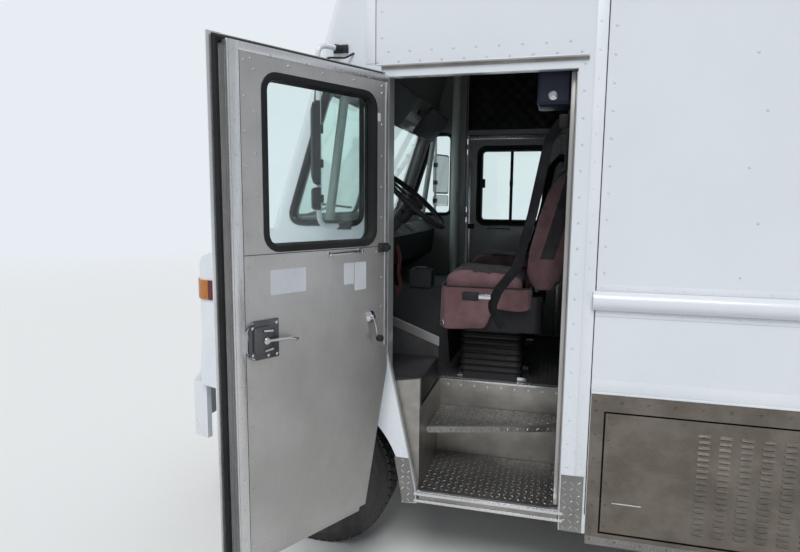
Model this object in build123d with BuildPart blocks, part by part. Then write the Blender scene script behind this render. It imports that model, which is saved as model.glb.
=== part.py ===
from build123d import *

import os
from math import atan, cos, degrees, hypot, radians, sin, sqrt

os.makedirs("parts", exist_ok=True)

# A food truck on a walk-in van, in millimetres.
#
# Everything is drawn about the van's own lines: X = 0 on its centre line and +X towards the
# driver's side, Y = 0 at the front edge of the cab doorways and +Y rearward, Z = 0 on the ground.
# save() then moves each piece to the part's origin, which is on the ground under the middle of
# the whole outline, open driver's door and mirrors included.

# Body
HALF_WIDTH = 1195.0
WALL = 45.0
ROOF_TOP = 2980.0
ROOF_DEPTH = 55.0
ROOF_RADIUS = 50.0
BODY_REAR = 5950.0
SKIRT_Z = 480.0
FLOOR_TOP = 870.0
FLOOR_THICK = 40.0

# Rub rail along each side
RAIL_LOW = 1398.0
RAIL_HIGH = 1482.0
RAIL_OUT = 35.0
RAIL_FRONT = 925.0

# Cab doorway: a rectangle whose lower front corner is cut off by a slant above the wheel
DOORWAY_FRONT = 20.0
DOORWAY_REAR = 825.0
DOORWAY_TOP = 2392.0
SLANT_TOP_Z = 1145.0
SLANT_FOOT_Y = 167.0
SLANT_FOOT_Z = 482.0
JAMB_FOOT_Z = 390.0

# Windscreen pillar: where it meets the cowl, and how far it leans back for each mm of height
COWL_Z = 1710.0
PILLAR_FOOT_Y = -574.0
PILLAR_LEAN = 0.324
PILLAR_RADIUS = 60.0
POST_DEPTH = 110.0
POST_WIDTH = 60.0

# Axles and wheels
FRONT_AXLE_Y = -420.0
WHEELBASE = 4520.0
TYRE_RADIUS = 405.0
TYRE_WIDTH = 226.0
RIM_RADIUS = 247.5
RIM_THICK = 8.0
FLANGE_HEIGHT = 14.0
FRONT_TRACK_HALF = 885.0
REAR_TRACK_HALF = 863.5
TWIN_SPACING = 257.0
KINGPIN_X = 760.0
KINGPIN_RADIUS = 20.0
SPINDLE_RADIUS = 30.0
REAR_SPINDLE_RADIUS = 50.0
RUN_GAP = 0.4

# Chassis
RAIL_HALF_SPAN = 435.0
FRAME_FLANGE = 65.0
FRAME_SHEET = 8.0
FRAME_LOW = 540.0
FRAME_HIGH = 760.0
FRAME_FRONT = -1080.0
SILL_HALF_SPAN = 590.0

# Doors
DOOR_GAP = 8.0
SEAL_GAP = 5.0
SKIN = 6.0
PAN_DEPTH = 47.0
DOOR_LAP = 43.0
DOOR_FOOT_Z = 430.0
DOOR_HEAD_Z = 2408.0
HINGE_Y = 8.0
DOOR_OPEN_ANGLE = 118.0
GLASS = 6.0

# Stepwell
STEP_SHEET = 25.0
LOW_STEP_Z = 475.0
MID_STEP_Z = 717.0
LOW_STEP_DEPTH = 496.0
TOP_RISER_BACK = 75.0
MID_STEP_FRONT_DEPTH = 276.0
MID_STEP_REAR_DEPTH = 76.0
WELL_FRONT = 171.0
WELL_REAR = 852.0

# Service compartment behind the driver's door
LOCKER_FRONT = 940.0
LOCKER_WIDTH = 1304.0
LOCKER_LOW = 346.0
LOCKER_HIGH = 1033.0
LOCKER_RIM = 54.0
LOCKER_RIM_TOP = 72.0
LOCKER_DEPTH = 595.0
LOCKER_SHEET = 25.0
LOCKER_FLANGE = 4.0

# Serving opening and its hatch, on the kerb side
SERVE_FRONT = 1500.0
SERVE_WIDTH = 2340.0
SERVE_LOW = 1690.0
SERVE_HIGH = 2420.0
HATCH_LAP = 42.0
HATCH_THICK = 30.0

# Rear doorway
REAR_DOOR_HALF = 420.0
REAR_DOOR_LOW = 900.0
REAR_DOOR_HIGH = 2340.0

# Nose
NOSE_FRONT = -1060.0
NOSE_REAR = -600.0
NOSE_LOW = 930.0
NOSE_SHEET = 25.0
NOSE_TAPER = 65.0
NOSE_CORNER = 120.0
HOOD_HALF = 560.0

REAR_AXLE_Y = FRONT_AXLE_Y + WHEELBASE
WHEEL_Z = TYRE_RADIUS
ROOF_EDGE = ROOF_TOP - ROOF_DEPTH
INNER_HALF = HALF_WIDTH - WALL
NOSE_REAR_HALF = HALF_WIDTH - 15
NOSE_FRONT_HALF = NOSE_REAR_HALF - NOSE_TAPER
LOW_RISER_X = HALF_WIDTH - LOW_STEP_DEPTH
TOP_RISER_X = LOW_RISER_X - TOP_RISER_BACK
KICK_X = INNER_HALF - STEP_SHEET - 5
RAIL_WEB = RAIL_HALF_SPAN - FRAME_SHEET
HINGE_X = HALF_WIDTH + SEAL_GAP + SKIN
DOOR_REACH = DOORWAY_REAR + DOOR_LAP - HINGE_Y
BUMPER_FRONT = NOSE_FRONT - 135.0
BUMPER_REAR = BODY_REAR + 200.0
MIRROR_TUBE_X = HALF_WIDTH + 105.0
MIRROR_WIDTH = 200.0
MIRROR_TURN = 23.0


def side(x):
    """Plane across the van at x: its local x runs rearward and its local y up."""
    return Plane.YZ.offset(x)


def station(y):
    """Plane along the van at y, facing forward: its local x is X and its local y is Z."""
    return Plane.XZ.offset(-y)


def level(z):
    """Plane at height z."""
    return Plane.XY.offset(z)


def hub_plane(x, axle_y):
    """Plane across the van at x, centred on an axle."""
    return Plane(origin=(x, axle_y, WHEEL_Z), x_dir=(0, 1, 0), z_dir=(1, 0, 0))


def pillar_y(z):
    """Where the front face of the windscreen pillars lies at height z."""
    return PILLAR_FOOT_Y + PILLAR_LEAN * (z - COWL_Z)


def box_between(low, high, mode=Mode.ADD):
    """A box in the current part from one corner to the opposite one."""
    size = [h - l for l, h in zip(low, high)]
    middle = [(h + l) / 2 for l, h in zip(low, high)]
    with Locations(Vector(*middle)):
        Box(*size, mode=mode)


# The origin: the open door reaches out on the driver's side, a mirror on the other.
DOOR_TIP_X = HINGE_X + DOOR_REACH * sin(radians(DOOR_OPEN_ANGLE))
MIRROR_TIP_X = MIRROR_TUBE_X + MIRROR_WIDTH * cos(radians(MIRROR_TURN))
ORIGIN = Vector((DOOR_TIP_X - MIRROR_TIP_X) / 2, (BUMPER_FRONT + BUMPER_REAR) / 2, 0)


def save(builder, label):
    """Labels a finished piece, moves it to the part's origin and writes its STEP file."""
    piece = builder.part.moved(Location(-ORIGIN))
    piece.label = label
    export_step(piece, f"parts/{label}.step")


# Hinges: a pin with two knuckles on the fixed leaf, one knuckle on the moving leaf between them.
# Each lies on a plane whose local z is the pin, local x points over the moving leaf and local y
# points away from the surface.

HINGE_HALF = 60.0
KNUCKLE_HALF = 20.0
KNUCKLE_RADIUS = 9.0
PIN_RADIUS = 5.0
LEAF_REACH = 32.0
LEAF_SHEET = 5.0
PIN_INSET = KNUCKLE_RADIUS + 3
KERB_PIN_OUT = 10.0


def hinge_fixed(place, drop):
    """Fixed half of a hinge whose pin is drop above the surface that carries it."""
    with BuildSketch(place.offset(-HINGE_HALF)) as pin:
        Circle(PIN_RADIUS)
    extrude(pin.sketch, amount=2 * HINGE_HALF)
    with BuildSketch(place.offset(-HINGE_HALF)) as leaf:
        with Locations((-LEAF_REACH / 2 - 6, LEAF_SHEET / 2 - drop)):
            Rectangle(LEAF_REACH - 12, LEAF_SHEET)
    extrude(leaf.sketch, amount=2 * HINGE_HALF)
    for start in (-HINGE_HALF, KNUCKLE_HALF + RUN_GAP):
        with BuildSketch(place.offset(start)) as knuckle_end:
            Circle(KNUCKLE_RADIUS)
            with Locations((-LEAF_REACH / 2, LEAF_SHEET / 2 - drop)):
                Rectangle(LEAF_REACH, LEAF_SHEET)
            with Locations((-KNUCKLE_RADIUS / 2, -drop / 2)):
                Rectangle(KNUCKLE_RADIUS, drop)
        extrude(knuckle_end.sketch, amount=HINGE_HALF - KNUCKLE_HALF - RUN_GAP)


def hinge_moving(place, low, high):
    """Moving half: its notch in the leaf, and its knuckle with a tab between the heights given."""
    with BuildSketch(place.offset(-HINGE_HALF - SEAL_GAP)) as notch:
        with Locations((-10, -20)):
            Rectangle(50, 90)
    extrude(notch.sketch, amount=2 * (HINGE_HALF + SEAL_GAP), mode=Mode.SUBTRACT)
    with BuildSketch(place.offset(-KNUCKLE_HALF)) as barrel:
        Circle(KNUCKLE_RADIUS)
        with Locations((LEAF_REACH / 2, (low + high) / 2)):
            Rectangle(LEAF_REACH, high - low)
        Circle(PIN_RADIUS + RUN_GAP, mode=Mode.SUBTRACT)
    extrude(barrel.sketch, amount=2 * KNUCKLE_HALF)


def cab_hinges(angle):
    """Where the three hinges of a cab door lie, with the door opened by the angle."""
    swing = radians(angle)
    return [
        Plane(origin=(HINGE_X, HINGE_Y, z), x_dir=(sin(swing), cos(swing), 0), z_dir=(0, 0, -1))
        for z in (1230, 1740, 2300)
    ]


# Stations along the van
HATCH_HINGES = [SERVE_FRONT + SERVE_WIDTH * share for share in (0.06, 0.5, 0.94)]


def kerb_hinges(z):
    """Hinges along the kerb side, of a leaf that hangs below them."""
    return [
        Plane(origin=(-HALF_WIDTH - KERB_PIN_OUT, y, z), x_dir=(0, 0, -1), z_dir=(0, 1, 0))
        for y in HATCH_HINGES
    ]


HATCH_HINGE_Z = SERVE_HIGH + HATCH_LAP + 4
SHELF_HINGE_Z = RAIL_LOW - 48

REAR_LAP = 25.0
REAR_HINGES = [
    Plane(
        origin=(REAR_DOOR_HALF + REAR_LAP + 4, BODY_REAR + SEAL_GAP + SKIN, z),
        x_dir=(-1, 0, 0),
        z_dir=(0, 0, -1),
    )
    for z in (1050, 1600, 2200)
]

LOCKER_REAR = LOCKER_FRONT + LOCKER_WIDTH
LOCKER_HINGES = [
    Plane(
        origin=(HALF_WIDTH + LOCKER_FLANGE + 4, LOCKER_REAR - LOCKER_RIM - PIN_INSET, z),
        x_dir=(0, -1, 0),
        z_dir=(0, 0, 1),
    )
    for z in (500, 860)
]

# The nose's top slopes down to its front edge
NOSE_TOP_FALL = Vector(0, NOSE_FRONT + 60 - NOSE_REAR, 1555 - COWL_Z + 4).normalized()
HOOD_REAR = NOSE_REAR - 45
HOOD_HINGES = [
    Plane(
        origin=(
            x,
            HOOD_REAR - PIN_INSET,
            COWL_Z - 4 + (HOOD_REAR - PIN_INSET - NOSE_REAR) * NOSE_TOP_FALL.Z / NOSE_TOP_FALL.Y + 6,
        ),
        x_dir=NOSE_TOP_FALL,
        z_dir=(-1, 0, 0),
    )
    for x in (-420, 420)
]


# Wheels and tyres


def axle_plane(hand, x, axle_y):
    """Section plane of a wheel: local x is outboard from x, local y is the radius."""
    return Plane(origin=(hand * x, axle_y, WHEEL_Z), x_dir=(hand, 0, 0), z_dir=(0, -hand, 0))


def tyre(centre):
    """Tyre section about the axial place given, as a closed face of lines and arcs."""
    half = TYRE_WIDTH / 2
    bead = RIM_RADIUS + RUN_GAP
    shoulder = TYRE_RADIUS - 17
    bulge = (bead + FLANGE_HEIGHT + 2 + shoulder) / 2
    tread_half = half - 24
    with BuildLine() as outline:
        foot = (centre + half - 21, bead)
        knee = (centre + half - 19, bead + FLANGE_HEIGHT + 2)
        Polyline((centre, bead), foot, knee)
        ThreePointArc(knee, (centre + half, bulge), (centre + half - 12, shoulder))
        ThreePointArc(
            (centre + half - 12, shoulder),
            (centre + half - 16, TYRE_RADIUS - 6),
            (centre + tread_half, TYRE_RADIUS),
        )
        Line((centre + tread_half, TYRE_RADIUS), (centre, TYRE_RADIUS))
        mirror(about=Plane.YZ.offset(centre))
    make_face(outline.edges())


def rim(centre):
    """Rim section: a barrel with a flange at each edge."""
    barrel = TYRE_WIDTH / 2 - 17
    lip = barrel + RIM_THICK
    with BuildLine() as outline:
        Polyline(
            (centre - lip, RIM_RADIUS - RIM_THICK),
            (centre - lip, RIM_RADIUS + FLANGE_HEIGHT),
            (centre - barrel, RIM_RADIUS + FLANGE_HEIGHT),
            (centre - barrel, RIM_RADIUS),
            (centre + barrel, RIM_RADIUS),
            (centre + barrel, RIM_RADIUS + FLANGE_HEIGHT),
            (centre + lip, RIM_RADIUS + FLANGE_HEIGHT),
            (centre + lip, RIM_RADIUS - RIM_THICK),
            close=True,
        )
    make_face(outline.edges())


def section(*points):
    """A closed straight-sided face in the current sketch."""
    with BuildLine() as outline:
        Polyline(*points, close=True)
    make_face(outline.edges())


def hand_holes(hand, x, axle_y, reach):
    """Ten round holes through a wheel disc."""
    with BuildSketch(hub_plane(hand * x, axle_y)) as holes:
        with PolarLocations(178, 10):
            Circle(21)
    extrude(holes.sketch, amount=reach, both=True, mode=Mode.SUBTRACT)


for hand, name in ((1, "left"), (-1, "right")):
    spin = Axis((0, FRONT_AXLE_Y, WHEEL_Z), (1, 0, 0))
    front_plane = axle_plane(hand, FRONT_TRACK_HALF, FRONT_AXLE_Y)

    with BuildPart() as front_tyre:
        with BuildSketch(front_plane):
            tyre(0)
        revolve(axis=spin)
    save(front_tyre, f"tyre_front_{name}")

    with BuildPart() as front_wheel:
        with BuildSketch(front_plane):
            rim(0)
            # Hub, brake disc, closing cap and dished wheel disc
            section((-49, 30 + RUN_GAP), (-49, 65), (102, 65), (102, 30 + RUN_GAP))
            section((-49, 60), (-49, 185), (-25, 185), (-25, 60))
            section((86, 0), (86, 65), (102, 65), (102, 0))
            section(
                (38, 60), (38, 146), (72, 210), (72, 242), (84, 242), (84, 206), (50, 140), (50, 60)
            )
        revolve(axis=spin)
        hand_holes(hand, FRONT_TRACK_HALF + 62, FRONT_AXLE_Y, 30)
    save(front_wheel, f"wheel_front_{name}")

    spin = Axis((0, REAR_AXLE_Y, WHEEL_Z), (1, 0, 0))
    rear_plane = axle_plane(hand, REAR_TRACK_HALF, REAR_AXLE_Y)

    with BuildPart() as rear_tyres:
        with BuildSketch(rear_plane):
            tyre(TWIN_SPACING / 2)
            tyre(-TWIN_SPACING / 2)
        revolve(axis=spin)
    save(rear_tyres, f"tyres_rear_{name}")

    with BuildPart() as rear_wheels:
        with BuildSketch(rear_plane):
            rim(TWIN_SPACING / 2)
            rim(-TWIN_SPACING / 2)
            bore = REAR_SPINDLE_RADIUS + RUN_GAP
            # Hub with its cap, the brake drum, and the two discs back to back
            section((-212, bore), (-212, 90), (104, 90), (104, bore))
            section((92, 0), (92, 90), (104, 90), (104, 0))
            section((-212, 178), (-212, 190), (-75, 190), (-75, 85), (-87, 85), (-87, 178))
            for way in (1, -1):
                section(
                    (0, 85),
                    (way * 12, 85),
                    (way * 12, 150),
                    (way * 50, 215),
                    (way * 50, 242),
                    (way * 38, 242),
                    (way * 38, 221),
                    (0, 156),
                )
        revolve(axis=spin)
        hand_holes(hand, REAR_TRACK_HALF, REAR_AXLE_Y, 45)
    save(rear_wheels, f"wheels_rear_{name}")


# Steering knuckles: a fork round the axle's eye, a kingpin, the wheel spindle and an arm

EYE_RADIUS = 42.0
EYE_LOW = WHEEL_Z - 53
EYE_HIGH = WHEEL_Z + 53
LUG_THICK = 32.0
LUG_RADIUS = 38.0

for hand, name in ((1, "left"), (-1, "right")):
    pin_x = hand * KINGPIN_X
    plate_x = KINGPIN_X + EYE_RADIUS + 4
    with BuildPart() as knuckle:
        with BuildSketch(level(EYE_LOW - RUN_GAP - LUG_THICK)):
            with Locations((pin_x, FRONT_AXLE_Y)):
                Circle(LUG_RADIUS)
            with Locations((hand * (KINGPIN_X + plate_x) / 2, FRONT_AXLE_Y)):
                Rectangle(plate_x - KINGPIN_X, 2 * LUG_RADIUS)
        extrude(amount=LUG_THICK)
        with BuildSketch(level(EYE_HIGH + RUN_GAP)):
            with Locations((pin_x, FRONT_AXLE_Y)):
                Circle(LUG_RADIUS)
            with Locations((hand * (KINGPIN_X + plate_x) / 2, FRONT_AXLE_Y)):
                Rectangle(plate_x - KINGPIN_X, 2 * LUG_RADIUS)
        extrude(amount=LUG_THICK)
        with BuildSketch(level(EYE_LOW - RUN_GAP - LUG_THICK)):
            with Locations((pin_x, FRONT_AXLE_Y)):
                Circle(KINGPIN_RADIUS)
        extrude(amount=EYE_HIGH - EYE_LOW + 2 * (LUG_THICK + RUN_GAP))
        with BuildSketch(hub_plane(hand * plate_x, FRONT_AXLE_Y)):
            RectangleRounded(2 * LUG_RADIUS + 14, EYE_HIGH - EYE_LOW + 2 * (LUG_THICK + RUN_GAP), 12)
        extrude(amount=hand * 24)
        with BuildSketch(hub_plane(hand * plate_x, FRONT_AXLE_Y)):
            Circle(SPINDLE_RADIUS)
        extrude(amount=hand * (FRONT_TRACK_HALF + 80 - plate_x))
        with BuildSketch(level(EYE_LOW - RUN_GAP - LUG_THICK)):
            arm_end = (hand * (KINGPIN_X - 58), FRONT_AXLE_Y + 172)
            section(
                (hand * (KINGPIN_X - 26), FRONT_AXLE_Y + 10),
                (hand * (KINGPIN_X + 26), FRONT_AXLE_Y + 10),
                (arm_end[0] + hand * 20, arm_end[1]),
                (arm_end[0] - hand * 20, arm_end[1]),
            )
            with Locations(arm_end):
                Circle(22)
            with Locations(arm_end):
                Circle(9, mode=Mode.SUBTRACT)
        extrude(amount=22)
    save(knuckle, f"knuckle_{name}")


# Front axle: a dropped beam of I section with an eye at each end

SPRING_X = 402.0
PAD_TOP = WHEEL_Z - 21
BEAM_LOW = WHEEL_Z - 105
BEAM_HIGH = WHEEL_Z - 37

with BuildPart() as front_axle:
    with BuildSketch(station(FRONT_AXLE_Y - 32)):
        section(
            (0, BEAM_LOW), (500, BEAM_LOW), (640, WHEEL_Z - 43), (KINGPIN_X, WHEEL_Z - 43),
            (KINGPIN_X, WHEEL_Z + 43), (620, WHEEL_Z + 43), (480, BEAM_HIGH), (0, BEAM_HIGH),
        )
        mirror(about=Plane.YZ)
    extrude(amount=-64)
    # The two long pockets leave an I section
    for face_y, way in ((FRONT_AXLE_Y - 32, -1), (FRONT_AXLE_Y + 32, 1)):
        with BuildSketch(station(face_y)):
            section(
                (0, BEAM_LOW + 16), (488, BEAM_LOW + 16), (596, WHEEL_Z - 41),
                (600, WHEEL_Z + 15), (486, BEAM_HIGH - 16), (0, BEAM_HIGH - 16),
            )
            mirror(about=Plane.YZ)
        extrude(amount=way * 22, mode=Mode.SUBTRACT)
    for hand in (1, -1):
        with BuildSketch(level(EYE_LOW)):
            with Locations((hand * KINGPIN_X, FRONT_AXLE_Y)):
                Circle(EYE_RADIUS)
        extrude(amount=EYE_HIGH - EYE_LOW)
        with BuildSketch(level(EYE_LOW)):
            with Locations((hand * KINGPIN_X, FRONT_AXLE_Y)):
                Circle(KINGPIN_RADIUS + RUN_GAP)
        extrude(amount=EYE_HIGH - EYE_LOW, mode=Mode.SUBTRACT)
        box_between(
            (hand * SPRING_X - 45, FRONT_AXLE_Y - 60, BEAM_HIGH - 8),
            (hand * SPRING_X + 45, FRONT_AXLE_Y + 60, PAD_TOP),
        )
save(front_axle, "front_axle")


# Rear axle: tube, differential housing, spring seats, backing plates and the drive shaft

REAR_SPRING_X = 480.0
SEAT_TOP = WHEEL_Z + 70
DRUM_END = REAR_TRACK_HALF - 212

with BuildPart() as rear_axle:
    with BuildSketch(hub_plane(-DRUM_END + 8, REAR_AXLE_Y)):
        Circle(56)
    extrude(amount=2 * (DRUM_END - 8))
    with BuildSketch(hub_plane(-REAR_TRACK_HALF - 86, REAR_AXLE_Y)):
        Circle(REAR_SPINDLE_RADIUS)
    extrude(amount=2 * (REAR_TRACK_HALF + 86))
    with Locations((0, REAR_AXLE_Y, WHEEL_Z)):
        Sphere(150)
    with BuildSketch(station(REAR_AXLE_Y - 220)):
        with Locations((0, WHEEL_Z)):
            Circle(62)
    extrude(amount=-160)
    for hand in (1, -1):
        with BuildSketch(hub_plane(hand * (DRUM_END - 16), REAR_AXLE_Y)):
            Circle(168)
        extrude(amount=hand * 8)
        box_between(
            (hand * REAR_SPRING_X - 42, REAR_AXLE_Y - 70, WHEEL_Z),
            (hand * REAR_SPRING_X + 42, REAR_AXLE_Y + 70, SEAT_TOP),
        )
    # Drive shaft, sloping up to the gearbox
    shaft_front = Vector(0, 66, 525)
    shaft_rear = Vector(0, REAR_AXLE_Y - 200, WHEEL_Z)
    shaft = shaft_front - shaft_rear
    with BuildSketch(Plane(origin=shaft_rear, z_dir=shaft)):
        Circle(45)
    extrude(amount=shaft.length)
save(rear_axle, "rear_axle")


# Leaf springs: each leaf is a slice of a ring, the hangers reach the frame

LEAF = 13.0
LEAF_SAG = 85.0
LEAF_HALF = 600.0

# columns: leaf number from the top, half length
LEAVES = ((0, LEAF_HALF), (1, 470.0), (2, 340.0), (3, 220.0))


def leaf_pack(x, y, bottom, width):
    """One pack of leaves, curved up at both ends, with its clamp and its eyes."""
    radius = (LEAF_HALF**2 + LEAF_SAG**2) / (2 * LEAF_SAG)
    top = bottom + LEAF * len(LEAVES)
    with BuildSketch(side(x - width / 2)) as pack:
        for number, half in LEAVES:
            inner = radius + LEAF * number
            outer = inner + LEAF
            rise_in = inner - sqrt(inner**2 - half**2)
            rise_out = outer - sqrt(outer**2 - half**2)
            high = top - LEAF * number
            with BuildLine():
                ThreePointArc((y - half, high + rise_in), (y, high), (y + half, high + rise_in))
                Line((y + half, high + rise_in), (y + half, high - LEAF + rise_out))
                ThreePointArc(
                    (y + half, high - LEAF + rise_out),
                    (y, high - LEAF),
                    (y - half, high - LEAF + rise_out),
                )
                Line((y - half, high - LEAF + rise_out), (y - half, high + rise_in))
            make_face()
        with Locations((y - LEAF_HALF, top + LEAF_SAG - 8), (y + LEAF_HALF, top + LEAF_SAG - 8)):
            Circle(24)
    extrude(pack.sketch, amount=width)
    box_between(
        (x - width / 2 - 4, y - 45, bottom), (x + width / 2 + 4, y + 45, top + 22)
    )


with BuildPart() as leaf_springs:
    for hand in (1, -1):
        leaf_pack(hand * SPRING_X, FRONT_AXLE_Y, PAD_TOP, 64)
        eye_z = PAD_TOP + LEAF * len(LEAVES) + LEAF_SAG - 8
        for way in (-1, 1):
            eye_y = FRONT_AXLE_Y + way * LEAF_HALF
            box_between(
                (hand * SPRING_X - 32, eye_y - 28, eye_z - 4),
                (hand * SPRING_X + 32, eye_y + 28, FRAME_LOW),
            )
        leaf_pack(hand * REAR_SPRING_X, REAR_AXLE_Y, SEAT_TOP, 74)
        eye_z = SEAT_TOP + LEAF * len(LEAVES) + LEAF_SAG - 8
        for way in (-1, 1):
            eye_y = REAR_AXLE_Y + way * LEAF_HALF
            near, far = sorted((hand * RAIL_HALF_SPAN, hand * (REAR_SPRING_X + 37)))
            box_between((near, eye_y - 30, eye_z - 4), (far, eye_y + 30, eye_z + 70))
save(leaf_springs, "leaf_springs")


# Chassis: two channel rails, cross members between them and floor sills above

ENGINE_HALF = 280.0
MEMBER_HALF = 30.0
TOW_EYE_RADIUS = 22.0

# Stations along the van
CROSS_MEMBERS = (-1045.0, 150.0, 1100.0, 2100.0, 3100.0, 4700.0, 5800.0)
SILLS = (1000.0, 1900.0, 2800.0, 3500.0, 4400.0, 5200.0, 5800.0)

with BuildPart() as chassis_rails:
    with BuildSketch(station(FRAME_FRONT)):
        inner = RAIL_HALF_SPAN - FRAME_FLANGE
        section(
            (RAIL_HALF_SPAN, FRAME_LOW), (RAIL_HALF_SPAN, FRAME_HIGH), (inner, FRAME_HIGH),
            (inner, FRAME_HIGH - FRAME_SHEET), (RAIL_WEB, FRAME_HIGH - FRAME_SHEET),
            (RAIL_WEB, FRAME_LOW + FRAME_SHEET), (inner, FRAME_LOW + FRAME_SHEET), (inner, FRAME_LOW),
        )
        mirror(about=Plane.YZ)
    extrude(amount=-(BODY_REAR - WALL - FRAME_FRONT))
    # Tow eyes on the front ends of the rails
    for hand in (1, -1):
        with BuildSketch(side(hand * (RAIL_HALF_SPAN + 8) - 8)):
            with Locations((FRAME_FRONT, FRAME_LOW + 20)):
                RectangleRounded(150, 120, 40)
            with Locations((FRAME_FRONT - 38, FRAME_LOW)):
                Circle(TOW_EYE_RADIUS, mode=Mode.SUBTRACT)
        extrude(amount=16)
save(chassis_rails, "chassis_rails")

with BuildPart() as cross_members:
    # Engine mounts, from the engine's sides to the rails
    for hand in (1, -1):
        near, far = sorted((hand * ENGINE_HALF, hand * RAIL_WEB))
        box_between((near, -750, FRAME_LOW + 60), (far, -690, FRAME_LOW + 150))
    for member_y in CROSS_MEMBERS:
        box_between(
            (-RAIL_WEB, member_y - MEMBER_HALF, FRAME_LOW + 40),
            (RAIL_WEB, member_y + MEMBER_HALF, FRAME_HIGH - 40),
        )
    for sill_y in SILLS:
        box_between(
            (-SILL_HALF_SPAN, sill_y - MEMBER_HALF, FRAME_HIGH),
            (SILL_HALF_SPAN, sill_y + MEMBER_HALF, FLOOR_TOP - FLOOR_THICK),
        )
save(cross_members, "cross_members")

with BuildPart() as engine:
    box_between((-ENGINE_HALF, -900, 480), (ENGINE_HALF, 60, 1150))
    fillet(engine.edges().filter_by(Axis.Y), 40)
save(engine, "engine")

with BuildPart() as radiator:
    radiator_y = CROSS_MEMBERS[0] + MEMBER_HALF
    box_between((-365, radiator_y, FRAME_LOW + 120), (365, radiator_y + 60, 1380))
save(radiator, "radiator")

with BuildPart() as fuel_tank:
    with BuildSketch(station(1300)):
        with Locations((-760, 570)):
            RectangleRounded(440, 340, 60)
    extrude(amount=-1000)
    for strap_y in (1480, 2080):
        box_between((-545, strap_y - 25, 560), (-RAIL_HALF_SPAN, strap_y + 25, 720))
        with BuildSketch(station(strap_y - 25)):
            with Locations((-760, 570)):
                RectangleRounded(456, 356, 68)
        extrude(amount=-50)
save(fuel_tank, "fuel_tank")

with BuildPart() as exhaust_system:
    with BuildSketch(station(1000)):
        with Locations((250, 425)):
            Circle(100)
    extrude(amount=-800)
    # Hanger strap up to a cross member
    box_between((235, CROSS_MEMBERS[2] - 20, 500), (265, CROSS_MEMBERS[2] + 20, FRAME_LOW + 40))
    with BuildLine() as front_pipe:
        FilletPolyline((200, 66, 530), (200, 420, 500), (250, 780, 425), (250, 1010, 425), radius=90)
    with BuildSketch(Plane(origin=front_pipe.line @ 0, z_dir=front_pipe.line % 0)):
        Circle(30)
    sweep(path=front_pipe.line)
    with BuildLine() as tail_pipe:
        FilletPolyline(
            (250, 1790, 425), (250, 2300, 425), (400, 2800, 440), (760, 3160, 440), (1150, 3200, 430),
            radius=90,
        )
    with BuildSketch(Plane(origin=tail_pipe.line @ 0, z_dir=tail_pipe.line % 0)):
        Circle(30)
    sweep(path=tail_pipe.line)
save(exhaust_system, "exhaust_system")


# Floor: load floor, sloping toe board and firewall as one folded sheet

TOE_FOOT_Y = 150.0
TOE_HEAD_Y = -300.0
TOE_HEAD_Z = 1080.0
FIREWALL_Y = -530.0

with BuildPart() as floor:
    with BuildSketch(side(-INNER_HALF)):
        section(
            (BODY_REAR - WALL, FLOOR_TOP - FLOOR_THICK),
            (BODY_REAR - WALL, FLOOR_TOP),
            (TOE_FOOT_Y, FLOOR_TOP),
            (TOE_HEAD_Y, TOE_HEAD_Z),
            (FIREWALL_Y, TOE_HEAD_Z),
            (FIREWALL_Y, COWL_Z),
            (FIREWALL_Y - FLOOR_THICK, COWL_Z),
            (FIREWALL_Y - FLOOR_THICK, TOE_HEAD_Z - FLOOR_THICK),
            (TOE_HEAD_Y - 9, TOE_HEAD_Z - FLOOR_THICK),
            (TOE_FOOT_Y - 9, FLOOR_TOP - FLOOR_THICK),
        )
    extrude(amount=2 * INNER_HALF)
    # Stepwells, engine tunnel and the service compartment
    for hand in (1, -1):
        near, far = sorted((hand * (TOP_RISER_X - STEP_SHEET), hand * (INNER_HALF + 10)))
        box_between(
            (near, WELL_FRONT - STEP_SHEET, 700),
            (far, WELL_REAR + STEP_SHEET, 1200),
            Mode.SUBTRACT,
        )
    box_between((-300, -700, 700), (300, 110, 1170), Mode.SUBTRACT)
    for near, far in ((KICK_X, INNER_HALF + 10), (-INNER_HALF - 10, -KICK_X)):
        box_between((near, WELL_FRONT - 110, 700), (far, WELL_FRONT, 1200), Mode.SUBTRACT)
    box_between(
        (HALF_WIDTH - LOCKER_DEPTH, LOCKER_FRONT + 20, 700),
        (HALF_WIDTH, LOCKER_FRONT + LOCKER_WIDTH - 20, 1200),
        Mode.SUBTRACT,
    )
save(floor, "floor")


# Stepwells: two treads, two risers, end walls and a kick panel, mirrored to the other side

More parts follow.
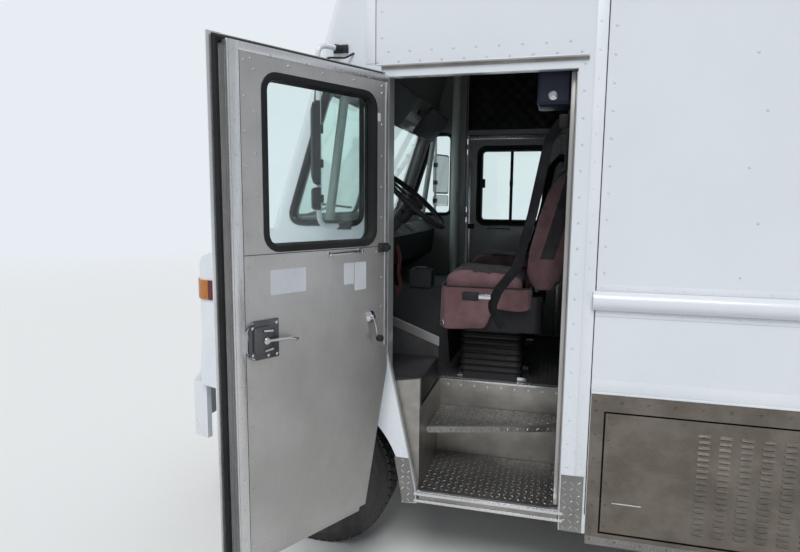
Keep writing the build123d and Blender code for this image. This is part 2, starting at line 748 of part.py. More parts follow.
with BuildPart() as stepwells:
    sheet = STEP_SHEET
    box_between(
        (TOP_RISER_X - sheet, WELL_FRONT - sheet, LOW_STEP_Z - sheet),
        (INNER_HALF, WELL_FRONT, FLOOR_TOP),
    )
    box_between(
        (TOP_RISER_X - sheet, WELL_REAR, LOW_STEP_Z - sheet),
        (INNER_HALF, WELL_REAR + sheet, FLOOR_TOP),
    )
    box_between(
        (TOP_RISER_X - sheet, WELL_FRONT, MID_STEP_Z - sheet), (TOP_RISER_X, WELL_REAR, FLOOR_TOP)
    )
    box_between(
        (LOW_RISER_X - sheet, WELL_FRONT, LOW_STEP_Z - sheet), (LOW_RISER_X, WELL_REAR, MID_STEP_Z)
    )
    box_between(
        (LOW_RISER_X - sheet, WELL_FRONT - sheet, LOW_STEP_Z - sheet),
        (INNER_HALF, WELL_REAR + sheet, LOW_STEP_Z),
    )
    box_between(
        (INNER_HALF, WELL_FRONT + 12, LOW_STEP_Z - 2 * sheet + 5),
        (HALF_WIDTH - 3, DOORWAY_REAR - 5, LOW_STEP_Z),
    )
    box_between(
        (INNER_HALF - 60, WELL_FRONT + 12, LOW_STEP_Z - 2 * sheet + 5),
        (INNER_HALF, DOORWAY_REAR - 5, LOW_STEP_Z - sheet),
    )
    with BuildSketch(level(MID_STEP_Z - sheet)):
        section(
            (TOP_RISER_X, WELL_FRONT),
            (LOW_RISER_X + MID_STEP_FRONT_DEPTH, WELL_FRONT),
            (LOW_RISER_X + MID_STEP_REAR_DEPTH, WELL_REAR),
            (TOP_RISER_X, WELL_REAR),
        )
    extrude(amount=sheet)
    with BuildSketch(side(KICK_X)):
        section(
            (WELL_FRONT - 96, 990),
            (WELL_FRONT, 1015),
            (WELL_FRONT, LOW_STEP_Z - sheet),
            (WELL_FRONT - 10, LOW_STEP_Z - sheet),
        )
    extrude(amount=sheet)
    mirror(about=Plane.YZ)
save(stepwells, "stepwells")


# Cab: side panels round the wheel arches, and the front cap with its window openings

ARCH_FOOT = (100.0, 415.0)
ARCH_SIDE = (-28.0, 792.0)
ARCH_TOP = (FRONT_AXLE_Y, 940.0)

# Windscreen pane, measured up the slope of the pillars
PANE_WIDTH = 980.0
PANE_HEIGHT = 640.0
PANE_MIDDLE_X = HALF_WIDTH - 670
PANE_MIDDLE_V = 385.0
PANE_RADIUS = 60.0

lean_angle = atan(PILLAR_LEAN)
screen = Plane(
    origin=(0, PILLAR_FOOT_Y, COWL_Z),
    x_dir=(1, 0, 0),
    z_dir=(0, -cos(lean_angle), sin(lean_angle)),
)


def cap_section(z, margin):
    """Plan of the cab's front cap at height z, drawn in by margin."""
    front = pillar_y(z) + margin * sqrt(1 + PILLAR_LEAN**2)
    half = HALF_WIDTH - margin
    rear = DOORWAY_FRONT + margin * 3
    with BuildSketch(level(z)) as plan:
        section((half, rear), (half, front), (-half, front), (-half, rear))
        fillet(plan.vertices().group_by(Axis.Y)[0], PILLAR_RADIUS - margin)
    return plan.sketch.face()


def quarter_window(inset):
    """Side window between the pillar and the door, with its edge moved in by inset."""
    low, high = COWL_Z + 35 + inset, DOORWAY_TOP + 8 - inset
    rear = DOORWAY_FRONT - POST_DEPTH - 20 - inset
    with BuildSketch(side(0)) as outline:
        section(
            (rear, low), (rear, high), (pillar_y(high) + 95 + inset, high),
            (pillar_y(low) + 95 + inset, low),
        )
        fillet(outline.vertices(), 50)
    return outline.sketch


# Side panels cut by the doorway's slant and the wheel arch, with the door posts on them
with BuildPart() as cab_sides:
    with BuildSketch(side(INNER_HALF)):
        with BuildLine():
            Polyline(
                (NOSE_REAR, ARCH_TOP[1] - 15),
                (NOSE_REAR, COWL_Z),
                (DOORWAY_FRONT, COWL_Z),
                (DOORWAY_FRONT, SLANT_TOP_Z),
                (SLANT_FOOT_Y, SLANT_FOOT_Z),
                (SLANT_FOOT_Y + 5, 420),
                ARCH_FOOT,
            )
            ThreePointArc(ARCH_FOOT, ARCH_SIDE, ARCH_TOP)
            Line(ARCH_TOP, (NOSE_REAR, ARCH_TOP[1] - 15))
        make_face()
    extrude(amount=WALL)
    box_between(
        (INNER_HALF - POST_WIDTH, DOORWAY_FRONT - POST_DEPTH, 985),
        (INNER_HALF, DOORWAY_FRONT, ROOF_EDGE),
    )
    hinge_fixed(cab_hinges(0)[0], SEAL_GAP + SKIN)
    mirror(about=Plane.YZ)
save(cab_sides, "cab_sides")

with BuildPart() as upper_hinges:
    for place in cab_hinges(0)[1:]:
        hinge_fixed(place, SEAL_GAP + SKIN)
    mirror(about=Plane.YZ)

with BuildPart() as cab_frame:
    loft([cap_section(COWL_Z, 0), cap_section(ROOF_EDGE, 0)])
    loft([cap_section(COWL_Z, WALL), cap_section(ROOF_EDGE, WALL)], mode=Mode.SUBTRACT)
    with BuildSketch(screen):
        with Locations((PANE_MIDDLE_X, PANE_MIDDLE_V), (-PANE_MIDDLE_X, PANE_MIDDLE_V)):
            RectangleRounded(PANE_WIDTH, PANE_HEIGHT, PANE_RADIUS)
    extrude(amount=100, both=True, mode=Mode.SUBTRACT)
    extrude(quarter_window(0), amount=HALF_WIDTH + 20, both=True, mode=Mode.SUBTRACT)
    add(upper_hinges.part)
    # Cowl panel ahead of the firewall, and the header over the windscreen inside
    box_between(
        (-INNER_HALF, NOSE_REAR, COWL_Z - 30),
        (INNER_HALF, FIREWALL_Y - FLOOR_THICK, COWL_Z),
    )
    header = pillar_y(2430) + WALL
    with BuildSketch(side(-INNER_HALF - 2)):
        section(
            (header - 20, 2430), (header + 60, 2450), (header + 80, 2560), (header + 25, 2560)
        )
    extrude(amount=2 * (INNER_HALF + 2))
save(cab_frame, "cab_frame")

with BuildPart() as cab_glass:
    with BuildSketch(screen.offset(-18 - GLASS)):
        with Locations((PANE_MIDDLE_X, PANE_MIDDLE_V), (-PANE_MIDDLE_X, PANE_MIDDLE_V)):
            RectangleRounded(
                PANE_WIDTH - 2 * RUN_GAP, PANE_HEIGHT - 2 * RUN_GAP, PANE_RADIUS - RUN_GAP
            )
    extrude(amount=GLASS)
    quarter = quarter_window(RUN_GAP)
    for hand in (1, -1):
        inside = hand * (HALF_WIDTH - WALL / 2)
        extrude(quarter.moved(Location((inside, 0, 0))), amount=hand * GLASS)
save(cab_glass, "cab_glass")


# Nose: a tapering box with a sloping top, hollow and open below

# columns: along the van, up
NOSE_PROFILE = (
    (NOSE_REAR, NOSE_LOW),
    (NOSE_REAR, COWL_Z - 4),
    (NOSE_FRONT + 60, 1555.0),
    (NOSE_FRONT, 1480.0),
    (NOSE_FRONT, NOSE_LOW),
)


def nose_block(margin):
    """The nose as a solid, every face moved out by margin."""
    with BuildPart() as block:
        with BuildSketch(level(NOSE_LOW - 200)) as plan:
            section(
                (NOSE_REAR_HALF, NOSE_REAR), (NOSE_FRONT_HALF, NOSE_FRONT),
                (-NOSE_FRONT_HALF, NOSE_FRONT), (-NOSE_REAR_HALF, NOSE_REAR),
            )
            fillet(plan.vertices().group_by(Axis.Y)[0], NOSE_CORNER)
            if margin:
                offset(amount=margin, kind=Kind.INTERSECTION)
        extrude(amount=1200)
        with BuildSketch(side(0)):
            section(*NOSE_PROFILE)
            if margin:
                offset(amount=margin, kind=Kind.INTERSECTION)
        extrude(amount=1400, both=True, mode=Mode.INTERSECT)
    return block.part


nose_solid = nose_block(0)
nose_hollow = nose_block(-NOSE_SHEET)
nose_proud = nose_block(8)

# Openings in the nose
GRILLE_HALF = 480.0
GRILLE_LOW = 975.0
GRILLE_HIGH = 1420.0
HEADLAMP_X = NOSE_FRONT_HALF - 375
HEADLAMP_Z = 1230.0
HEADLAMP_WIDTH = 220.0
HEADLAMP_HEIGHT = 150.0
HOOD_FRONT = NOSE_FRONT + 85

with BuildPart() as nose_panel:
    add(nose_solid)
    add(nose_hollow, mode=Mode.SUBTRACT)
    # Open at the back and below
    box_between(
        (-NOSE_REAR_HALF + 70, NOSE_REAR - 40, NOSE_LOW - 50),
        (NOSE_REAR_HALF - 70, NOSE_REAR + 10, COWL_Z - 70),
        Mode.SUBTRACT,
    )
    box_between(
        (-NOSE_FRONT_HALF + 60, NOSE_FRONT + 40, NOSE_LOW - 50),
        (NOSE_FRONT_HALF - 60, NOSE_REAR + 10, NOSE_LOW + 60),
        Mode.SUBTRACT,
    )
    box_between(
        (-HOOD_HALF, HOOD_FRONT, 1500), (HOOD_HALF, HOOD_REAR, COWL_Z + 10), Mode.SUBTRACT
    )
    with BuildSketch(station(NOSE_FRONT - 20)):
        with Locations((0, (GRILLE_LOW + GRILLE_HIGH) / 2)):
            RectangleRounded(2 * GRILLE_HALF, GRILLE_HIGH - GRILLE_LOW, 20)
        with Locations((HEADLAMP_X, HEADLAMP_Z), (-HEADLAMP_X, HEADLAMP_Z)):
            RectangleRounded(HEADLAMP_WIDTH, HEADLAMP_HEIGHT, 20)
    extrude(amount=-60, mode=Mode.SUBTRACT)
    for place in HOOD_HINGES:
        hinge_fixed(place, 6)
save(nose_panel, "nose_panel")

with BuildPart() as hood:
    add(nose_solid)
    add(nose_hollow, mode=Mode.SUBTRACT)
    box_between(
        (-HOOD_HALF + DOOR_GAP, HOOD_FRONT + DOOR_GAP, 1500),
        (HOOD_HALF - DOOR_GAP, HOOD_REAR - DOOR_GAP, COWL_Z + 10),
        Mode.INTERSECT,
    )
    for place in HOOD_HINGES:
        hinge_moving(place, -20, 2)
save(hood, "hood")

with BuildPart() as grille:
    with BuildSketch(station(NOSE_FRONT - 4)):
        with Locations((0, (GRILLE_LOW + GRILLE_HIGH) / 2)):
            RectangleRounded(
                2 * (GRILLE_HALF - RUN_GAP), GRILLE_HIGH - GRILLE_LOW - 2 * RUN_GAP, 20 - RUN_GAP
            )
            RectangleRounded(
                2 * GRILLE_HALF - 60, GRILLE_HIGH - GRILLE_LOW - 60, 10, mode=Mode.SUBTRACT
            )
            with GridLocations(0, 55, 1, 7):
                Rectangle(2 * GRILLE_HALF - 40, 22)
            with GridLocations(300, 0, 2, 1):
                Rectangle(14, GRILLE_HIGH - GRILLE_LOW - 40)
    extrude(amount=-NOSE_SHEET)
save(grille, "grille")

with BuildPart() as headlamps:
    with BuildSketch(station(NOSE_FRONT - 10)):
        with Locations((HEADLAMP_X, HEADLAMP_Z), (-HEADLAMP_X, HEADLAMP_Z)):
            RectangleRounded(
                HEADLAMP_WIDTH - 2 * RUN_GAP, HEADLAMP_HEIGHT - 2 * RUN_GAP, 20 - RUN_GAP
            )
    extrude(amount=-70)
save(headlamps, "headlamps")

# Side lamps wrap round the upper corners of the nose
SIDE_LAMP_LOW = 1335.0
SIDE_LAMP_HIGH = 1436.0

with BuildPart() as lamp_zone:
    box_between(
        (HALF_WIDTH - 235, NOSE_FRONT - 60, SIDE_LAMP_LOW), (HALF_WIDTH + 105, -790, SIDE_LAMP_HIGH)
    )
    mirror(about=Plane.YZ)

with BuildPart() as side_lamps:
    add(nose_proud)
    add(nose_solid, mode=Mode.SUBTRACT)
    add(lamp_zone.part, mode=Mode.INTERSECT)
save(side_lamps, "side_lamps")

FENDER_FRONT = -1005.0
FENDER_TOP = 1290.0
FENDER_LOW = 905.0

with BuildPart() as front_fenders:
    with BuildSketch(side(HALF_WIDTH - 295)):
        with BuildLine():
            Polyline(
                (NOSE_REAR, ARCH_TOP[1] - 15),
                (NOSE_REAR, FENDER_TOP),
                (-880, FENDER_TOP),
                (FENDER_FRONT + 20, 1215),
                (FENDER_FRONT, 1000),
                (FENDER_FRONT, FENDER_LOW),
                (-860, 880),
            )
            ThreePointArc((-860, 880), (-740, 912), (NOSE_REAR, ARCH_TOP[1] - 15))
        make_face()
    extrude(amount=290)
    fillet(front_fenders.edges().filter_by(Axis.Z).sort_by(Axis.X)[-1], 60)
    add(nose_solid, mode=Mode.SUBTRACT)
    box_between(
        (NOSE_REAR_HALF - 380, -1100, NOSE_LOW - 80), (NOSE_REAR_HALF - 100, -500, NOSE_LOW + 1),
        Mode.SUBTRACT,
    )
    mirror(about=Plane.YZ)
save(front_fenders, "front_fenders")


# Bumpers: the front one wraps round the corners, the rear one is a step with a tow ball hole

BUMPER_LOW = 590.0
BUMPER_HIGH = 890.0
BUMPER_SHEET = 30.0

with BuildPart() as bumpers:
    with BuildSketch(level(BUMPER_LOW)):
        back = BUMPER_FRONT + BUMPER_SHEET
        section(
            (0, BUMPER_FRONT), (HALF_WIDTH - 375, BUMPER_FRONT),
            (HALF_WIDTH - 85, BUMPER_FRONT + 120), (HALF_WIDTH - 55, BUMPER_FRONT + 215),
            (HALF_WIDTH - 85, BUMPER_FRONT + 222), (HALF_WIDTH - 112, BUMPER_FRONT + 142),
            (HALF_WIDTH - 381, back), (0, back),
        )
        mirror(about=Plane.YZ)
    extrude(amount=BUMPER_HIGH - BUMPER_LOW)
    for hand in (1, -1):
        near, far = sorted((hand * (RAIL_WEB - 50), hand * RAIL_WEB))
        box_between(
            (near, back, FRAME_LOW + 130), (far, CROSS_MEMBERS[0] - MEMBER_HALF, FRAME_HIGH - 20)
        )
    box_between((95 - HALF_WIDTH, BODY_REAR + 5, 520), (HALF_WIDTH - 95, BUMPER_REAR, 600))
    for hand in (1, -1):
        near, far = sorted((hand * (RAIL_WEB - 57), hand * (RAIL_WEB + 3)))
        box_between((near, BODY_REAR - WALL, FRAME_LOW + 10), (far, BODY_REAR + 6, 600))
    with BuildSketch(level(600)):
        with Locations((0, BUMPER_REAR - 60)):
            Circle(13)
    extrude(amount=-80, mode=Mode.SUBTRACT)
save(bumpers, "bumpers")


# Body walls


def rub_rail():
    """Half-round rail along the driver's side of the body."""
    with BuildSketch(station(RAIL_FRONT)) as rail:
        with BuildLine():
            middle = (RAIL_LOW + RAIL_HIGH) / 2
            Line((HALF_WIDTH - 5, RAIL_LOW), (HALF_WIDTH, RAIL_LOW))
            ThreePointArc(
                (HALF_WIDTH, RAIL_LOW), (HALF_WIDTH + RAIL_OUT, middle), (HALF_WIDTH, RAIL_HIGH)
            )
            Polyline(
                (HALF_WIDTH, RAIL_HIGH), (HALF_WIDTH - 5, RAIL_HIGH), (HALF_WIDTH - 5, RAIL_LOW)
            )
        make_face()
    extrude(rail.sketch, amount=-(BODY_REAR - RAIL_FRONT))


def side_wall(skirt_start, front_low):
    """Side wall of the driver's side, whose skirt starts behind the place given."""
    arch = 470.0
    half = sqrt(arch**2 - (SKIRT_Z - WHEEL_Z) ** 2)
    with BuildSketch(side(INNER_HALF)) as wall:
        with BuildLine():
            Polyline(
                (REAR_AXLE_Y + half, SKIRT_Z),
                (BODY_REAR, SKIRT_Z),
                (BODY_REAR, ROOF_EDGE),
                (DOORWAY_FRONT, ROOF_EDGE),
                (DOORWAY_FRONT, DOORWAY_TOP),
                (DOORWAY_REAR, DOORWAY_TOP),
                (DOORWAY_REAR, JAMB_FOOT_Z),
                (LOCKER_FRONT + 20, JAMB_FOOT_Z),
                (LOCKER_FRONT + 20, front_low),
                (skirt_start, front_low),
                (skirt_start, SKIRT_Z),
                (REAR_AXLE_Y - half, SKIRT_Z),
            )
            ThreePointArc(
                (REAR_AXLE_Y - half, SKIRT_Z),
                (REAR_AXLE_Y, WHEEL_Z + arch),
                (REAR_AXLE_Y + half, SKIRT_Z),
            )
        make_face()
    extrude(wall.sketch, amount=WALL)
    rub_rail()


LOCKER_BOX_TOP = 1005.0

with BuildPart() as left_wall:
    side_wall(LOCKER_REAR - 20, LOCKER_BOX_TOP)
save(left_wall, "left_wall")

with BuildPart() as right_wall:
    side_wall(LOCKER_FRONT + 120, JAMB_FOOT_Z + 45)
    with BuildSketch(side(INNER_HALF)):
        with Locations((SERVE_FRONT + SERVE_WIDTH / 2, (SERVE_LOW + SERVE_HIGH) / 2)):
            Rectangle(SERVE_WIDTH, SERVE_HIGH - SERVE_LOW)
    extrude(amount=WALL, mode=Mode.SUBTRACT)
    mirror(about=Plane.YZ, mode=Mode.REPLACE)
    for place in kerb_hinges(HATCH_HINGE_Z) + kerb_hinges(SHELF_HINGE_Z):
        hinge_fixed(place, KERB_PIN_OUT)
save(right_wall, "right_wall")

with BuildPart() as rear_wall:
    box_between(
        (-INNER_HALF, BODY_REAR - WALL, FRAME_HIGH + 20), (INNER_HALF, BODY_REAR, ROOF_EDGE)
    )
    box_between(
        (-REAR_DOOR_HALF, BODY_REAR - 100, REAR_DOOR_LOW),
        (REAR_DOOR_HALF, BODY_REAR + 10, REAR_DOOR_HIGH),
        Mode.SUBTRACT,
    )
    for place in REAR_HINGES:
        hinge_fixed(place, SEAL_GAP + SKIN)
save(rear_wall, "rear_wall")

with BuildPart() as roof:
    with BuildSketch(station(pillar_y(ROOF_EDGE))) as roof_section:
        with Locations((0, ROOF_TOP - ROOF_DEPTH / 2)):
            Rectangle(2 * HALF_WIDTH, ROOF_DEPTH)
        fillet(roof_section.vertices().group_by(Axis.Y)[-1], ROOF_RADIUS)
    extrude(amount=-(BODY_REAR - pillar_y(ROOF_EDGE)))
    # The front follows the pillars
    with BuildSketch(side(-HALF_WIDTH - 10)):
        section(
            (pillar_y(ROOF_EDGE) - 10, ROOF_EDGE - 10),
            (pillar_y(ROOF_EDGE - 10), ROOF_EDGE - 10),
            (pillar_y(ROOF_TOP + 10), ROOF_TOP + 10),
            (pillar_y(ROOF_EDGE) - 10, ROOF_TOP + 10),
        )
    extrude(amount=2 * HALF_WIDTH + 20, mode=Mode.SUBTRACT)
save(roof, "roof")


# Cab doors: an outer skin that laps the doorway and a pan inside it, with a window

WINDOW_FRONT = 120.0
WINDOW_REAR = 660.0
WINDOW_LOW = 1675.0
WINDOW_HIGH = 2285.0
WINDOW_RADIUS = 50.0


def door_plane(angle):
    """Plane of the door's outer face: local x runs from the hinge to the free edge."""
    swing = radians(angle)
    return Plane(
        origin=(HINGE_X, HINGE_Y, 0),
        x_dir=(sin(swing), cos(swing), 0),
        z_dir=(cos(swing), -sin(swing), 0),
    )


def pan_outline(clearance):
    """Inner pan of the door, clear of the doorway by the distance given, and more at the hinges."""
    set_back = 12.0
    front = DOORWAY_FRONT - HINGE_Y + clearance + set_back
    rear = DOORWAY_REAR - HINGE_Y - clearance
    run = SLANT_FOOT_Y - DOORWAY_FRONT
    fall = SLANT_TOP_Z - SLANT_FOOT_Z
    shift = clearance * hypot(run, fall) / fall
    foot = LOW_STEP_Z + clearance
    slant_top = SLANT_TOP_Z + (shift - clearance - set_back) * fall / run
    slant_at_foot = DOORWAY_FRONT - HINGE_Y + (SLANT_TOP_Z - foot) * run / fall + shift
    section(
        (front, slant_top),
        (front, DOORWAY_TOP - clearance),
        (rear, DOORWAY_TOP - clearance),
        (rear, foot),
        (slant_at_foot, foot),
    )


def skin_outline():
    """Outer skin: laps the doorway on its free edge, head and foot."""
    lap = 8.0
    front = DOORWAY_FRONT - HINGE_Y - lap
    run = SLANT_FOOT_Y - DOORWAY_FRONT
    fall = SLANT_TOP_Z - SLANT_FOOT_Z
    section(
        (front, SLANT_TOP_Z),
        (front, DOOR_HEAD_Z),
        (DOOR_REACH, DOOR_HEAD_Z),
        (DOOR_REACH, DOOR_FOOT_Z),
        (front + (SLANT_TOP_Z - DOOR_FOOT_Z) * run / fall, DOOR_FOOT_Z),
    )


def window_outline(inset):
    """Door window, its edge moved in by inset."""
    with Locations(((WINDOW_FRONT + WINDOW_REAR) / 2, (WINDOW_LOW + WINDOW_HIGH) / 2)):
        RectangleRounded(
            WINDOW_REAR - WINDOW_FRONT - 2 * inset,
            WINDOW_HIGH - WINDOW_LOW - 2 * inset,
            WINDOW_RADIUS - inset,
        )


def door_leaf(angle):
    """Door leaf, opened by the angle."""
    face = door_plane(angle)
    with BuildPart() as leaf:
        with BuildSketch(face.offset(-SKIN)):
            skin_outline()
        extrude(amount=SKIN)
        with BuildSketch(face.offset(-SKIN - PAN_DEPTH)):
            pan_outline(DOOR_GAP)
        extrude(amount=PAN_DEPTH)
        with BuildSketch(face.offset(-SKIN - PAN_DEPTH)):
            window_outline(0)
        extrude(amount=SKIN + PAN_DEPTH, mode=Mode.SUBTRACT)
        for place in cab_hinges(angle):
            hinge_moving(place, -SKIN, KNUCKLE_RADIUS - 1)
    return leaf.part


def door_glass(angle):
    """Window pane of a door opened by the angle."""
    with BuildPart() as pane:
        with BuildSketch(door_plane(angle).offset(-SKIN - PAN_DEPTH / 2)):
            window_outline(RUN_GAP)
        extrude(amount=GLASS)
    return pane.part


with BuildPart() as driver_door:
    add(door_leaf(DOOR_OPEN_ANGLE))
save(driver_door, "driver_door")

with BuildPart() as driver_door_glass:
    add(door_glass(DOOR_OPEN_ANGLE))
save(driver_door_glass, "driver_door_glass")

# Latch plate with its lever, window crank and outer pull, on the driver's door
with BuildPart() as driver_door_handles:
    inner_face = door_plane(DOOR_OPEN_ANGLE).offset(-SKIN - PAN_DEPTH)
    with BuildSketch(inner_face):
        with Locations((696, 1334)):
            RectangleRounded(136, 150, 12)
    extrude(amount=-16)
    with BuildSketch(inner_face.offset(-28)):
        with Locations((600, 1332)):
            RectangleRounded(150, 22, 10)
    extrude(amount=12)
    with BuildSketch(inner_face.offset(-16)):
        with Locations((660, 1332)):
            Circle(18)
    extrude(amount=-12)
    with BuildSketch(inner_face):
        with Locations((138, 1345)):
            Circle(26)
    extrude(amount=-34)
    with BuildSketch(inner_face.offset(-34)):
        section((125, 1350), (151, 1350), (128, 1245), (110, 1245))
    extrude(amount=8)
    with BuildSketch(inner_face.offset(-34)):
        with Locations((119, 1251)):
            Circle(13)
    extrude(amount=-36)
    with BuildSketch(door_plane(DOOR_OPEN_ANGLE)):
        with Locations((700, 1340)):
            RectangleRounded(150, 90, 12)
    extrude(amount=14)
save(driver_door_handles, "driver_door_handles")

with BuildPart() as passenger_door:
    add(door_leaf(0))
    mirror(about=Plane.YZ, mode=Mode.REPLACE)
save(passenger_door, "passenger_door")

with BuildPart() as passenger_door_glass:
    add(door_glass(0))
    mirror(about=Plane.YZ, mode=Mode.REPLACE)
save(passenger_door_glass, "passenger_door_glass")

with BuildPart() as rear_door:
    lap = REAR_LAP
    box_between(
        (-REAR_DOOR_HALF - lap, BODY_REAR + SEAL_GAP, REAR_DOOR_LOW - lap),
        (REAR_DOOR_HALF + lap, BODY_REAR + SEAL_GAP + SKIN, REAR_DOOR_HIGH + lap),
    )
    box_between(
        (-REAR_DOOR_HALF + DOOR_GAP, BODY_REAR - WALL, REAR_DOOR_LOW + DOOR_GAP),
        (REAR_DOOR_HALF - DOOR_GAP, BODY_REAR + SEAL_GAP, REAR_DOOR_HIGH - DOOR_GAP),
    )
    with BuildSketch(station(BODY_REAR + SEAL_GAP + SKIN)):
        with Locations((-REAR_DOOR_HALF + 90, 1500)):
            RectangleRounded(40, 170, 8)
    extrude(amount=-35)
    for place in REAR_HINGES:
        hinge_moving(place, -SKIN, KNUCKLE_RADIUS - 1)
save(rear_door, "rear_door")


# Serving hatch and shelf on the kerb side

HATCH_FACE = HALF_WIDTH + SEAL_GAP

with BuildPart() as serving_hatch:
    box_between(
        (-HATCH_FACE - HATCH_THICK, SERVE_FRONT - HATCH_LAP, SERVE_LOW - HATCH_LAP),
        (-HATCH_FACE, SERVE_FRONT + SERVE_WIDTH + HATCH_LAP, SERVE_HIGH + HATCH_LAP),
    )
    box_between(
        (-HATCH_FACE, SERVE_FRONT + 20, SERVE_LOW + 20),
        (-HATCH_FACE + 22, SERVE_FRONT + SERVE_WIDTH - 20, SERVE_HIGH - 30),
    )
    for place in kerb_hinges(HATCH_HINGE_Z):
        hinge_moving(place, SEAL_GAP - KERB_PIN_OUT, KNUCKLE_RADIUS - 1)
save(serving_hatch, "serving_hatch")

SHELF_DEPTH = 330.0

with BuildPart() as serving_shelf:
    box_between(
        (-HATCH_FACE - 25, SERVE_FRONT, SHELF_HINGE_Z - SHELF_DEPTH),
        (-HATCH_FACE, SERVE_FRONT + SERVE_WIDTH, SHELF_HINGE_Z - 4),
    )
    for place in kerb_hinges(SHELF_HINGE_Z):
        hinge_moving(place, SEAL_GAP - KERB_PIN_OUT, KNUCKLE_RADIUS - 1)
save(serving_shelf, "serving_shelf")


# Service compartment: a flanged box let into the left wall, and its door

LOCKER_OPEN_FRONT = LOCKER_FRONT + LOCKER_RIM
LOCKER_OPEN_REAR = LOCKER_REAR - LOCKER_RIM
LOCKER_OPEN_LOW = LOCKER_LOW + LOCKER_RIM + 4
LOCKER_OPEN_HIGH = LOCKER_HIGH - LOCKER_RIM_TOP

with BuildPart() as compartment_frame:
    box_between(
        (HALF_WIDTH, LOCKER_FRONT, LOCKER_LOW),
        (HALF_WIDTH + LOCKER_FLANGE, LOCKER_REAR, LOCKER_HIGH),
    )
    box_between(
        (HALF_WIDTH - LOCKER_DEPTH, LOCKER_FRONT + 20, LOCKER_LOW + 29),
        (HALF_WIDTH, LOCKER_REAR - 20, LOCKER_BOX_TOP),
    )
    box_between(
        (HALF_WIDTH - LOCKER_DEPTH + LOCKER_SHEET, LOCKER_OPEN_FRONT, LOCKER_OPEN_LOW),
        (HALF_WIDTH + 20, LOCKER_OPEN_REAR, LOCKER_OPEN_HIGH),
        Mode.SUBTRACT,
    )
    for place in LOCKER_HINGES:
        hinge_fixed(place, 4)
save(compartment_frame, "compartment_frame")

# Pressed louvres in columns and rows about the door's middle, each open at its lower lip
LOUVRE_COLUMNS = 6
LOUVRE_ROWS = 18
LOUVRE_SPACING = 80.0
LOUVRE_PITCH = 25.3
LOUVRE_LENGTH = 46.0
LOUVRE_RISE = 11.0
LOUVRE_OUT = 5.0
LOCKER_FACE = HALF_WIDTH + 2
LOUVRE_MIDDLE_Y = (LOCKER_OPEN_FRONT + LOCKER_OPEN_REAR) / 2
LOUVRE_MIDDLE_Z = (LOCKER_OPEN_LOW + LOCKER_OPEN_HIGH) / 2 - 10

with BuildPart() as compartment_door:
    box_between(
        (LOCKER_FACE - 25, LOCKER_OPEN_FRONT + DOOR_GAP, LOCKER_OPEN_LOW + DOOR_GAP),
        (LOCKER_FACE, LOCKER_OPEN_REAR - DOOR_GAP, LOCKER_OPEN_HIGH - DOOR_GAP),
    )
    for column in range(LOUVRE_COLUMNS):
        middle = LOUVRE_MIDDLE_Y + (column - (LOUVRE_COLUMNS - 1) / 2) * LOUVRE_SPACING
        with BuildSketch(station(middle - LOUVRE_LENGTH / 2)):
            for row in range(LOUVRE_ROWS):
                lip_z = LOUVRE_MIDDLE_Z + (row - (LOUVRE_ROWS - 1) / 2) * LOUVRE_PITCH
                section(
                    (LOCKER_FACE - 1, lip_z), (LOCKER_FACE + LOUVRE_OUT, lip_z),
                    (LOCKER_FACE + LOUVRE_OUT, lip_z + 1.5),
                    (LOCKER_FACE, lip_z + LOUVRE_RISE), (LOCKER_FACE - 1, lip_z + LOUVRE_RISE),
                )
        extrude(amount=-LOUVRE_LENGTH)
    for place in LOCKER_HINGES:
        hinge_moving(place, -10, -2)
save(compartment_door, "compartment_door")


# Roof fan, vent and lamps

with BuildPart() as roof_vents:
    with BuildSketch(station(3300)):
        section(
            (700, ROOF_TOP), (980, ROOF_TOP), (960, ROOF_TOP + 120), (940, ROOF_TOP + 130),
            (985, ROOF_TOP + 230), (960, ROOF_TOP + 300), (850, ROOF_TOP + 350),
            (700, ROOF_TOP + 360),
        )
    revolve(axis=Axis((700, 3300, 0), (0, 0, 1)))
    box_between((-360, 1900, ROOF_TOP), (40, 2300, ROOF_TOP + 70))
    box_between((-385, 1875, ROOF_TOP + 70), (65, 2325, ROOF_TOP + 95))
save(roof_vents, "roof_vents")

with BuildPart() as tail_lamps:
    with BuildSketch(station(BODY_REAR)):
        with Locations(*[(hand * (HALF_WIDTH - inset), 1010) for hand in (1, -1) for inset in (155, 285)]):
            Circle(52)
    extrude(amount=-18)
save(tail_lamps, "tail_lamps")


# Mirrors: a bent tube on two brackets, a flat head and a small one below

MIRROR_TUBE_Y = -270.0
ARM_LOW = 1733.0
ARM_HIGH = 2474.0

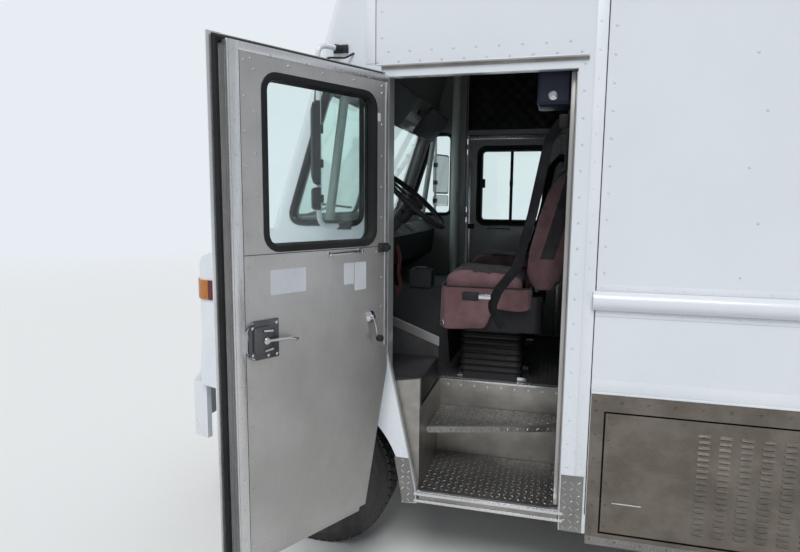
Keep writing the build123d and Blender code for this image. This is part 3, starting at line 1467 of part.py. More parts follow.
with BuildPart() as mirrors:
    with BuildLine() as arm:
        FilletPolyline(
            (HALF_WIDTH + 8, -190, ARM_LOW),
            (MIRROR_TUBE_X, MIRROR_TUBE_Y, ARM_LOW),
            (MIRROR_TUBE_X, MIRROR_TUBE_Y, ARM_HIGH),
            (HALF_WIDTH + 8, -200, ARM_HIGH),
            radius=50,
        )
    with BuildSketch(Plane(origin=arm.line @ 0, z_dir=arm.line % 0)):
        Circle(11)
    sweep(path=arm.line)
    for bracket_y, bracket_z in ((-190, ARM_LOW), (-200, ARM_HIGH)):
        box_between(
            (HALF_WIDTH, bracket_y - 35, bracket_z - 18),
            (HALF_WIDTH + 12, bracket_y + 35, bracket_z + 18),
        )
    turn = radians(MIRROR_TURN)
    facing = Plane(
        origin=(MIRROR_TUBE_X, MIRROR_TUBE_Y, 0),
        x_dir=(cos(turn), sin(turn), 0),
        z_dir=(sin(turn), -cos(turn), 0),
    )
    # columns: middle height, height
    for head_z, head_height in ((2085, 340), (1855, 95)):
        with BuildSketch(facing.offset(-6)):
            with Locations((MIRROR_WIDTH / 2, head_z)):
                RectangleRounded(MIRROR_WIDTH, head_height, 20)
        extrude(amount=40)
        with BuildSketch(facing.offset(-6)):
            with Locations((MIRROR_WIDTH / 2, head_z)):
                RectangleRounded(MIRROR_WIDTH - 16, head_height - 16, 14)
        extrude(amount=5, mode=Mode.SUBTRACT)
    mirror(about=Plane.YZ)
save(mirrors, "mirrors")


# Inside the cab

SEAT_X = HALF_WIDTH - 695
SEAT_HALF = 240.0
CUSHION_LOW = FLOOR_TOP + 490
CUSHION_TOP = CUSHION_LOW + 130

# Steering wheel: where its middle is, and how its axis leans
WHEEL_MIDDLE = Vector(SEAT_X, -20, 1850)
COLUMN_DIR = Vector(0, 0.66, 0.75).normalized()
COLUMN_TOP = WHEEL_MIDDLE - COLUMN_DIR * 45

with BuildPart() as dashboard:
    with BuildSketch(side(70 - INNER_HALF)):
        section(
            (FIREWALL_Y, 1640), (-320, 1695), (-225, 1620), (-250, 1440), (-400, 1330),
            (FIREWALL_Y, 1330),
        )
    extrude(amount=2 * (INNER_HALF - 70))
    # Engine cover between the seats
    with BuildSketch(side(-330)):
        section(
            (TOE_FOOT_Y + 20, FLOOR_TOP), (TOE_FOOT_Y, FLOOR_TOP), (TOE_HEAD_Y, TOE_HEAD_Z),
            (FIREWALL_Y, TOE_HEAD_Z), (FIREWALL_Y, 1330), (TOE_FOOT_Y - 20, 1330),
        )
    extrude(amount=660)
    box_between((-300, FIREWALL_Y - 10, FLOOR_TOP - 10), (300, TOE_FOOT_Y - 30, 1300), Mode.SUBTRACT)
    with BuildSketch(Plane(origin=COLUMN_TOP, z_dir=-COLUMN_DIR)):
        Circle(34)
    extrude(amount=470)
save(dashboard, "dashboard")

with BuildPart() as steering_wheel:
    grip = Plane(origin=WHEEL_MIDDLE, x_dir=(1, 0, 0), z_dir=COLUMN_DIR)
    with BuildSketch(Plane(origin=WHEEL_MIDDLE, x_dir=(1, 0, 0), z_dir=grip.y_dir)):
        with Locations((214, 0)):
            Circle(15)
    revolve(axis=Axis(WHEEL_MIDDLE, COLUMN_DIR))
    with BuildSketch(grip.offset(-45 + RUN_GAP)):
        Circle(52)
    extrude(amount=45)
    with BuildSketch(grip.offset(-12)):
        Rectangle(414, 34)
        with Locations((0, -105)):
            Rectangle(34, 210)
    extrude(amount=12)
save(steering_wheel, "steering_wheel")

with BuildPart() as seat_bases:
    for hand in (1, -1):
        middle = hand * (SEAT_X - 30)
        with BuildSketch(level(FLOOR_TOP)):
            with Locations((middle, 440)):
                RectangleRounded(260, 330, 30)
        extrude(amount=CUSHION_LOW - FLOOR_TOP - 190)
        with BuildSketch(level(CUSHION_LOW - 190)):
            with Locations((hand * SEAT_X, 470)):
                RectangleRounded(400, 480, 40)
        extrude(amount=190 - RUN_GAP)
save(seat_bases, "seat_bases")


def cushion(hand):
    """Seat cushion whose skirt hangs over the base."""
    with BuildSketch(side(hand * SEAT_X - SEAT_HALF)) as outline:
        section(
            (180, CUSHION_LOW), (180, CUSHION_TOP - 20), (640, CUSHION_TOP - 60), (640, CUSHION_LOW)
        )
        fillet(outline.vertices(), 25)
    extrude(outline.sketch, amount=2 * SEAT_HALF)


def seat_back(hand):
    """Seat back, leaning rearward behind the cushion."""
    with BuildSketch(side(hand * SEAT_X - SEAT_HALF)) as outline:
        section((645, CUSHION_LOW), (770, CUSHION_LOW), (900, 2040), (870, 2070), (800, 2060))
    extrude(outline.sketch, amount=2 * SEAT_HALF)


with BuildPart() as driver_seat_cushion:
    cushion(1)
save(driver_seat_cushion, "driver_seat_cushion")

with BuildPart() as driver_seat_back:
    seat_back(1)
save(driver_seat_back, "driver_seat_back")

with BuildPart() as passenger_seat:
    cushion(-1)
    seat_back(-1)
save(passenger_seat, "passenger_seat")


# Kitchen: a cooking line under a hood on the driver's side, a counter under the serving opening

COOK_TOP = 1770.0
COOK_DEPTH = 590.0
COUNTER_DEPTH = 450.0
KITCHEN_REAR = BODY_REAR - 750

with BuildPart() as kitchen_units:
    box_between(
        (INNER_HALF - COOK_DEPTH, LOCKER_FRONT + 30, LOCKER_BOX_TOP),
        (INNER_HALF, LOCKER_REAR - 20, COOK_TOP),
    )
    box_between(
        (INNER_HALF - COOK_DEPTH, LOCKER_REAR - 20, FLOOR_TOP), (INNER_HALF, KITCHEN_REAR, COOK_TOP)
    )
    box_between(
        (-INNER_HALF, 1450, FLOOR_TOP), (COUNTER_DEPTH - INNER_HALF, KITCHEN_REAR, SERVE_LOW - 40)
    )
    with BuildSketch(station(2300)):
        section(
            (INNER_HALF, 2250), (INNER_HALF, 2800), (INNER_HALF - 400, 2800),
            (INNER_HALF - 700, 2400), (INNER_HALF - 700, 2250),
        )
    extrude(amount=-2200)
save(kitchen_units, "kitchen_units")
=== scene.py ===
"""Looks of a walk-in-van food truck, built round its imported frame.

Sizes are metres in the van's own lines: x = 0 on the centre line and +x towards the driver's side,
y = 0 at the front edge of the cab doorways and +y rearward, z = 0 on the ground.
"""

import logging
import math
from contextlib import contextmanager
from dataclasses import dataclass, field
from enum import Enum
from typing import Iterable, Iterator, Sequence

import bmesh
import bpy
from mathutils import Matrix, Vector

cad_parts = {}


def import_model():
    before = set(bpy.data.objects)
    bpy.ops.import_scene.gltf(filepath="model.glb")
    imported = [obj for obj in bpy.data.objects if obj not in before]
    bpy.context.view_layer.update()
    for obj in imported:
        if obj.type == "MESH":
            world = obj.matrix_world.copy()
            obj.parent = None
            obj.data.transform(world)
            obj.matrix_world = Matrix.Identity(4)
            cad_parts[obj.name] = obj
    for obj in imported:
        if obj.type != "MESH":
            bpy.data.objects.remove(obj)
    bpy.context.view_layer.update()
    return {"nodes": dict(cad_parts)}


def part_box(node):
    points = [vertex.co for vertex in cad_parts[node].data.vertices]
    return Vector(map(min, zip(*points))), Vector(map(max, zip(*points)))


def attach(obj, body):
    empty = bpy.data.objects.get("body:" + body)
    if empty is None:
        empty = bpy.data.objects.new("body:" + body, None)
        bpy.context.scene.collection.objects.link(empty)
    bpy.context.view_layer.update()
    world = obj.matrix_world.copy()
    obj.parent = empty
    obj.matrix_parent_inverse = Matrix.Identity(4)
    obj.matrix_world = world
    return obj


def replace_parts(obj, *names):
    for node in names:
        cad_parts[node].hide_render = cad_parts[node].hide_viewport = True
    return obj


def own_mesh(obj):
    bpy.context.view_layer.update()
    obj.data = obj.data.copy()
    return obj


LOG = logging.getLogger("food_truck")
Point = Sequence[float]
Flat = tuple[float, float]
Colour = tuple[float, float, float]

# The open driver's door: its hinge line's foot, the way along it and its outward way
DOOR_HINGE = (1.206, 0.008, 0.0)
DOOR_ALONG = (0.88295, -0.46947, 0.0)
DOOR_OUTWARD = (-0.46947, -0.88295, 0.0)
# The body's rear face, half its width over and inside the walls, and the roof's edge and top
BODY_REAR = 5.95
HALF = 1.195
INNER = 1.150
ROOF_EDGE = 2.925
ROOF_TOP = 2.98
# The cab's raked face: a point on it, and how far it leans rearward for each metre up
FACE_Y = -0.574
FACE_Z = 1.710
FACE_SLOPE = 0.324
# How deep a fitting is let into the surface that it stands on
SUNK = 0.001
# Share of a box's size that its eased edges may take, and the longest mitre that a corner gets
MOST_EASE = 0.45
MITRE_LIMIT = 0.4
# A rivet head: its radius and height, the share of both at its brow, and how deep it is let in
RIVET_RADIUS = 0.0065
RIVET_HEIGHT = 0.0034
RIVET_BROW = 0.72
RIVET_SUNK = 0.0006
BODY = "truck_body"


class Line(Enum):
    """Direction that a brushed or rolled metal's lines run in."""

    ALONG = (330.0, 5.0, 330.0)
    UP = (330.0, 330.0, 5.0)
    NONE = (1.0, 1.0, 1.0)


# Placing


def place(origin: Point, x_dir: Point = (1, 0, 0), z_dir: Point = (0, 0, 1)) -> Matrix:
    """Make a local frame in the van's lines.

    Args:
        origin: where the frame lies.
        x_dir: its local x.
        z_dir: its local z, away from the surface that it describes.

    Returns:
        The matrix from the local frame to the van's lines.
    """
    z = Vector(z_dir).normalized()
    x = Vector(x_dir)
    x = (x - z * x.dot(z)).normalized()
    turned = Matrix((x, z.cross(x), z)).transposed().to_4x4()
    turned.translation = Vector(origin)
    return turned


def side_place(hand: int, x: float = HALF) -> Matrix:
    """Frame on a side wall: local x rearward on the driver's side, local z outward."""
    return place((hand * x, 0.0, 0.0), (0, hand, 0), (hand, 0, 0))


def side_name(hand: int) -> str:
    """Return the side's name for the names of its pieces."""
    return "driver" if hand > 0 else "kerb"


def turns(count: int) -> list[float]:
    """Return angles evenly spaced round a full turn."""
    return [math.tau * k / count for k in range(count)]


def rounded(width: float, height: float, radius: float, steps: int = 5) -> list[Flat]:
    """Return a rounded rectangle about the origin, as points in order.

    Args:
        width: size along local x.
        height: size along local y.
        radius: corner radius.
        steps: points in each corner, less one.

    Returns:
        The outline's points, anticlockwise.
    """
    points: list[Flat] = []
    for quarter, (sx, sy) in enumerate(((1, 1), (-1, 1), (-1, -1), (1, -1))):
        cx, cy = sx * (width / 2 - radius), sy * (height / 2 - radius)
        for step in range(steps + 1):
            turn = math.pi / 2 * (quarter + step / steps)
            points.append((cx + radius * math.cos(turn), cy + radius * math.sin(turn)))
    return points


def moved(points: Iterable[Flat], dx: float, dy: float) -> list[Flat]:
    """Shift an outline."""
    return [(x + dx, y + dy) for x, y in points]


def curved(points: Sequence[Point], radius: float, steps: int = 6) -> list[Vector]:
    """Round the inner corners of a run of points.

    Args:
        points: the run's corners.
        radius: bend radius at each inner corner.
        steps: points in each bend, less one.

    Returns:
        The rounded run.
    """
    run = [Vector(p) for p in points]
    made = [run[0]]
    for before, corner, after in zip(run, run[1:], run[2:]):
        back, ahead = (before - corner).normalized(), (after - corner).normalized()
        half_turn = back.angle(ahead) / 2
        reach = min(
            radius / math.tan(half_turn), (before - corner).length / 2, (after - corner).length / 2
        )
        start, end = corner + back * reach, corner + ahead * reach
        for step in range(steps + 1):
            t = step / steps
            made.append(start * (1 - t) ** 2 + corner * 2 * t * (1 - t) + end * t**2)
    made.append(run[-1])
    return made


def mitres(path: Sequence[Flat], closed: bool = True) -> list[Flat]:
    """Return the outward mitre at each point of a flat path.

    Args:
        path: the points, anticlockwise where the path is closed.
        closed: whether the path closes on itself.

    Returns:
        For each point, the step that moves both of its edges out by one.
    """
    count = len(path)
    made = []
    for i in range(count):
        here = Vector(path[i])
        before = Vector(path[i - 1]) if (i or closed) else None
        after = Vector(path[(i + 1) % count]) if (i < count - 1 or closed) else None
        normals = []
        for a, b in ((before, here), (here, after)):
            if a is not None and b is not None and (b - a).length > 1e-9:
                way = (b - a).normalized()
                normals.append(Vector((way.y, -way.x)))
        if len(normals) == 2:
            total = normals[0] + normals[1]
            scale = 2 / max(total.length_squared, MITRE_LIMIT)
            made.append((total.x * scale, total.y * scale))
        else:
            made.append((normals[0].x, normals[0].y))
    return made


# Forms

RIVET_RIM = [(math.cos(t), math.sin(t)) for t in turns(8)]


class Form:
    """A mesh in the making, in the van's lines."""

    origin = Vector((0, 0, 0))

    def __init__(self, at: Matrix | None = None, turn: int = 1) -> None:
        """Start an empty form.

        Args:
            at: the local frame that places it.
            turn: -1 where its local x is turned round, otherwise 1.
        """
        self.mesh = bmesh.new()
        self.at = at or Matrix.Identity(4)
        self.turn = turn

    @contextmanager
    def shifted(self, spot: Point) -> Iterator[None]:
        """Work about another point of the local frame for a while.

        Args:
            spot: that point.

        Yields:
            Nothing.
        """
        kept = self.at
        self.at = kept @ Matrix.Translation((spot[0] * self.turn, spot[1], spot[2]))
        yield
        self.at = kept

    def vert(self, point: Point) -> bmesh.types.BMVert:
        """Add one point of the local frame."""
        return self.mesh.verts.new(self.at @ Vector((point[0] * self.turn, point[1], point[2])))

    def skin(self, rings: Sequence[Sequence[Point]], closed: bool = True, caps: bool = True,
             loop: bool = False) -> None:
        """Join rings of points with quads.

        Args:
            rings: rings with as many points each.
            closed: whether each ring closes on itself.
            caps: whether the first and last rings are filled.
            loop: whether the last ring joins the first.
        """
        rows = [[self.vert(p) for p in ring] for ring in rings]
        pairs = list(zip(rows, rows[1:])) + ([(rows[-1], rows[0])] if loop else [])
        count = len(rows[0])
        for low, high in pairs:
            for i in range(count if closed else count - 1):
                j = (i + 1) % count
                self.mesh.faces.new((low[i], low[j], high[j], high[i]))
        if caps and closed and not loop:
            self.mesh.faces.new(rows[0][::-1])
            self.mesh.faces.new(rows[-1])

    def prism(self, outline: Sequence[Flat], low: float, high: float, soft: float = 0.0) -> None:
        """Extrude an outline of the local plane.

        Args:
            outline: its points, anticlockwise.
            low: where it starts, up from the plane.
            high: where it ends.
            soft: how far its end edges are eased.
        """
        if not soft:
            self.skin([[(x, y, z) for x, y in outline] for z in (low, high)])
            return
        lean = mitres(outline)
        knee = soft * 0.3
        rings = []
        for inset, z in ((soft, low), (knee, low + knee), (0, low + soft), (0, high - soft),
                         (knee, high - knee), (soft, high)):
            rings.append([(x - n[0] * inset, y - n[1] * inset, z)
                          for (x, y), n in zip(outline, lean)])
        self.skin(rings)

    def box(self, low: Point, high: Point, soft: float = 0.0) -> None:
        """Add a box between two corners.

        Args:
            low: the corner with the smallest coordinates.
            high: the corner across from it.
            soft: how far all edges are eased.
        """
        soft = min([soft] + [(h - l) * MOST_EASE for l, h in zip(low, high)])
        width, height = high[0] - low[0], high[1] - low[1]
        middle = ((low[0] + high[0]) / 2, (low[1] + high[1]) / 2)
        if soft > 0:
            outline = moved(rounded(width, height, soft, 2), *middle)
        else:
            outline = moved([(width / 2, height / 2), (-width / 2, height / 2),
                             (-width / 2, -height / 2), (width / 2, -height / 2)], *middle)
        self.prism(outline, low[2], high[2], soft)

    def bead(self, path: Sequence[Flat], section: Sequence[Flat], closed: bool = True) -> None:
        """Run a section round a path in the local plane, mitred at its corners.

        Args:
            path: points in the local plane.
            section: points as (outward from the path, up from the plane).
            closed: whether the path closes on itself.
        """
        lean = mitres(path, closed)
        self.skin(
            [[(x + n[0] * out, y + n[1] * out, up) for out, up in section]
             for (x, y), n in zip(path, lean)],
            loop=closed,
        )

    def tube(self, path: Sequence[Point], radius: float, sides: int = 10, loop: bool = False,
             squash: float = 1.0) -> None:
        """Run a round section along a path.

        Args:
            path: points of the path.
            radius: section radius.
            sides: points round the section.
            loop: whether the path closes on itself.
            squash: share of the radius in the section's second direction.
        """
        run = [Vector(p) for p in path]
        count = len(run)
        ahead = []
        for i in range(count):
            before = run[i - 1] if (i or loop) else run[0]
            after = run[(i + 1) % count] if (i < count - 1 or loop) else run[-1]
            ahead.append((after - before).normalized())
        across = ahead[0].orthogonal().normalized()
        rings = []
        for point, way in zip(run, ahead):
            across = (across - way * across.dot(way)).normalized()
            other = way.cross(across)
            rings.append([
                point + across * (radius * math.cos(t)) + other * (radius * squash * math.sin(t))
                for t in turns(sides)
            ])
        self.skin(rings, loop=loop)

    def handle(self, start: Flat, end: Flat, low: float, high: float, bend: float,
               radius: float) -> None:
        """Add a bar handle that stands up from the plane at both ends.

        Args:
            start: its first foot.
            end: its second foot.
            low: where its feet start, up from the plane.
            high: the height of its bar.
            bend: bend radius.
            radius: section radius.
        """
        path = curved([(*start, low), (*start, high), (*end, high), (*end, low)], bend)
        self.tube(path, radius, 10)

    def lathe(self, profile: Sequence[Flat], steps: int = 24) -> None:
        """Turn a profile about the local z and close its ends.

        Args:
            profile: points as (radius, height).
            steps: points round the turn.
        """
        rings = []
        for radius, height in profile:
            rings.append([(max(radius, 1e-4) * math.cos(t), max(radius, 1e-4) * math.sin(t), height)
                          for t in turns(steps)])
        self.skin(rings)

    def lathe_at(self, spot: Point, profile: Sequence[Flat], steps: int = 24) -> None:
        """Turn a profile about a line through a point, along the local z."""
        with self.shifted(spot):
            self.lathe(profile, steps)

    def lathe_loop(self, section: Sequence[Flat], steps: int) -> None:
        """Turn a closed section of (radius, height) about the local z."""
        rings = [[(r * math.cos(t), r * math.sin(t), h) for r, h in section] for t in turns(steps)]
        self.skin(rings, loop=True)

    def dome(self, x: float, y: float, radius: float = RIVET_RADIUS) -> None:
        """Add a rivet head on the local plane.

        Args:
            x: its local x.
            y: its local y.
            radius: its radius.
        """
        foot = [self.vert((x + radius * c, y + radius * s, -RIVET_SUNK)) for c, s in RIVET_RIM]
        brow = [self.vert((x + radius * RIVET_BROW * c, y + radius * RIVET_BROW * s,
                           RIVET_HEIGHT * RIVET_BROW)) for c, s in RIVET_RIM]
        crown = self.vert((x, y, RIVET_HEIGHT))
        for i in range(len(RIVET_RIM)):
            j = (i + 1) % len(RIVET_RIM)
            self.mesh.faces.new((foot[i], foot[j], brow[j], brow[i]))
            self.mesh.faces.new((brow[i], brow[j], crown))

    def rivets(self, start: Flat, end: Flat, pitch: float, stagger: float = 0.0,
               radius: float = RIVET_RADIUS) -> None:
        """Add a row of rivet heads.

        Args:
            start: where the row starts.
            end: where it ends.
            pitch: spacing of the heads, as nearly as the row allows.
            stagger: how far every other head is moved aside.
            radius: radius of a head.
        """
        run = Vector(end) - Vector(start)
        count = max(1, round(run.length / pitch))
        side = Vector((-run.y, run.x)).normalized() * stagger
        for k in range(count + 1):
            spot = Vector(start) + run * (k / count) + side * (k % 2)
            self.dome(spot.x, spot.y, radius)

    def rivet_rows(self, rows: Iterable[Sequence[float]], pitch: float) -> None:
        """Add straight rows of rivet heads, each from (x, y) to (x, y)."""
        for x0, y0, x1, y1 in rows:
            self.rivets((x0, y0), (x1, y1), pitch)

    def screw(self, x: float, y: float, radius: float, height: float = 0.004) -> None:
        """Add a hexagon screw head on the local plane.

        Args:
            x: its local x.
            y: its local y.
            radius: its radius over the corners.
            height: its height.
        """
        ring = [(x + radius * math.cos(t), y + radius * math.sin(t)) for t in turns(6)]
        self.prism(ring, -SUNK, height, radius * 0.12)

    def piece(self, name: str, body: str, finish: "Finish",
              angle: float = 35.0) -> bpy.types.Object:
        """Turn the form into a piece that rides on a body.

        Args:
            name: the piece's name.
            body: the body that it rides on.
            finish: what it wears.
            angle: edges sharper than this stay sharp, in degrees.

        Returns:
            The new object.
        """
        bmesh.ops.recalc_face_normals(self.mesh, faces=self.mesh.faces)
        data = bpy.data.meshes.new(name)
        self.mesh.to_mesh(data)
        self.mesh.free()
        data.transform(Matrix.Translation(-Form.origin))
        data.shade_smooth()
        data.set_sharp_from_angle(angle=math.radians(angle))
        made = bpy.data.objects.new(name, data)
        bpy.context.scene.collection.objects.link(made)
        data.materials.append(finish.material())
        # Faces marked 1 are tread bars, and they take the bars' painted highlight
        if any(face.material_index for face in data.polygons):
            data.materials.append(Wear.TREAD.material())
        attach(made, body)
        LOG.info("%s: %d faces on %s", name, len(data.polygons), body)
        return made


def side_form(hand: int, x: float = HALF) -> Form:
    """Start a form on a side wall, its x rearward and its z outward."""
    return Form(side_place(hand, x), hand)


# Finishes


class Graph:
    """A node tree being wired up."""

    def __init__(self, tree: bpy.types.NodeTree) -> None:
        """Work on a tree."""
        self.tree = tree

    def node(self, kind: str, settings: dict | None = None, **inputs: object) -> bpy.types.Node:
        """Add a node.

        Args:
            kind: its type, such as "ShaderNodeMath".
            settings: properties of the node.
            inputs: values or sockets for its inputs, spaces in their names as underscores.

        Returns:
            The node.
        """
        made = self.tree.nodes.new(kind)
        for name, value in (settings or {}).items():
            setattr(made, name, value)
        for name, value in inputs.items():
            self.feed(made.inputs[name.replace("_", " ")], value)
        return made

    def feed(self, into: bpy.types.NodeSocket, value: object) -> None:
        """Fill an input socket.

        Args:
            into: the socket.
            value: its value, or another socket to link to it.
        """
        if isinstance(value, bpy.types.NodeSocket):
            self.tree.links.new(value, into)
        elif isinstance(value, tuple) and len(value) == 3 and into.type == "RGBA":
            into.default_value = (*value, 1.0)
        else:
            into.default_value = value

    def work(self, kind: str, settings: dict, *values: object) -> bpy.types.Node:
        """Add a node and fill its inputs in order.

        Args:
            kind: its type.
            settings: properties of the node.
            values: values or sockets for its first inputs.

        Returns:
            The node.
        """
        made = self.node(kind, settings)
        for into, value in zip(made.inputs, values):
            self.feed(into, value)
        return made

    def math(self, work: str, *values: object) -> bpy.types.NodeSocket:
        """Add a math node and return its output."""
        return self.work("ShaderNodeMath", {"operation": work}, *values).outputs[0]

    def vector(self, work: str, *values: object) -> bpy.types.NodeSocket:
        """Add a vector math node and return its vector output."""
        return self.work("ShaderNodeVectorMath", {"operation": work}, *values).outputs[0]

    def mix(self, share: object, first: object, second: object) -> bpy.types.NodeSocket:
        """Mix two colours.

        Args:
            share: the second colour's share.
            first: the first colour.
            second: the second colour.

        Returns:
            The mixed colour.
        """
        made = self.node("ShaderNodeMix", {"data_type": "RGBA"})
        for index, value in ((0, share), (6, first), (7, second)):
            self.feed(made.inputs[index], value)
        return made.outputs[2]

    def ramp(self, value: object, low: float, high: float, to_low: float = 0.0,
             to_high: float = 1.0) -> bpy.types.NodeSocket:
        """Map a range of values smoothly onto another and return the result."""
        return self.work("ShaderNodeMapRange", {"interpolation_type": "SMOOTHSTEP"}, value, low,
                         high, to_low, to_high).outputs[0]

    def noise(self, spot: object, scale: object, detail: float = 3.0,
              rough: float = 0.55) -> bpy.types.NodeSocket:
        """Add a noise texture and return its value."""
        return self.node("ShaderNodeTexNoise", None, Vector=spot, Scale=scale, Detail=detail,
                         Roughness=rough).outputs[0]

    def split(self, vector: object) -> bpy.types.NodeOutputs:
        """Return the x, y and z outputs of a vector's split."""
        return self.node("ShaderNodeSeparateXYZ", None, Vector=vector).outputs

    def shared(self, effect: str, **inputs: object) -> bpy.types.NodeOutputs:
        """Place a shared effect and return its outputs."""
        return self.node("ShaderNodeGroup", {"node_tree": Effect.made[effect]}, **inputs).outputs

    def bump(self, shader: bpy.types.Node, distance: float, height: object) -> None:
        """Feed a shader's normal from a bump of some height."""
        made = self.node("ShaderNodeBump", None, Strength=1.0, Distance=distance, Height=height)
        self.feed(shader.inputs["Normal"], made.outputs[0])

    def set(self, shader: bpy.types.Node, **values: object) -> None:
        """Fill a shader's inputs, spaces in their names as underscores."""
        for name, value in values.items():
            self.feed(shader.inputs[name.replace("_", " ")], value)


class Effect(Graph):
    """A shader node group that several finishes share."""

    made: dict[str, bpy.types.NodeTree] = {}

    def __init__(self, name: str, inputs: dict[str, object], outputs: dict[str, str]) -> None:
        """Start the group with its named sockets.

        Args:
            name: the group's name.
            inputs: default value of each input.
            outputs: socket type of each output.
        """
        tree = bpy.data.node_groups.new(name, "ShaderNodeTree")
        for label, value in inputs.items():
            kind = "NodeSocketFloat"
            if isinstance(value, tuple):
                kind = "NodeSocketColor" if len(value) == 4 else "NodeSocketVector"
            socket = tree.interface.new_socket(name=label, in_out="INPUT", socket_type=kind)
            socket.default_value = value
        for label, kind in outputs.items():
            tree.interface.new_socket(name=label, in_out="OUTPUT", socket_type=kind)
        super().__init__(tree)
        self.given = tree.nodes.new("NodeGroupInput").outputs
        self.result = tree.nodes.new("NodeGroupOutput").inputs
        Effect.made[name] = tree


def make_grain() -> None:
    """Build the lines and blotches that metals, paints and plastics share."""
    grain = Effect(
        "grain",
        {"Vector": (0.0, 0.0, 0.0), "Stretch": (1.0, 1.0, 1.0), "Scale": 40.0, "Blotch Scale": 2.0},
        {"Lines": "NodeSocketFloat", "Blotch": "NodeSocketFloat", "Height": "NodeSocketFloat"},
    )
    spot = grain.vector("MULTIPLY", grain.given["Vector"], grain.given["Stretch"])
    lines = grain.noise(spot, grain.given["Scale"], 4.0, 0.6)
    fine = grain.noise(spot, grain.math("MULTIPLY", grain.given["Scale"], 3.7), 2.0, 0.5)
    blotch = grain.noise(grain.given["Vector"], grain.given["Blotch Scale"], 4.0, 0.6)
    grain.feed(grain.result["Lines"], grain.ramp(lines, 0.3, 0.7))
    grain.feed(grain.result["Blotch"], grain.ramp(blotch, 0.35, 0.68))
    grain.feed(grain.result["Height"], grain.math("ADD", lines, grain.math("MULTIPLY", fine, 0.5)))


def make_grime() -> None:
    """Build the road dirt that thins out with height."""
    grime = Effect(
        "grime",
        {"Vector": (0.0, 0.0, 0.0), "Color": (0.8, 0.8, 0.8, 1.0), "Dirt": (0.2, 0.17, 0.14, 1.0),
         "Reach": 0.9, "Amount": 0.5},
        {"Color": "NodeSocketColor", "Mask": "NodeSocketFloat"},
    )
    part = grime.split(grime.given["Vector"])
    low = grime.math("SUBTRACT", 1.0, grime.math("DIVIDE", part[2], grime.given["Reach"]))
    runs = grime.noise(grime.vector("MULTIPLY", grime.given["Vector"], (14.0, 14.0, 1.6)), 1.0, 4.0)
    spatter = grime.noise(grime.given["Vector"], 75.0, 2.0)
    worn = grime.math("MULTIPLY", grime.ramp(low, 0.0, 1.0), grime.ramp(runs, 0.25, 0.75))
    film = grime.math("MULTIPLY", grime.ramp(spatter, 0.5, 0.75), grime.ramp(low, -0.3, 0.6))
    mask = grime.math("MULTIPLY", grime.math("ADD", worn, grime.math("MULTIPLY", film, 0.5)),
                      grime.given["Amount"])
    grime.feed(grime.result["Mask"], mask)
    grime.feed(grime.result["Color"], grime.mix(mask, grime.given["Color"], grime.given["Dirt"]))


def make_weave() -> None:
    """Build the threads and worn tones that cloths share."""
    weave = Effect(
        "weave",
        {"Vector": (0.0, 0.0, 0.0), "Scale": 700.0},
        {"Height": "NodeSocketFloat", "Shade": "NodeSocketFloat"},
    )
    thread = weave.vector("SCALE", weave.given["Vector"])
    weave.feed(thread.node.inputs["Scale"], weave.given["Scale"])
    axes = weave.split(thread)
    warp = weave.math("SINE", axes[0])
    weft = weave.math("SINE", weave.math("ADD", axes[1], axes[2]))
    cross = weave.math("MULTIPLY", warp, weft)
    weave.feed(weave.result["Height"], weave.ramp(cross, -1.0, 1.0))
    tone = weave.noise(weave.given["Vector"], 9.0, 4.0)
    weave.feed(weave.result["Shade"], weave.ramp(tone, 0.3, 0.7))


class Finish:
    """What a piece wears: a material made once, on first use."""

    slot: str
    name: str
    kept: dict[str, bpy.types.Material] = {}

    def wire(self, graph: Graph, shader: bpy.types.Node) -> None:
        """Wire the finish's colours and relief into its shader."""
        raise NotImplementedError

    def material(self) -> bpy.types.Material:
        """Make the finish's material, on first use only.

        Returns:
            The material.
        """
        label = self.name or self.slot
        if label not in Finish.kept:
            made = bpy.data.materials.new(label)
            made.use_nodes = True
            self.wire(Graph(made.node_tree), made.node_tree.nodes["Principled BSDF"])
            Finish.kept[label] = made
        return Finish.kept[label]


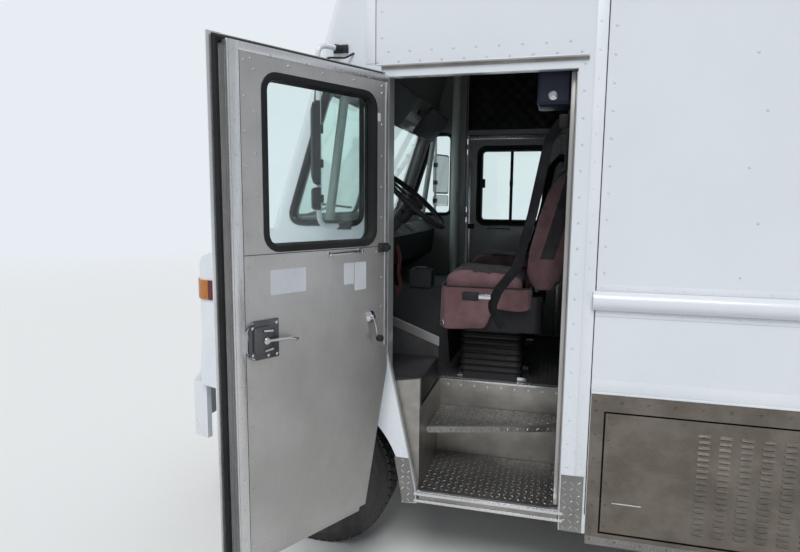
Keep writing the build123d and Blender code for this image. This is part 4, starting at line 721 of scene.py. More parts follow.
@dataclass(frozen=True)
class Surface(Finish):
    """Painted, brushed, moulded or cast surface with grain, blotches and road dirt."""

    slot: str
    base: Colour
    second: Colour
    name: str = ""
    metallic: float = 0.0
    rough: tuple[float, float] = (0.35, 0.5)
    lines: Line = Line.NONE
    grain: float = 60.0
    line_share: float = 0.15
    line_shade: float = 0.35
    blotch: float = 2.0
    relief: float = 0.0003
    dirt: Colour = (0.20, 0.17, 0.14)
    dirt_amount: float = 0.0
    dirt_reach: float = 0.9
    coat: float = 0.0
    coat_rough: float = 0.08
    shine: float = 0.5
    inside: Colour | None = None
    painted: Colour | None = None

    def wire(self, graph: Graph, shader: bpy.types.Node) -> None:
        """Wire the surface's grain, blotches and dirt into its shader.

        Args:
            graph: the material's tree.
            shader: the material's shader.
        """
        spot = graph.node("ShaderNodeTexCoord").outputs["Object"]
        grain = graph.shared("grain", Vector=spot, Stretch=self.lines.value, Scale=self.grain,
                             Blotch_Scale=self.blotch)
        tone = graph.mix(grain["Blotch"], self.base, self.second)
        streak = graph.math("MULTIPLY", grain["Lines"], self.line_share)
        colour = graph.mix(streak, tone, tuple(c * self.line_shade for c in self.second))
        if self.inside:
            colour = graph.mix(inner_side(graph, spot), colour, self.inside)
        metallic: object = self.metallic
        if self.painted:
            skin = door_skin(graph, spot)
            colour = graph.mix(skin, colour, self.painted)
            metallic = graph.math("MULTIPLY", graph.math("SUBTRACT", 1.0, skin), self.metallic)
        if self.dirt_amount:
            colour = graph.shared("grime", Vector=spot, Color=colour, Dirt=self.dirt,
                                  Reach=self.dirt_reach, Amount=self.dirt_amount)["Color"]
        graph.set(shader, Base_Color=colour, Metallic=metallic, Specular_IOR_Level=self.shine,
                  Roughness=graph.ramp(grain["Lines"], 0.0, 1.0, *self.rough),
                  Coat_Weight=self.coat)
        if self.coat:
            graph.set(shader, Coat_Roughness=self.coat_rough)
        graph.bump(shader, self.relief, grain["Height"])


def door_skin(graph: Graph, spot: bpy.types.NodeSocket,
              depth: float = 0.0052) -> bpy.types.NodeSocket:
    """Return a mask that is 1 on the outer skin of the open door.

    Args:
        graph: the tree being wired.
        spot: object coordinates.
        depth: how deep the painted skin is.

    Returns:
        The mask's socket.
    """
    seen = graph.vector("SUBTRACT", spot, tuple(Vector(DOOR_HINGE) - Form.origin))
    out = graph.work("ShaderNodeVectorMath", {"operation": "DOT_PRODUCT"}, seen, DOOR_OUTWARD)
    return graph.math("GREATER_THAN", out.outputs["Value"], -depth)


def inner_side(graph: Graph, spot: bpy.types.NodeSocket,
               inset: float = 0.02) -> bpy.types.NodeSocket:
    """Return a mask that is 1 on the inner faces of the cab and body walls.

    Args:
        graph: the tree being wired.
        spot: object coordinates.
        inset: how far inside the outer faces the mask starts.

    Returns:
        The mask's socket.
    """
    part = graph.split(graph.vector("ADD", spot, tuple(Form.origin)))
    across = graph.math("LESS_THAN", graph.math("ABSOLUTE", part[0]), HALF - inset)
    rise = graph.math("MULTIPLY", graph.math("SUBTRACT", part[2], FACE_Z), FACE_SLOPE)
    ahead = graph.math("SUBTRACT", part[1], rise)
    behind_screen = graph.math("MULTIPLY", graph.math("GREATER_THAN", ahead, FACE_Y + 0.022),
                               graph.math("GREATER_THAN", part[1], -0.600))
    before_rear = graph.math("LESS_THAN", part[1], BODY_REAR - inset)
    under_roof = graph.math("LESS_THAN", part[2], ROOF_EDGE + inset)
    return graph.math("MULTIPLY", graph.math("MULTIPLY", across, behind_screen),
                      graph.math("MULTIPLY", before_rear, under_roof))


@dataclass(frozen=True)
class Woven(Finish):
    """Cloth, webbing or leather with a weave or grain and soft sheen."""

    slot: str
    base: Colour
    second: Colour
    name: str = ""
    thread: float = 900.0
    thread_share: float = 0.3
    thread_shade: float = 0.4
    relief: float = 0.0005
    rough: float = 0.85
    sheen: float = 0.25

    def wire(self, graph: Graph, shader: bpy.types.Node) -> None:
        """Wire the weave and its worn tones into the shader.

        Args:
            graph: the material's tree.
            shader: the material's shader.
        """
        spot = graph.node("ShaderNodeTexCoord").outputs["Object"]
        weave = graph.shared("weave", Vector=spot, Scale=self.thread)
        tone = graph.mix(weave["Shade"], self.base, self.second)
        thread = graph.math("MULTIPLY", weave["Height"], self.thread_share)
        dark = tuple(c * self.thread_shade for c in self.base)
        graph.set(shader, Base_Color=graph.mix(thread, tone, dark),
                  Roughness=graph.ramp(weave["Shade"], 0.0, 1.0, self.rough, self.rough - 0.15),
                  Specular_IOR_Level=0.15, Sheen_Weight=self.sheen, Sheen_Roughness=0.5)
        graph.bump(shader, self.relief, weave["Height"])


@dataclass(frozen=True)
class Pane(Finish):
    """Tinted window glass or a lamp cover, another tint behind a station where it has one."""

    slot: str
    tint: Colour
    name: str = ""
    rough: float = 0.02
    ribs: float = 0.0
    rib_depth: float = 0.0015
    clear: float = 1.0
    bending: float = 1.45
    rear_tint: Colour | None = None
    split: float = -0.955

    def wire(self, graph: Graph, shader: bpy.types.Node) -> None:
        """Wire a faint smear, and moulded ribs where the pane has them, into the shader.

        Args:
            graph: the material's tree.
            shader: the material's shader.
        """
        spot = graph.node("ShaderNodeTexCoord").outputs["Object"]
        smear = graph.noise(spot, 5.0, 4.0)
        colour = graph.mix(smear, self.tint, tuple(min(1.0, c * 1.12) for c in self.tint))
        if self.rear_tint:
            behind = graph.math("GREATER_THAN", graph.split(spot)[1], self.split - Form.origin.y)
            colour = graph.mix(behind, colour, self.rear_tint)
        graph.set(shader, Base_Color=colour, Metallic=0.0, Transmission_Weight=self.clear,
                  IOR=self.bending,
                  Roughness=graph.ramp(smear, 0.3, 0.8, self.rough, self.rough + 0.05))
        if self.ribs:
            turn = graph.math("MULTIPLY", graph.split(spot)[2], self.ribs)
            graph.bump(shader, self.rib_depth, graph.math("SINE", turn))


class Wear:
    """Every finish on the truck."""

    WHITE = Surface("body_white", (0.69, 0.72, 0.76), (0.71, 0.74, 0.78), rough=(0.28, 0.36),
                    grain=180.0, line_share=0.03, relief=0.00004, dirt_amount=0.3, dirt_reach=1.1,
                    coat=0.4, inside=(0.30, 0.31, 0.31))
    WHITE_PART = Surface("body_white", (0.68, 0.71, 0.75), (0.73, 0.755, 0.79), "body_white_part",
                         rough=(0.28, 0.38), grain=180.0, line_share=0.03, relief=0.00004,
                         dirt_amount=0.5, dirt_reach=0.9, coat=0.4)
    DOOR_SHELL = Surface("door_aluminium", (0.44, 0.425, 0.415), (0.54, 0.525, 0.515), "door_shell",
                         metallic=0.8, rough=(0.3, 0.42), lines=Line.UP, grain=2.2, line_share=0.1,
                         blotch=2.2, relief=0.00006, painted=(0.69, 0.72, 0.76))
    DOOR = Surface("door_aluminium", (0.44, 0.425, 0.415), (0.54, 0.525, 0.515), metallic=0.8,
                   rough=(0.3, 0.42), lines=Line.UP, grain=2.2, line_share=0.1, blotch=2.2,
                   relief=0.00006)
    STEP = Surface("door_aluminium", (0.30, 0.285, 0.265), (0.43, 0.41, 0.38), "step_aluminium",
                   metallic=0.9, rough=(0.28, 0.42), lines=Line.ALONG, grain=2.2, line_share=0.12,
                   blotch=5.0, relief=0.00008, dirt_amount=0.15, dirt_reach=1.4)
    BRIGHT = Surface("door_aluminium", (0.66, 0.66, 0.665), (0.76, 0.76, 0.765), "bright_edge",
                     metallic=0.85, rough=(0.22, 0.34), lines=Line.UP, grain=2.2, line_share=0.03,
                     relief=0.00003)
    # Rivet heads and pressed ribs: the body's white greyed a little as painted shade, so that each
    # head looks shaded round its edge
    RIVET = Surface("body_white", (0.60, 0.63, 0.67), (0.70, 0.73, 0.77), "rivet_white",
                    rough=(0.35, 0.5), grain=200.0, line_share=0.1, relief=0.00005)
    SEALANT = Surface("black_rubber", (0.035, 0.035, 0.037), (0.07, 0.07, 0.072), "seam_sealant",
                      rough=(0.6, 0.8), grain=90.0, line_share=0.2, relief=0.0002)
    NUTS = Surface("wheel_white", (0.30, 0.30, 0.30), (0.42, 0.41, 0.40), "wheel_nuts",
                   metallic=0.7, rough=(0.35, 0.55), grain=120.0, line_share=0.3, relief=0.0003)
    LATCH = Surface("dark_plastic", (0.10, 0.10, 0.105), (0.17, 0.17, 0.175), "latch_case",
                    metallic=0.7, rough=(0.3, 0.45), grain=140.0, line_share=0.25, relief=0.0002)
    PLATE = Surface("diamond_plate", (0.24, 0.235, 0.23), (0.32, 0.31, 0.30), metallic=0.9,
                    rough=(0.3, 0.42), grain=90.0, line_share=0.1, blotch=6.0, relief=0.00005,
                    dirt_amount=0.1, dirt_reach=1.2)
    # Raised tread bars with a painted highlight: much lighter than the plate's sheet so that the
    # bars look as if they catch the light
    TREAD = Surface("diamond_plate", (0.66, 0.65, 0.63), (0.76, 0.75, 0.73), "tread_bars",
                    metallic=0.9, rough=(0.2, 0.3), grain=90.0, line_share=0.1, relief=0.00005)
    STAINLESS = Surface("stainless", (0.155, 0.135, 0.115), (0.225, 0.20, 0.17), metallic=0.95,
                        rough=(0.16, 0.28), lines=Line.ALONG, grain=2.5, line_share=0.06,
                        blotch=6.0, relief=0.00006, dirt_amount=0.25, dirt_reach=1.0)
    KITCHEN = Surface("stainless", (0.52, 0.53, 0.54), (0.62, 0.63, 0.64), "kitchen_steel",
                      metallic=0.9, rough=(0.25, 0.4), lines=Line.ALONG, grain=2.5,
                      line_share=0.15, relief=0.0001)
    CHROME = Surface("chrome_trim", (0.62, 0.63, 0.65), (0.74, 0.75, 0.77), metallic=1.0,
                     rough=(0.08, 0.18), grain=70.0, line_share=0.12, relief=0.00003)
    MIRROR = Surface("mirror_face", (0.80, 0.82, 0.84), (0.84, 0.86, 0.88), metallic=1.0,
                     rough=(0.02, 0.05), grain=20.0, line_share=0.02, relief=0.00001)
    RUBBER = Surface("black_rubber", (0.012, 0.012, 0.013), (0.022, 0.022, 0.024),
                     rough=(0.45, 0.65), grain=120.0, line_share=0.2, relief=0.0003, shine=0.2)
    TYRE = Surface("tyre_rubber", (0.018, 0.018, 0.019), (0.035, 0.034, 0.033), rough=(0.65, 0.85),
                   grain=110.0, line_share=0.25, relief=0.0005, dirt=(0.11, 0.10, 0.09),
                   dirt_amount=0.4, dirt_reach=0.85)
    WHEEL = Surface("wheel_white", (0.60, 0.61, 0.62), (0.68, 0.69, 0.70), rough=(0.35, 0.5),
                    grain=130.0, line_share=0.1, relief=0.0001, dirt_amount=0.7, dirt_reach=1.0)
    CHASSIS = Surface("chassis_black", (0.02, 0.02, 0.021), (0.045, 0.043, 0.041),
                      rough=(0.5, 0.75), grain=60.0, line_share=0.3, relief=0.0006,
                      dirt=(0.15, 0.13, 0.11), dirt_amount=0.7, dirt_reach=1.2)
    ENGINE = Surface("engine_grey", (0.07, 0.07, 0.075), (0.12, 0.115, 0.11), metallic=0.4,
                     rough=(0.55, 0.75), grain=90.0, line_share=0.3, relief=0.001,
                     dirt_amount=0.6, dirt_reach=1.5)
    EXHAUST = Surface("exhaust_steel", (0.20, 0.17, 0.14), (0.32, 0.25, 0.19), metallic=0.7,
                      rough=(0.45, 0.7), grain=70.0, line_share=0.35, relief=0.0005,
                      dirt_amount=0.6, dirt_reach=1.0)
    PLASTIC = Surface("black_plastic", (0.018, 0.018, 0.020), (0.032, 0.032, 0.035),
                      rough=(0.38, 0.55), grain=160.0, line_share=0.2, relief=0.0003, shine=0.25)
    DASH = Surface("dark_plastic", (0.035, 0.04, 0.045), (0.055, 0.06, 0.065), rough=(0.5, 0.7),
                   grain=150.0, line_share=0.25, relief=0.0005, shine=0.25)
    NAVY = Surface("navy_plastic", (0.012, 0.016, 0.035), (0.022, 0.027, 0.05), rough=(0.3, 0.45),
                   grain=140.0, line_share=0.15, relief=0.0002, shine=0.3)
    # Grey-green trim with painted light: raised above the trim's own tone so that the beam and post
    # in the cab's shade look sunlit
    SUNLIT_TRIM = Surface("grey_green_trim", (0.66, 0.74, 0.70), (0.74, 0.82, 0.78), rough=(0.4, 0.6),
                   grain=80.0, line_share=0.15, relief=0.0002)
    MAT = Surface("floor_mat", (0.022, 0.024, 0.027), (0.045, 0.047, 0.05), rough=(0.6, 0.8),
                  grain=90.0, line_share=0.3, relief=0.0008, dirt=(0.22, 0.20, 0.18),
                  dirt_amount=0.15, dirt_reach=3.0, shine=0.2)
    LABEL = Surface("bare_label", (0.52, 0.54, 0.58), (0.60, 0.62, 0.66), rough=(0.4, 0.5),
                    grain=60.0, line_share=0.05, relief=0.00005)
    CHARCOAL = Woven("seat_charcoal", (0.030, 0.028, 0.031), (0.055, 0.050, 0.054), sheen=0.1)
    MAUVE = Woven("seat_mauve", (0.150, 0.080, 0.088), (0.215, 0.125, 0.133), sheen=0.12)
    BELT = Woven("belt_webbing", (0.012, 0.012, 0.014), (0.022, 0.022, 0.026), thread=2600.0,
                 sheen=0.0)
    # Red webbing with painted shade: darkened below its own dark red so that the strap looks as if
    # it hangs in shade
    SHADED_RED = Woven("red_webbing", (0.040, 0.003, 0.003), (0.065, 0.005, 0.005), thread=2600.0)
    QUILT = Woven("quilted_lining", (0.014, 0.014, 0.016), (0.03, 0.03, 0.034), thread=500.0,
                  rough=0.5, sheen=0.05)
    GLASS = Pane("tinted_glass", (0.80, 0.90, 0.87))
    LENS = Pane("lamp_clear", (0.95, 0.96, 0.97), ribs=900.0)
    AMBER = Pane("lamp_amber", (0.85, 0.28, 0.03), ribs=1400.0, clear=0.35, rough=0.12,
                 rear_tint=(0.22, 0.012, 0.02))
    RED_LENS = Pane("lamp_red", (0.42, 0.015, 0.03), ribs=1400.0, clear=0.3, rough=0.12)


# What each carried-over node wears
NODE_WEAR: dict[Finish, str] = {
    Wear.WHITE: "cab_frame cab_sides left_wall right_wall rear_wall roof nose_panel passenger_door",
    Wear.WHITE_PART: "bumpers front_fenders hood rear_door serving_hatch",
    Wear.CHASSIS: "chassis_rails cross_members front_axle fuel_tank knuckle_left knuckle_right "
                  "leaf_springs rear_axle",
    Wear.STAINLESS: "compartment_door compartment_frame",
    Wear.KITCHEN: "kitchen_units roof_vents serving_shelf",
    Wear.DOOR_SHELL: "driver_door",
    Wear.STEP: "stepwells",
    Wear.GLASS: "cab_glass driver_door_glass passenger_door_glass",
    Wear.ENGINE: "engine radiator",
    Wear.EXHAUST: "exhaust_system",
    Wear.MAT: "floor",
    Wear.PLASTIC: "grille mirrors seat_bases steering_wheel",
    Wear.DASH: "dashboard",
    Wear.LENS: "headlamps",
    Wear.AMBER: "side_lamps",
    Wear.RED_LENS: "tail_lamps",
    Wear.CHROME: "driver_door_handles",
    Wear.CHARCOAL: "driver_seat_cushion driver_seat_back passenger_seat",
    Wear.TYRE: "tyre_front_left tyre_front_right tyres_rear_left tyres_rear_right",
    Wear.WHEEL: "wheel_front_left wheel_front_right wheels_rear_left wheels_rear_right",
}


def dress_nodes(nodes: dict[str, bpy.types.Object]) -> None:
    """Give every carried-over node its finish.

    Args:
        nodes: the frame's nodes by name.
    """
    for finish, names in NODE_WEAR.items():
        for name in names.split():
            data = nodes[name].data
            data.materials.clear()
            data.materials.append(finish.material())


# Body sides


def soft_corners(points: Sequence[Flat], radius: float, steps: int = 6) -> list[Flat]:
    """Round every corner of a closed flat outline.

    Args:
        points: the outline's corners.
        radius: bend radius at each of them.
        steps: points in each bend, less one.

    Returns:
        The rounded outline.
    """
    count = len(points)
    made: list[Flat] = []
    for i in range(count):
        before, here, after = (Vector((*points[(i + k) % count], 0)) for k in (-1, 0, 1))
        made += [(p.x, p.y) for p in curved([before, here, after], radius, steps)[1:-1]]
    return made


def spaced(points: Sequence[Flat], step: float) -> list[Flat]:
    """Put more points on the long runs of a closed flat outline.

    Args:
        points: the outline.
        step: about how long a run may be.

    Returns:
        The outline with the points added.
    """
    made: list[Flat] = []
    for (ax, ay), (bx, by) in zip(points, list(points[1:]) + [points[0]]):
        count = max(1, round(math.hypot(bx - ax, by - ay) / step))
        made += [(ax + (bx - ax) * k / count, ay + (by - ay) * k / count) for k in range(count)]
    return made


def within(outline: Sequence[Flat], x: float, y: float) -> bool:
    """Tell whether a point lies inside a flat outline.

    Args:
        outline: the outline.
        x: the point's local x.
        y: its local y.

    Returns:
        True where it lies inside.
    """
    inside = False
    for (ax, ay), (bx, by) in zip(outline, list(outline[1:]) + [outline[0]]):
        if (ay > y) != (by > y) and x < (bx - ax) * (y - ay) / (by - ay) + ax:
            inside = not inside
    return inside


def gasket(deep: float, lip: float = 0.014) -> list[Flat]:
    """Return the section of a window rubber for glass that lies deep below the surface."""
    return [(0.001, -deep), (-0.012, -deep), (-0.012, 0.005 - deep), (-0.004, 0.003),
            (0.002, 0.0055), (lip - 0.002, 0.0045), (lip, 0.0), (0.001, -0.0005)]


def tread_plate(form: Form, outline: Sequence[Flat], thick: float, pitch: float = 0.030) -> None:
    """Add a rolled tread plate: a sheet with rows of raised bars at right angles in turn.

    Args:
        form: the form that it is added to.
        outline: its edge on the local plane.
        thick: the sheet's thickness.
        pitch: spacing of the bars.
    """
    form.prism(outline, 0.0, thick)
    xs, ys = [p[0] for p in outline], [p[1] for p in outline]
    for i in range(int((max(xs) - min(xs)) / pitch) + 1):
        for j in range(int((max(ys) - min(ys)) / pitch) + 1):
            x, y = min(xs) + (i + 0.5) * pitch, min(ys) + (j + 0.5) * pitch
            turn = math.pi / 4 * (1 if (i + j) % 2 else 3)
            reach = [(x + k * math.cos(turn) * pitch * 0.5, y + k * math.sin(turn) * pitch * 0.5)
                     for k in (-1, 1)]
            if all(within(outline, *p) for p in reach):
                tread_bar(form, x, y, turn, pitch * 0.44, thick)


def tread_bar(form: Form, x: float, y: float, turn: float, half: float, foot: float) -> None:
    """Add one raised bar of a tread plate.

    Args:
        form: the form that it is added to.
        x: its middle's local x.
        y: its middle's local y.
        turn: the way that it lies.
        half: half its length.
        foot: the height of the sheet's top.
    """
    c, s = math.cos(turn), math.sin(turn)
    edge = ((-1, 0), (-0.4, -0.24), (0.4, -0.24), (1, 0), (0.4, 0.24), (-0.4, 0.24))
    low = [form.vert((x + (a * c - b * s) * half, y + (a * s + b * c) * half, foot - 0.0004))
           for a, b in edge]
    top = [form.vert((x + k * c * half * 0.55, y + k * s * half * 0.55, foot + 0.0024))
           for k in (-1, 1)]
    points = low + top
    for face in ((0, 1, 6), (1, 2, 7, 6), (2, 3, 7), (3, 4, 7), (4, 5, 6, 7), (5, 0, 6)):
        # Each bar's faces are marked for the lighter finish with the painted highlight
        form.mesh.faces.new([points[k] for k in face]).material_index = 1


@dataclass
class BodySide:
    """Rivets, seams and trim strips on one side of the body."""

    hand: int
    seam: float = 0.935
    foot: float = 0.655
    strip: float = 0.0022
    zigzag: float = 0.023
    columns: dict = field(default_factory=lambda: {
        1: ((1.500, 1.56, 2.85), (2.70, 1.56, 2.85), (3.90, 1.56, 2.85), (5.10, 1.56, 2.85)),
        -1: ((1.20, 1.56, 2.85), (4.30, 1.56, 2.85), (5.10, 1.56, 2.85), (2.66, 2.53, 2.88)),
    })
    rows: tuple = (
        (0.852, 0.69, 0.852, 2.41, 0.110), (0.905, 0.69, 0.905, 2.90, 0.110),
        (0.966, 1.56, 0.966, 2.88, 0.110), (-0.030, 2.457, 0.835, 2.457, 0.095),
        (0.020, 2.500, 0.790, 2.500, 0.095), (-0.066, 2.470, -0.066, 2.89, 0.110),
        (-0.010, 2.560, -0.010, 2.89, 0.110), (0.02, 2.892, 5.90, 2.892, 0.150),
        (5.918, 0.55, 5.918, 1.36, 0.110), (5.918, 1.53, 5.918, 2.86, 0.110),
        (0.960, 1.495, 5.920, 1.495, 0.105), (0.960, 1.386, 5.920, 1.386, 0.105),
        (2.320, 0.515, 3.560, 0.515, 0.150), (4.640, 0.515, 5.880, 0.515, 0.150),
    )
    arch: tuple = (4.100, 0.405, 0.470)

    @property
    def side(self) -> str:
        """The side's name, for the names of its pieces."""
        return side_name(self.hand)

    def build(self) -> None:
        """Make the side's pieces."""
        form = side_form(self.hand)
        for y0, z0, y1, z1, pitch in self.rows:
            form.rivets((y0, z0), (y1, z1), pitch)
        for y, low, high in self.columns[self.hand]:
            form.rivets((y - self.zigzag, low), (y - self.zigzag, high), 0.2, -2 * self.zigzag)
        form.piece(f"{self.side}_side_rivets", BODY, Wear.RIVET)
        self.build_strips()
        self.build_seams()

    def build_strips(self) -> None:
        """Add the riveted flanges, the band above the compartment, the arch lip and the gutters."""
        form = side_form(self.hand)
        strips = ((0.886, self.foot, 0.9325, ROOF_EDGE), (0.9375, 1.482, BODY_REAR, 1.508),
                  (0.9375, 1.373, BODY_REAR, 1.398), (-0.085, 2.45, -0.0395, ROOF_EDGE - 0.03),
                  (-0.0365, 2.442, 0.86, 2.446), (5.905, 0.50, BODY_REAR, 1.37),
                  (5.905, 1.51, BODY_REAR, ROOF_EDGE - 0.03))
        for y0, z0, y1, z1 in strips:
            form.box((y0, z0, -SUNK), (y1, z1, self.strip), 0.001)
        ends = (0.9375, BODY_REAR) if self.hand > 0 else (3.88, BODY_REAR)
        form.box((ends[0], 1.036, -SUNK), (ends[1], 1.046, 0.006), 0.002)
        form.box((ends[0], 1.046, -SUNK), (ends[1], 1.098, 0.0012), 0.0006)
        form.box((-0.17, ROOF_EDGE - 0.022, -SUNK), (BODY_REAR - 0.02, ROOF_EDGE, 0.009), 0.004)
        y, z, radius = self.arch
        lean = math.asin((0.48 - z) / radius)
        path = [(y + radius * math.cos(t), z + radius * math.sin(t))
                for t in (lean + (math.pi - 2 * lean) * k / 40 for k in range(41))]
        form.bead(path, [(0.0, -0.002), (0.0, 0.007), (0.004, 0.009), (0.03, 0.003),
                         (0.03, -0.002)],
                  closed=False)
        form.piece(f"{self.side}_side_strips", BODY, Wear.WHITE_PART)
        gutter = side_form(self.hand)
        gutter.bead([(0.866, 2.4165), (-0.01, 2.4165)],
                    [(0.006, -SUNK), (0.006, 0.0035), (0.016, 0.0035), (0.016, 0.014),
                     (0.020, 0.014), (0.020, -SUNK)], closed=False)
        gutter.piece(f"{self.side}_door_gutter", BODY, Wear.STEP)

    def build_seams(self) -> None:
        """Add the dark sealed gaps between the panels."""
        form = side_form(self.hand)
        for y0, z0, y1, z1 in ((self.seam - 0.0022, 0.48, self.seam + 0.0022, ROOF_EDGE - 0.02),
                               (-0.039, 2.445, -0.0365, ROOF_EDGE - 0.02)):
            form.box((y0, z0, -SUNK), (y1, z1, 0.0006))
        form.piece(f"{self.side}_side_seams", BODY, Wear.SEALANT)


@dataclass
class CabFace:
    """Window rubbers, rivets and wipers on the cab's front and corners."""

    screen: Flat = (0.980, 0.640)
    screen_up: float = 0.385
    screen_in: float = 0.018
    quarter_z: Flat = (1.745, 2.400)

    def build(self) -> None:
        """Make the pieces of the cab's front."""
        rise = math.hypot(1, FACE_SLOPE)
        out = (0, -1 / rise, FACE_SLOPE / rise)
        front = place((0, FACE_Y, FACE_Z), (1, 0, 0), out)
        rubber = Form(front)
        trim = Form(front)
        rivets = Form(front)
        for hand in (-1, 1):
            opening = moved(rounded(*self.screen, 0.06), hand * 0.525, self.screen_up)
            rubber.bead(opening, gasket(self.screen_in, 0.018))
            self.wiper(trim, hand)
        for up in (0.030, 0.745, 1.215):
            rivets.rivets((-1.08, up), (1.08, up), 0.11)
        for across in (-1.075, -0.012, 0.012, 1.075):
            rivets.rivets((across, 0.10), (across, 0.72), 0.11)
        rubber.piece("windscreen_rubbers", BODY, Wear.RUBBER)
        trim.piece("wipers", BODY, Wear.PLASTIC)
        rivets.piece("cab_front_rivets", BODY, Wear.RIVET)
        self.build_quarters()

    def wiper(self, form: Form, hand: int) -> None:
        """Add one windscreen wiper, parked along the lower edge of its screen.

        Args:
            form: the form that it is added to, on the cab's face.
            hand: the side that it is on.
        """
        pivot = (hand * 0.90, 0.022)
        boss = [(0.020, -SUNK), (0.020, 0.010), (0.012, 0.022), (0.0, 0.024)]
        form.lathe_at((*pivot, 0), boss, 14)
        tip = (hand * 0.42, 0.115)
        arm = curved([(*pivot, 0.016), (hand * 0.80, 0.045, 0.026), (*tip, 0.006)], 0.08)
        form.tube(arm, 0.006, 8, squash=0.6)
        blade = [(hand * 0.12, 0.100, 0.000), (*tip, 0.002), (hand * 0.72, 0.128, 0.000)]
        form.tube(blade, 0.007, 8)

    def build_quarters(self) -> None:
        """Fit the rubbers of the corner windows on both sides."""
        low, high = self.quarter_z
        corners = [(-0.110, low), (-0.110, high),
                   *((self.pillar(z) + 0.095, z) for z in (high, low))]
        for hand in (-1, 1):
            end = "left" if hand > 0 else "right"
            for form, name, deep in ((side_form(hand), "rubber", 0.0165),
                                     (side_form(-hand, -INNER), "inner", 0.0225)):
                form.bead(soft_corners(corners, 0.05), gasket(deep, 0.016))
                form.piece(f"corner_window_{name}_{end}", BODY, Wear.RUBBER)

    def pillar(self, z: float) -> float:
        """Return how far forward the cab's face lies at a height."""
        return FACE_Y + FACE_SLOPE * (z - FACE_Z)


# Cab doors


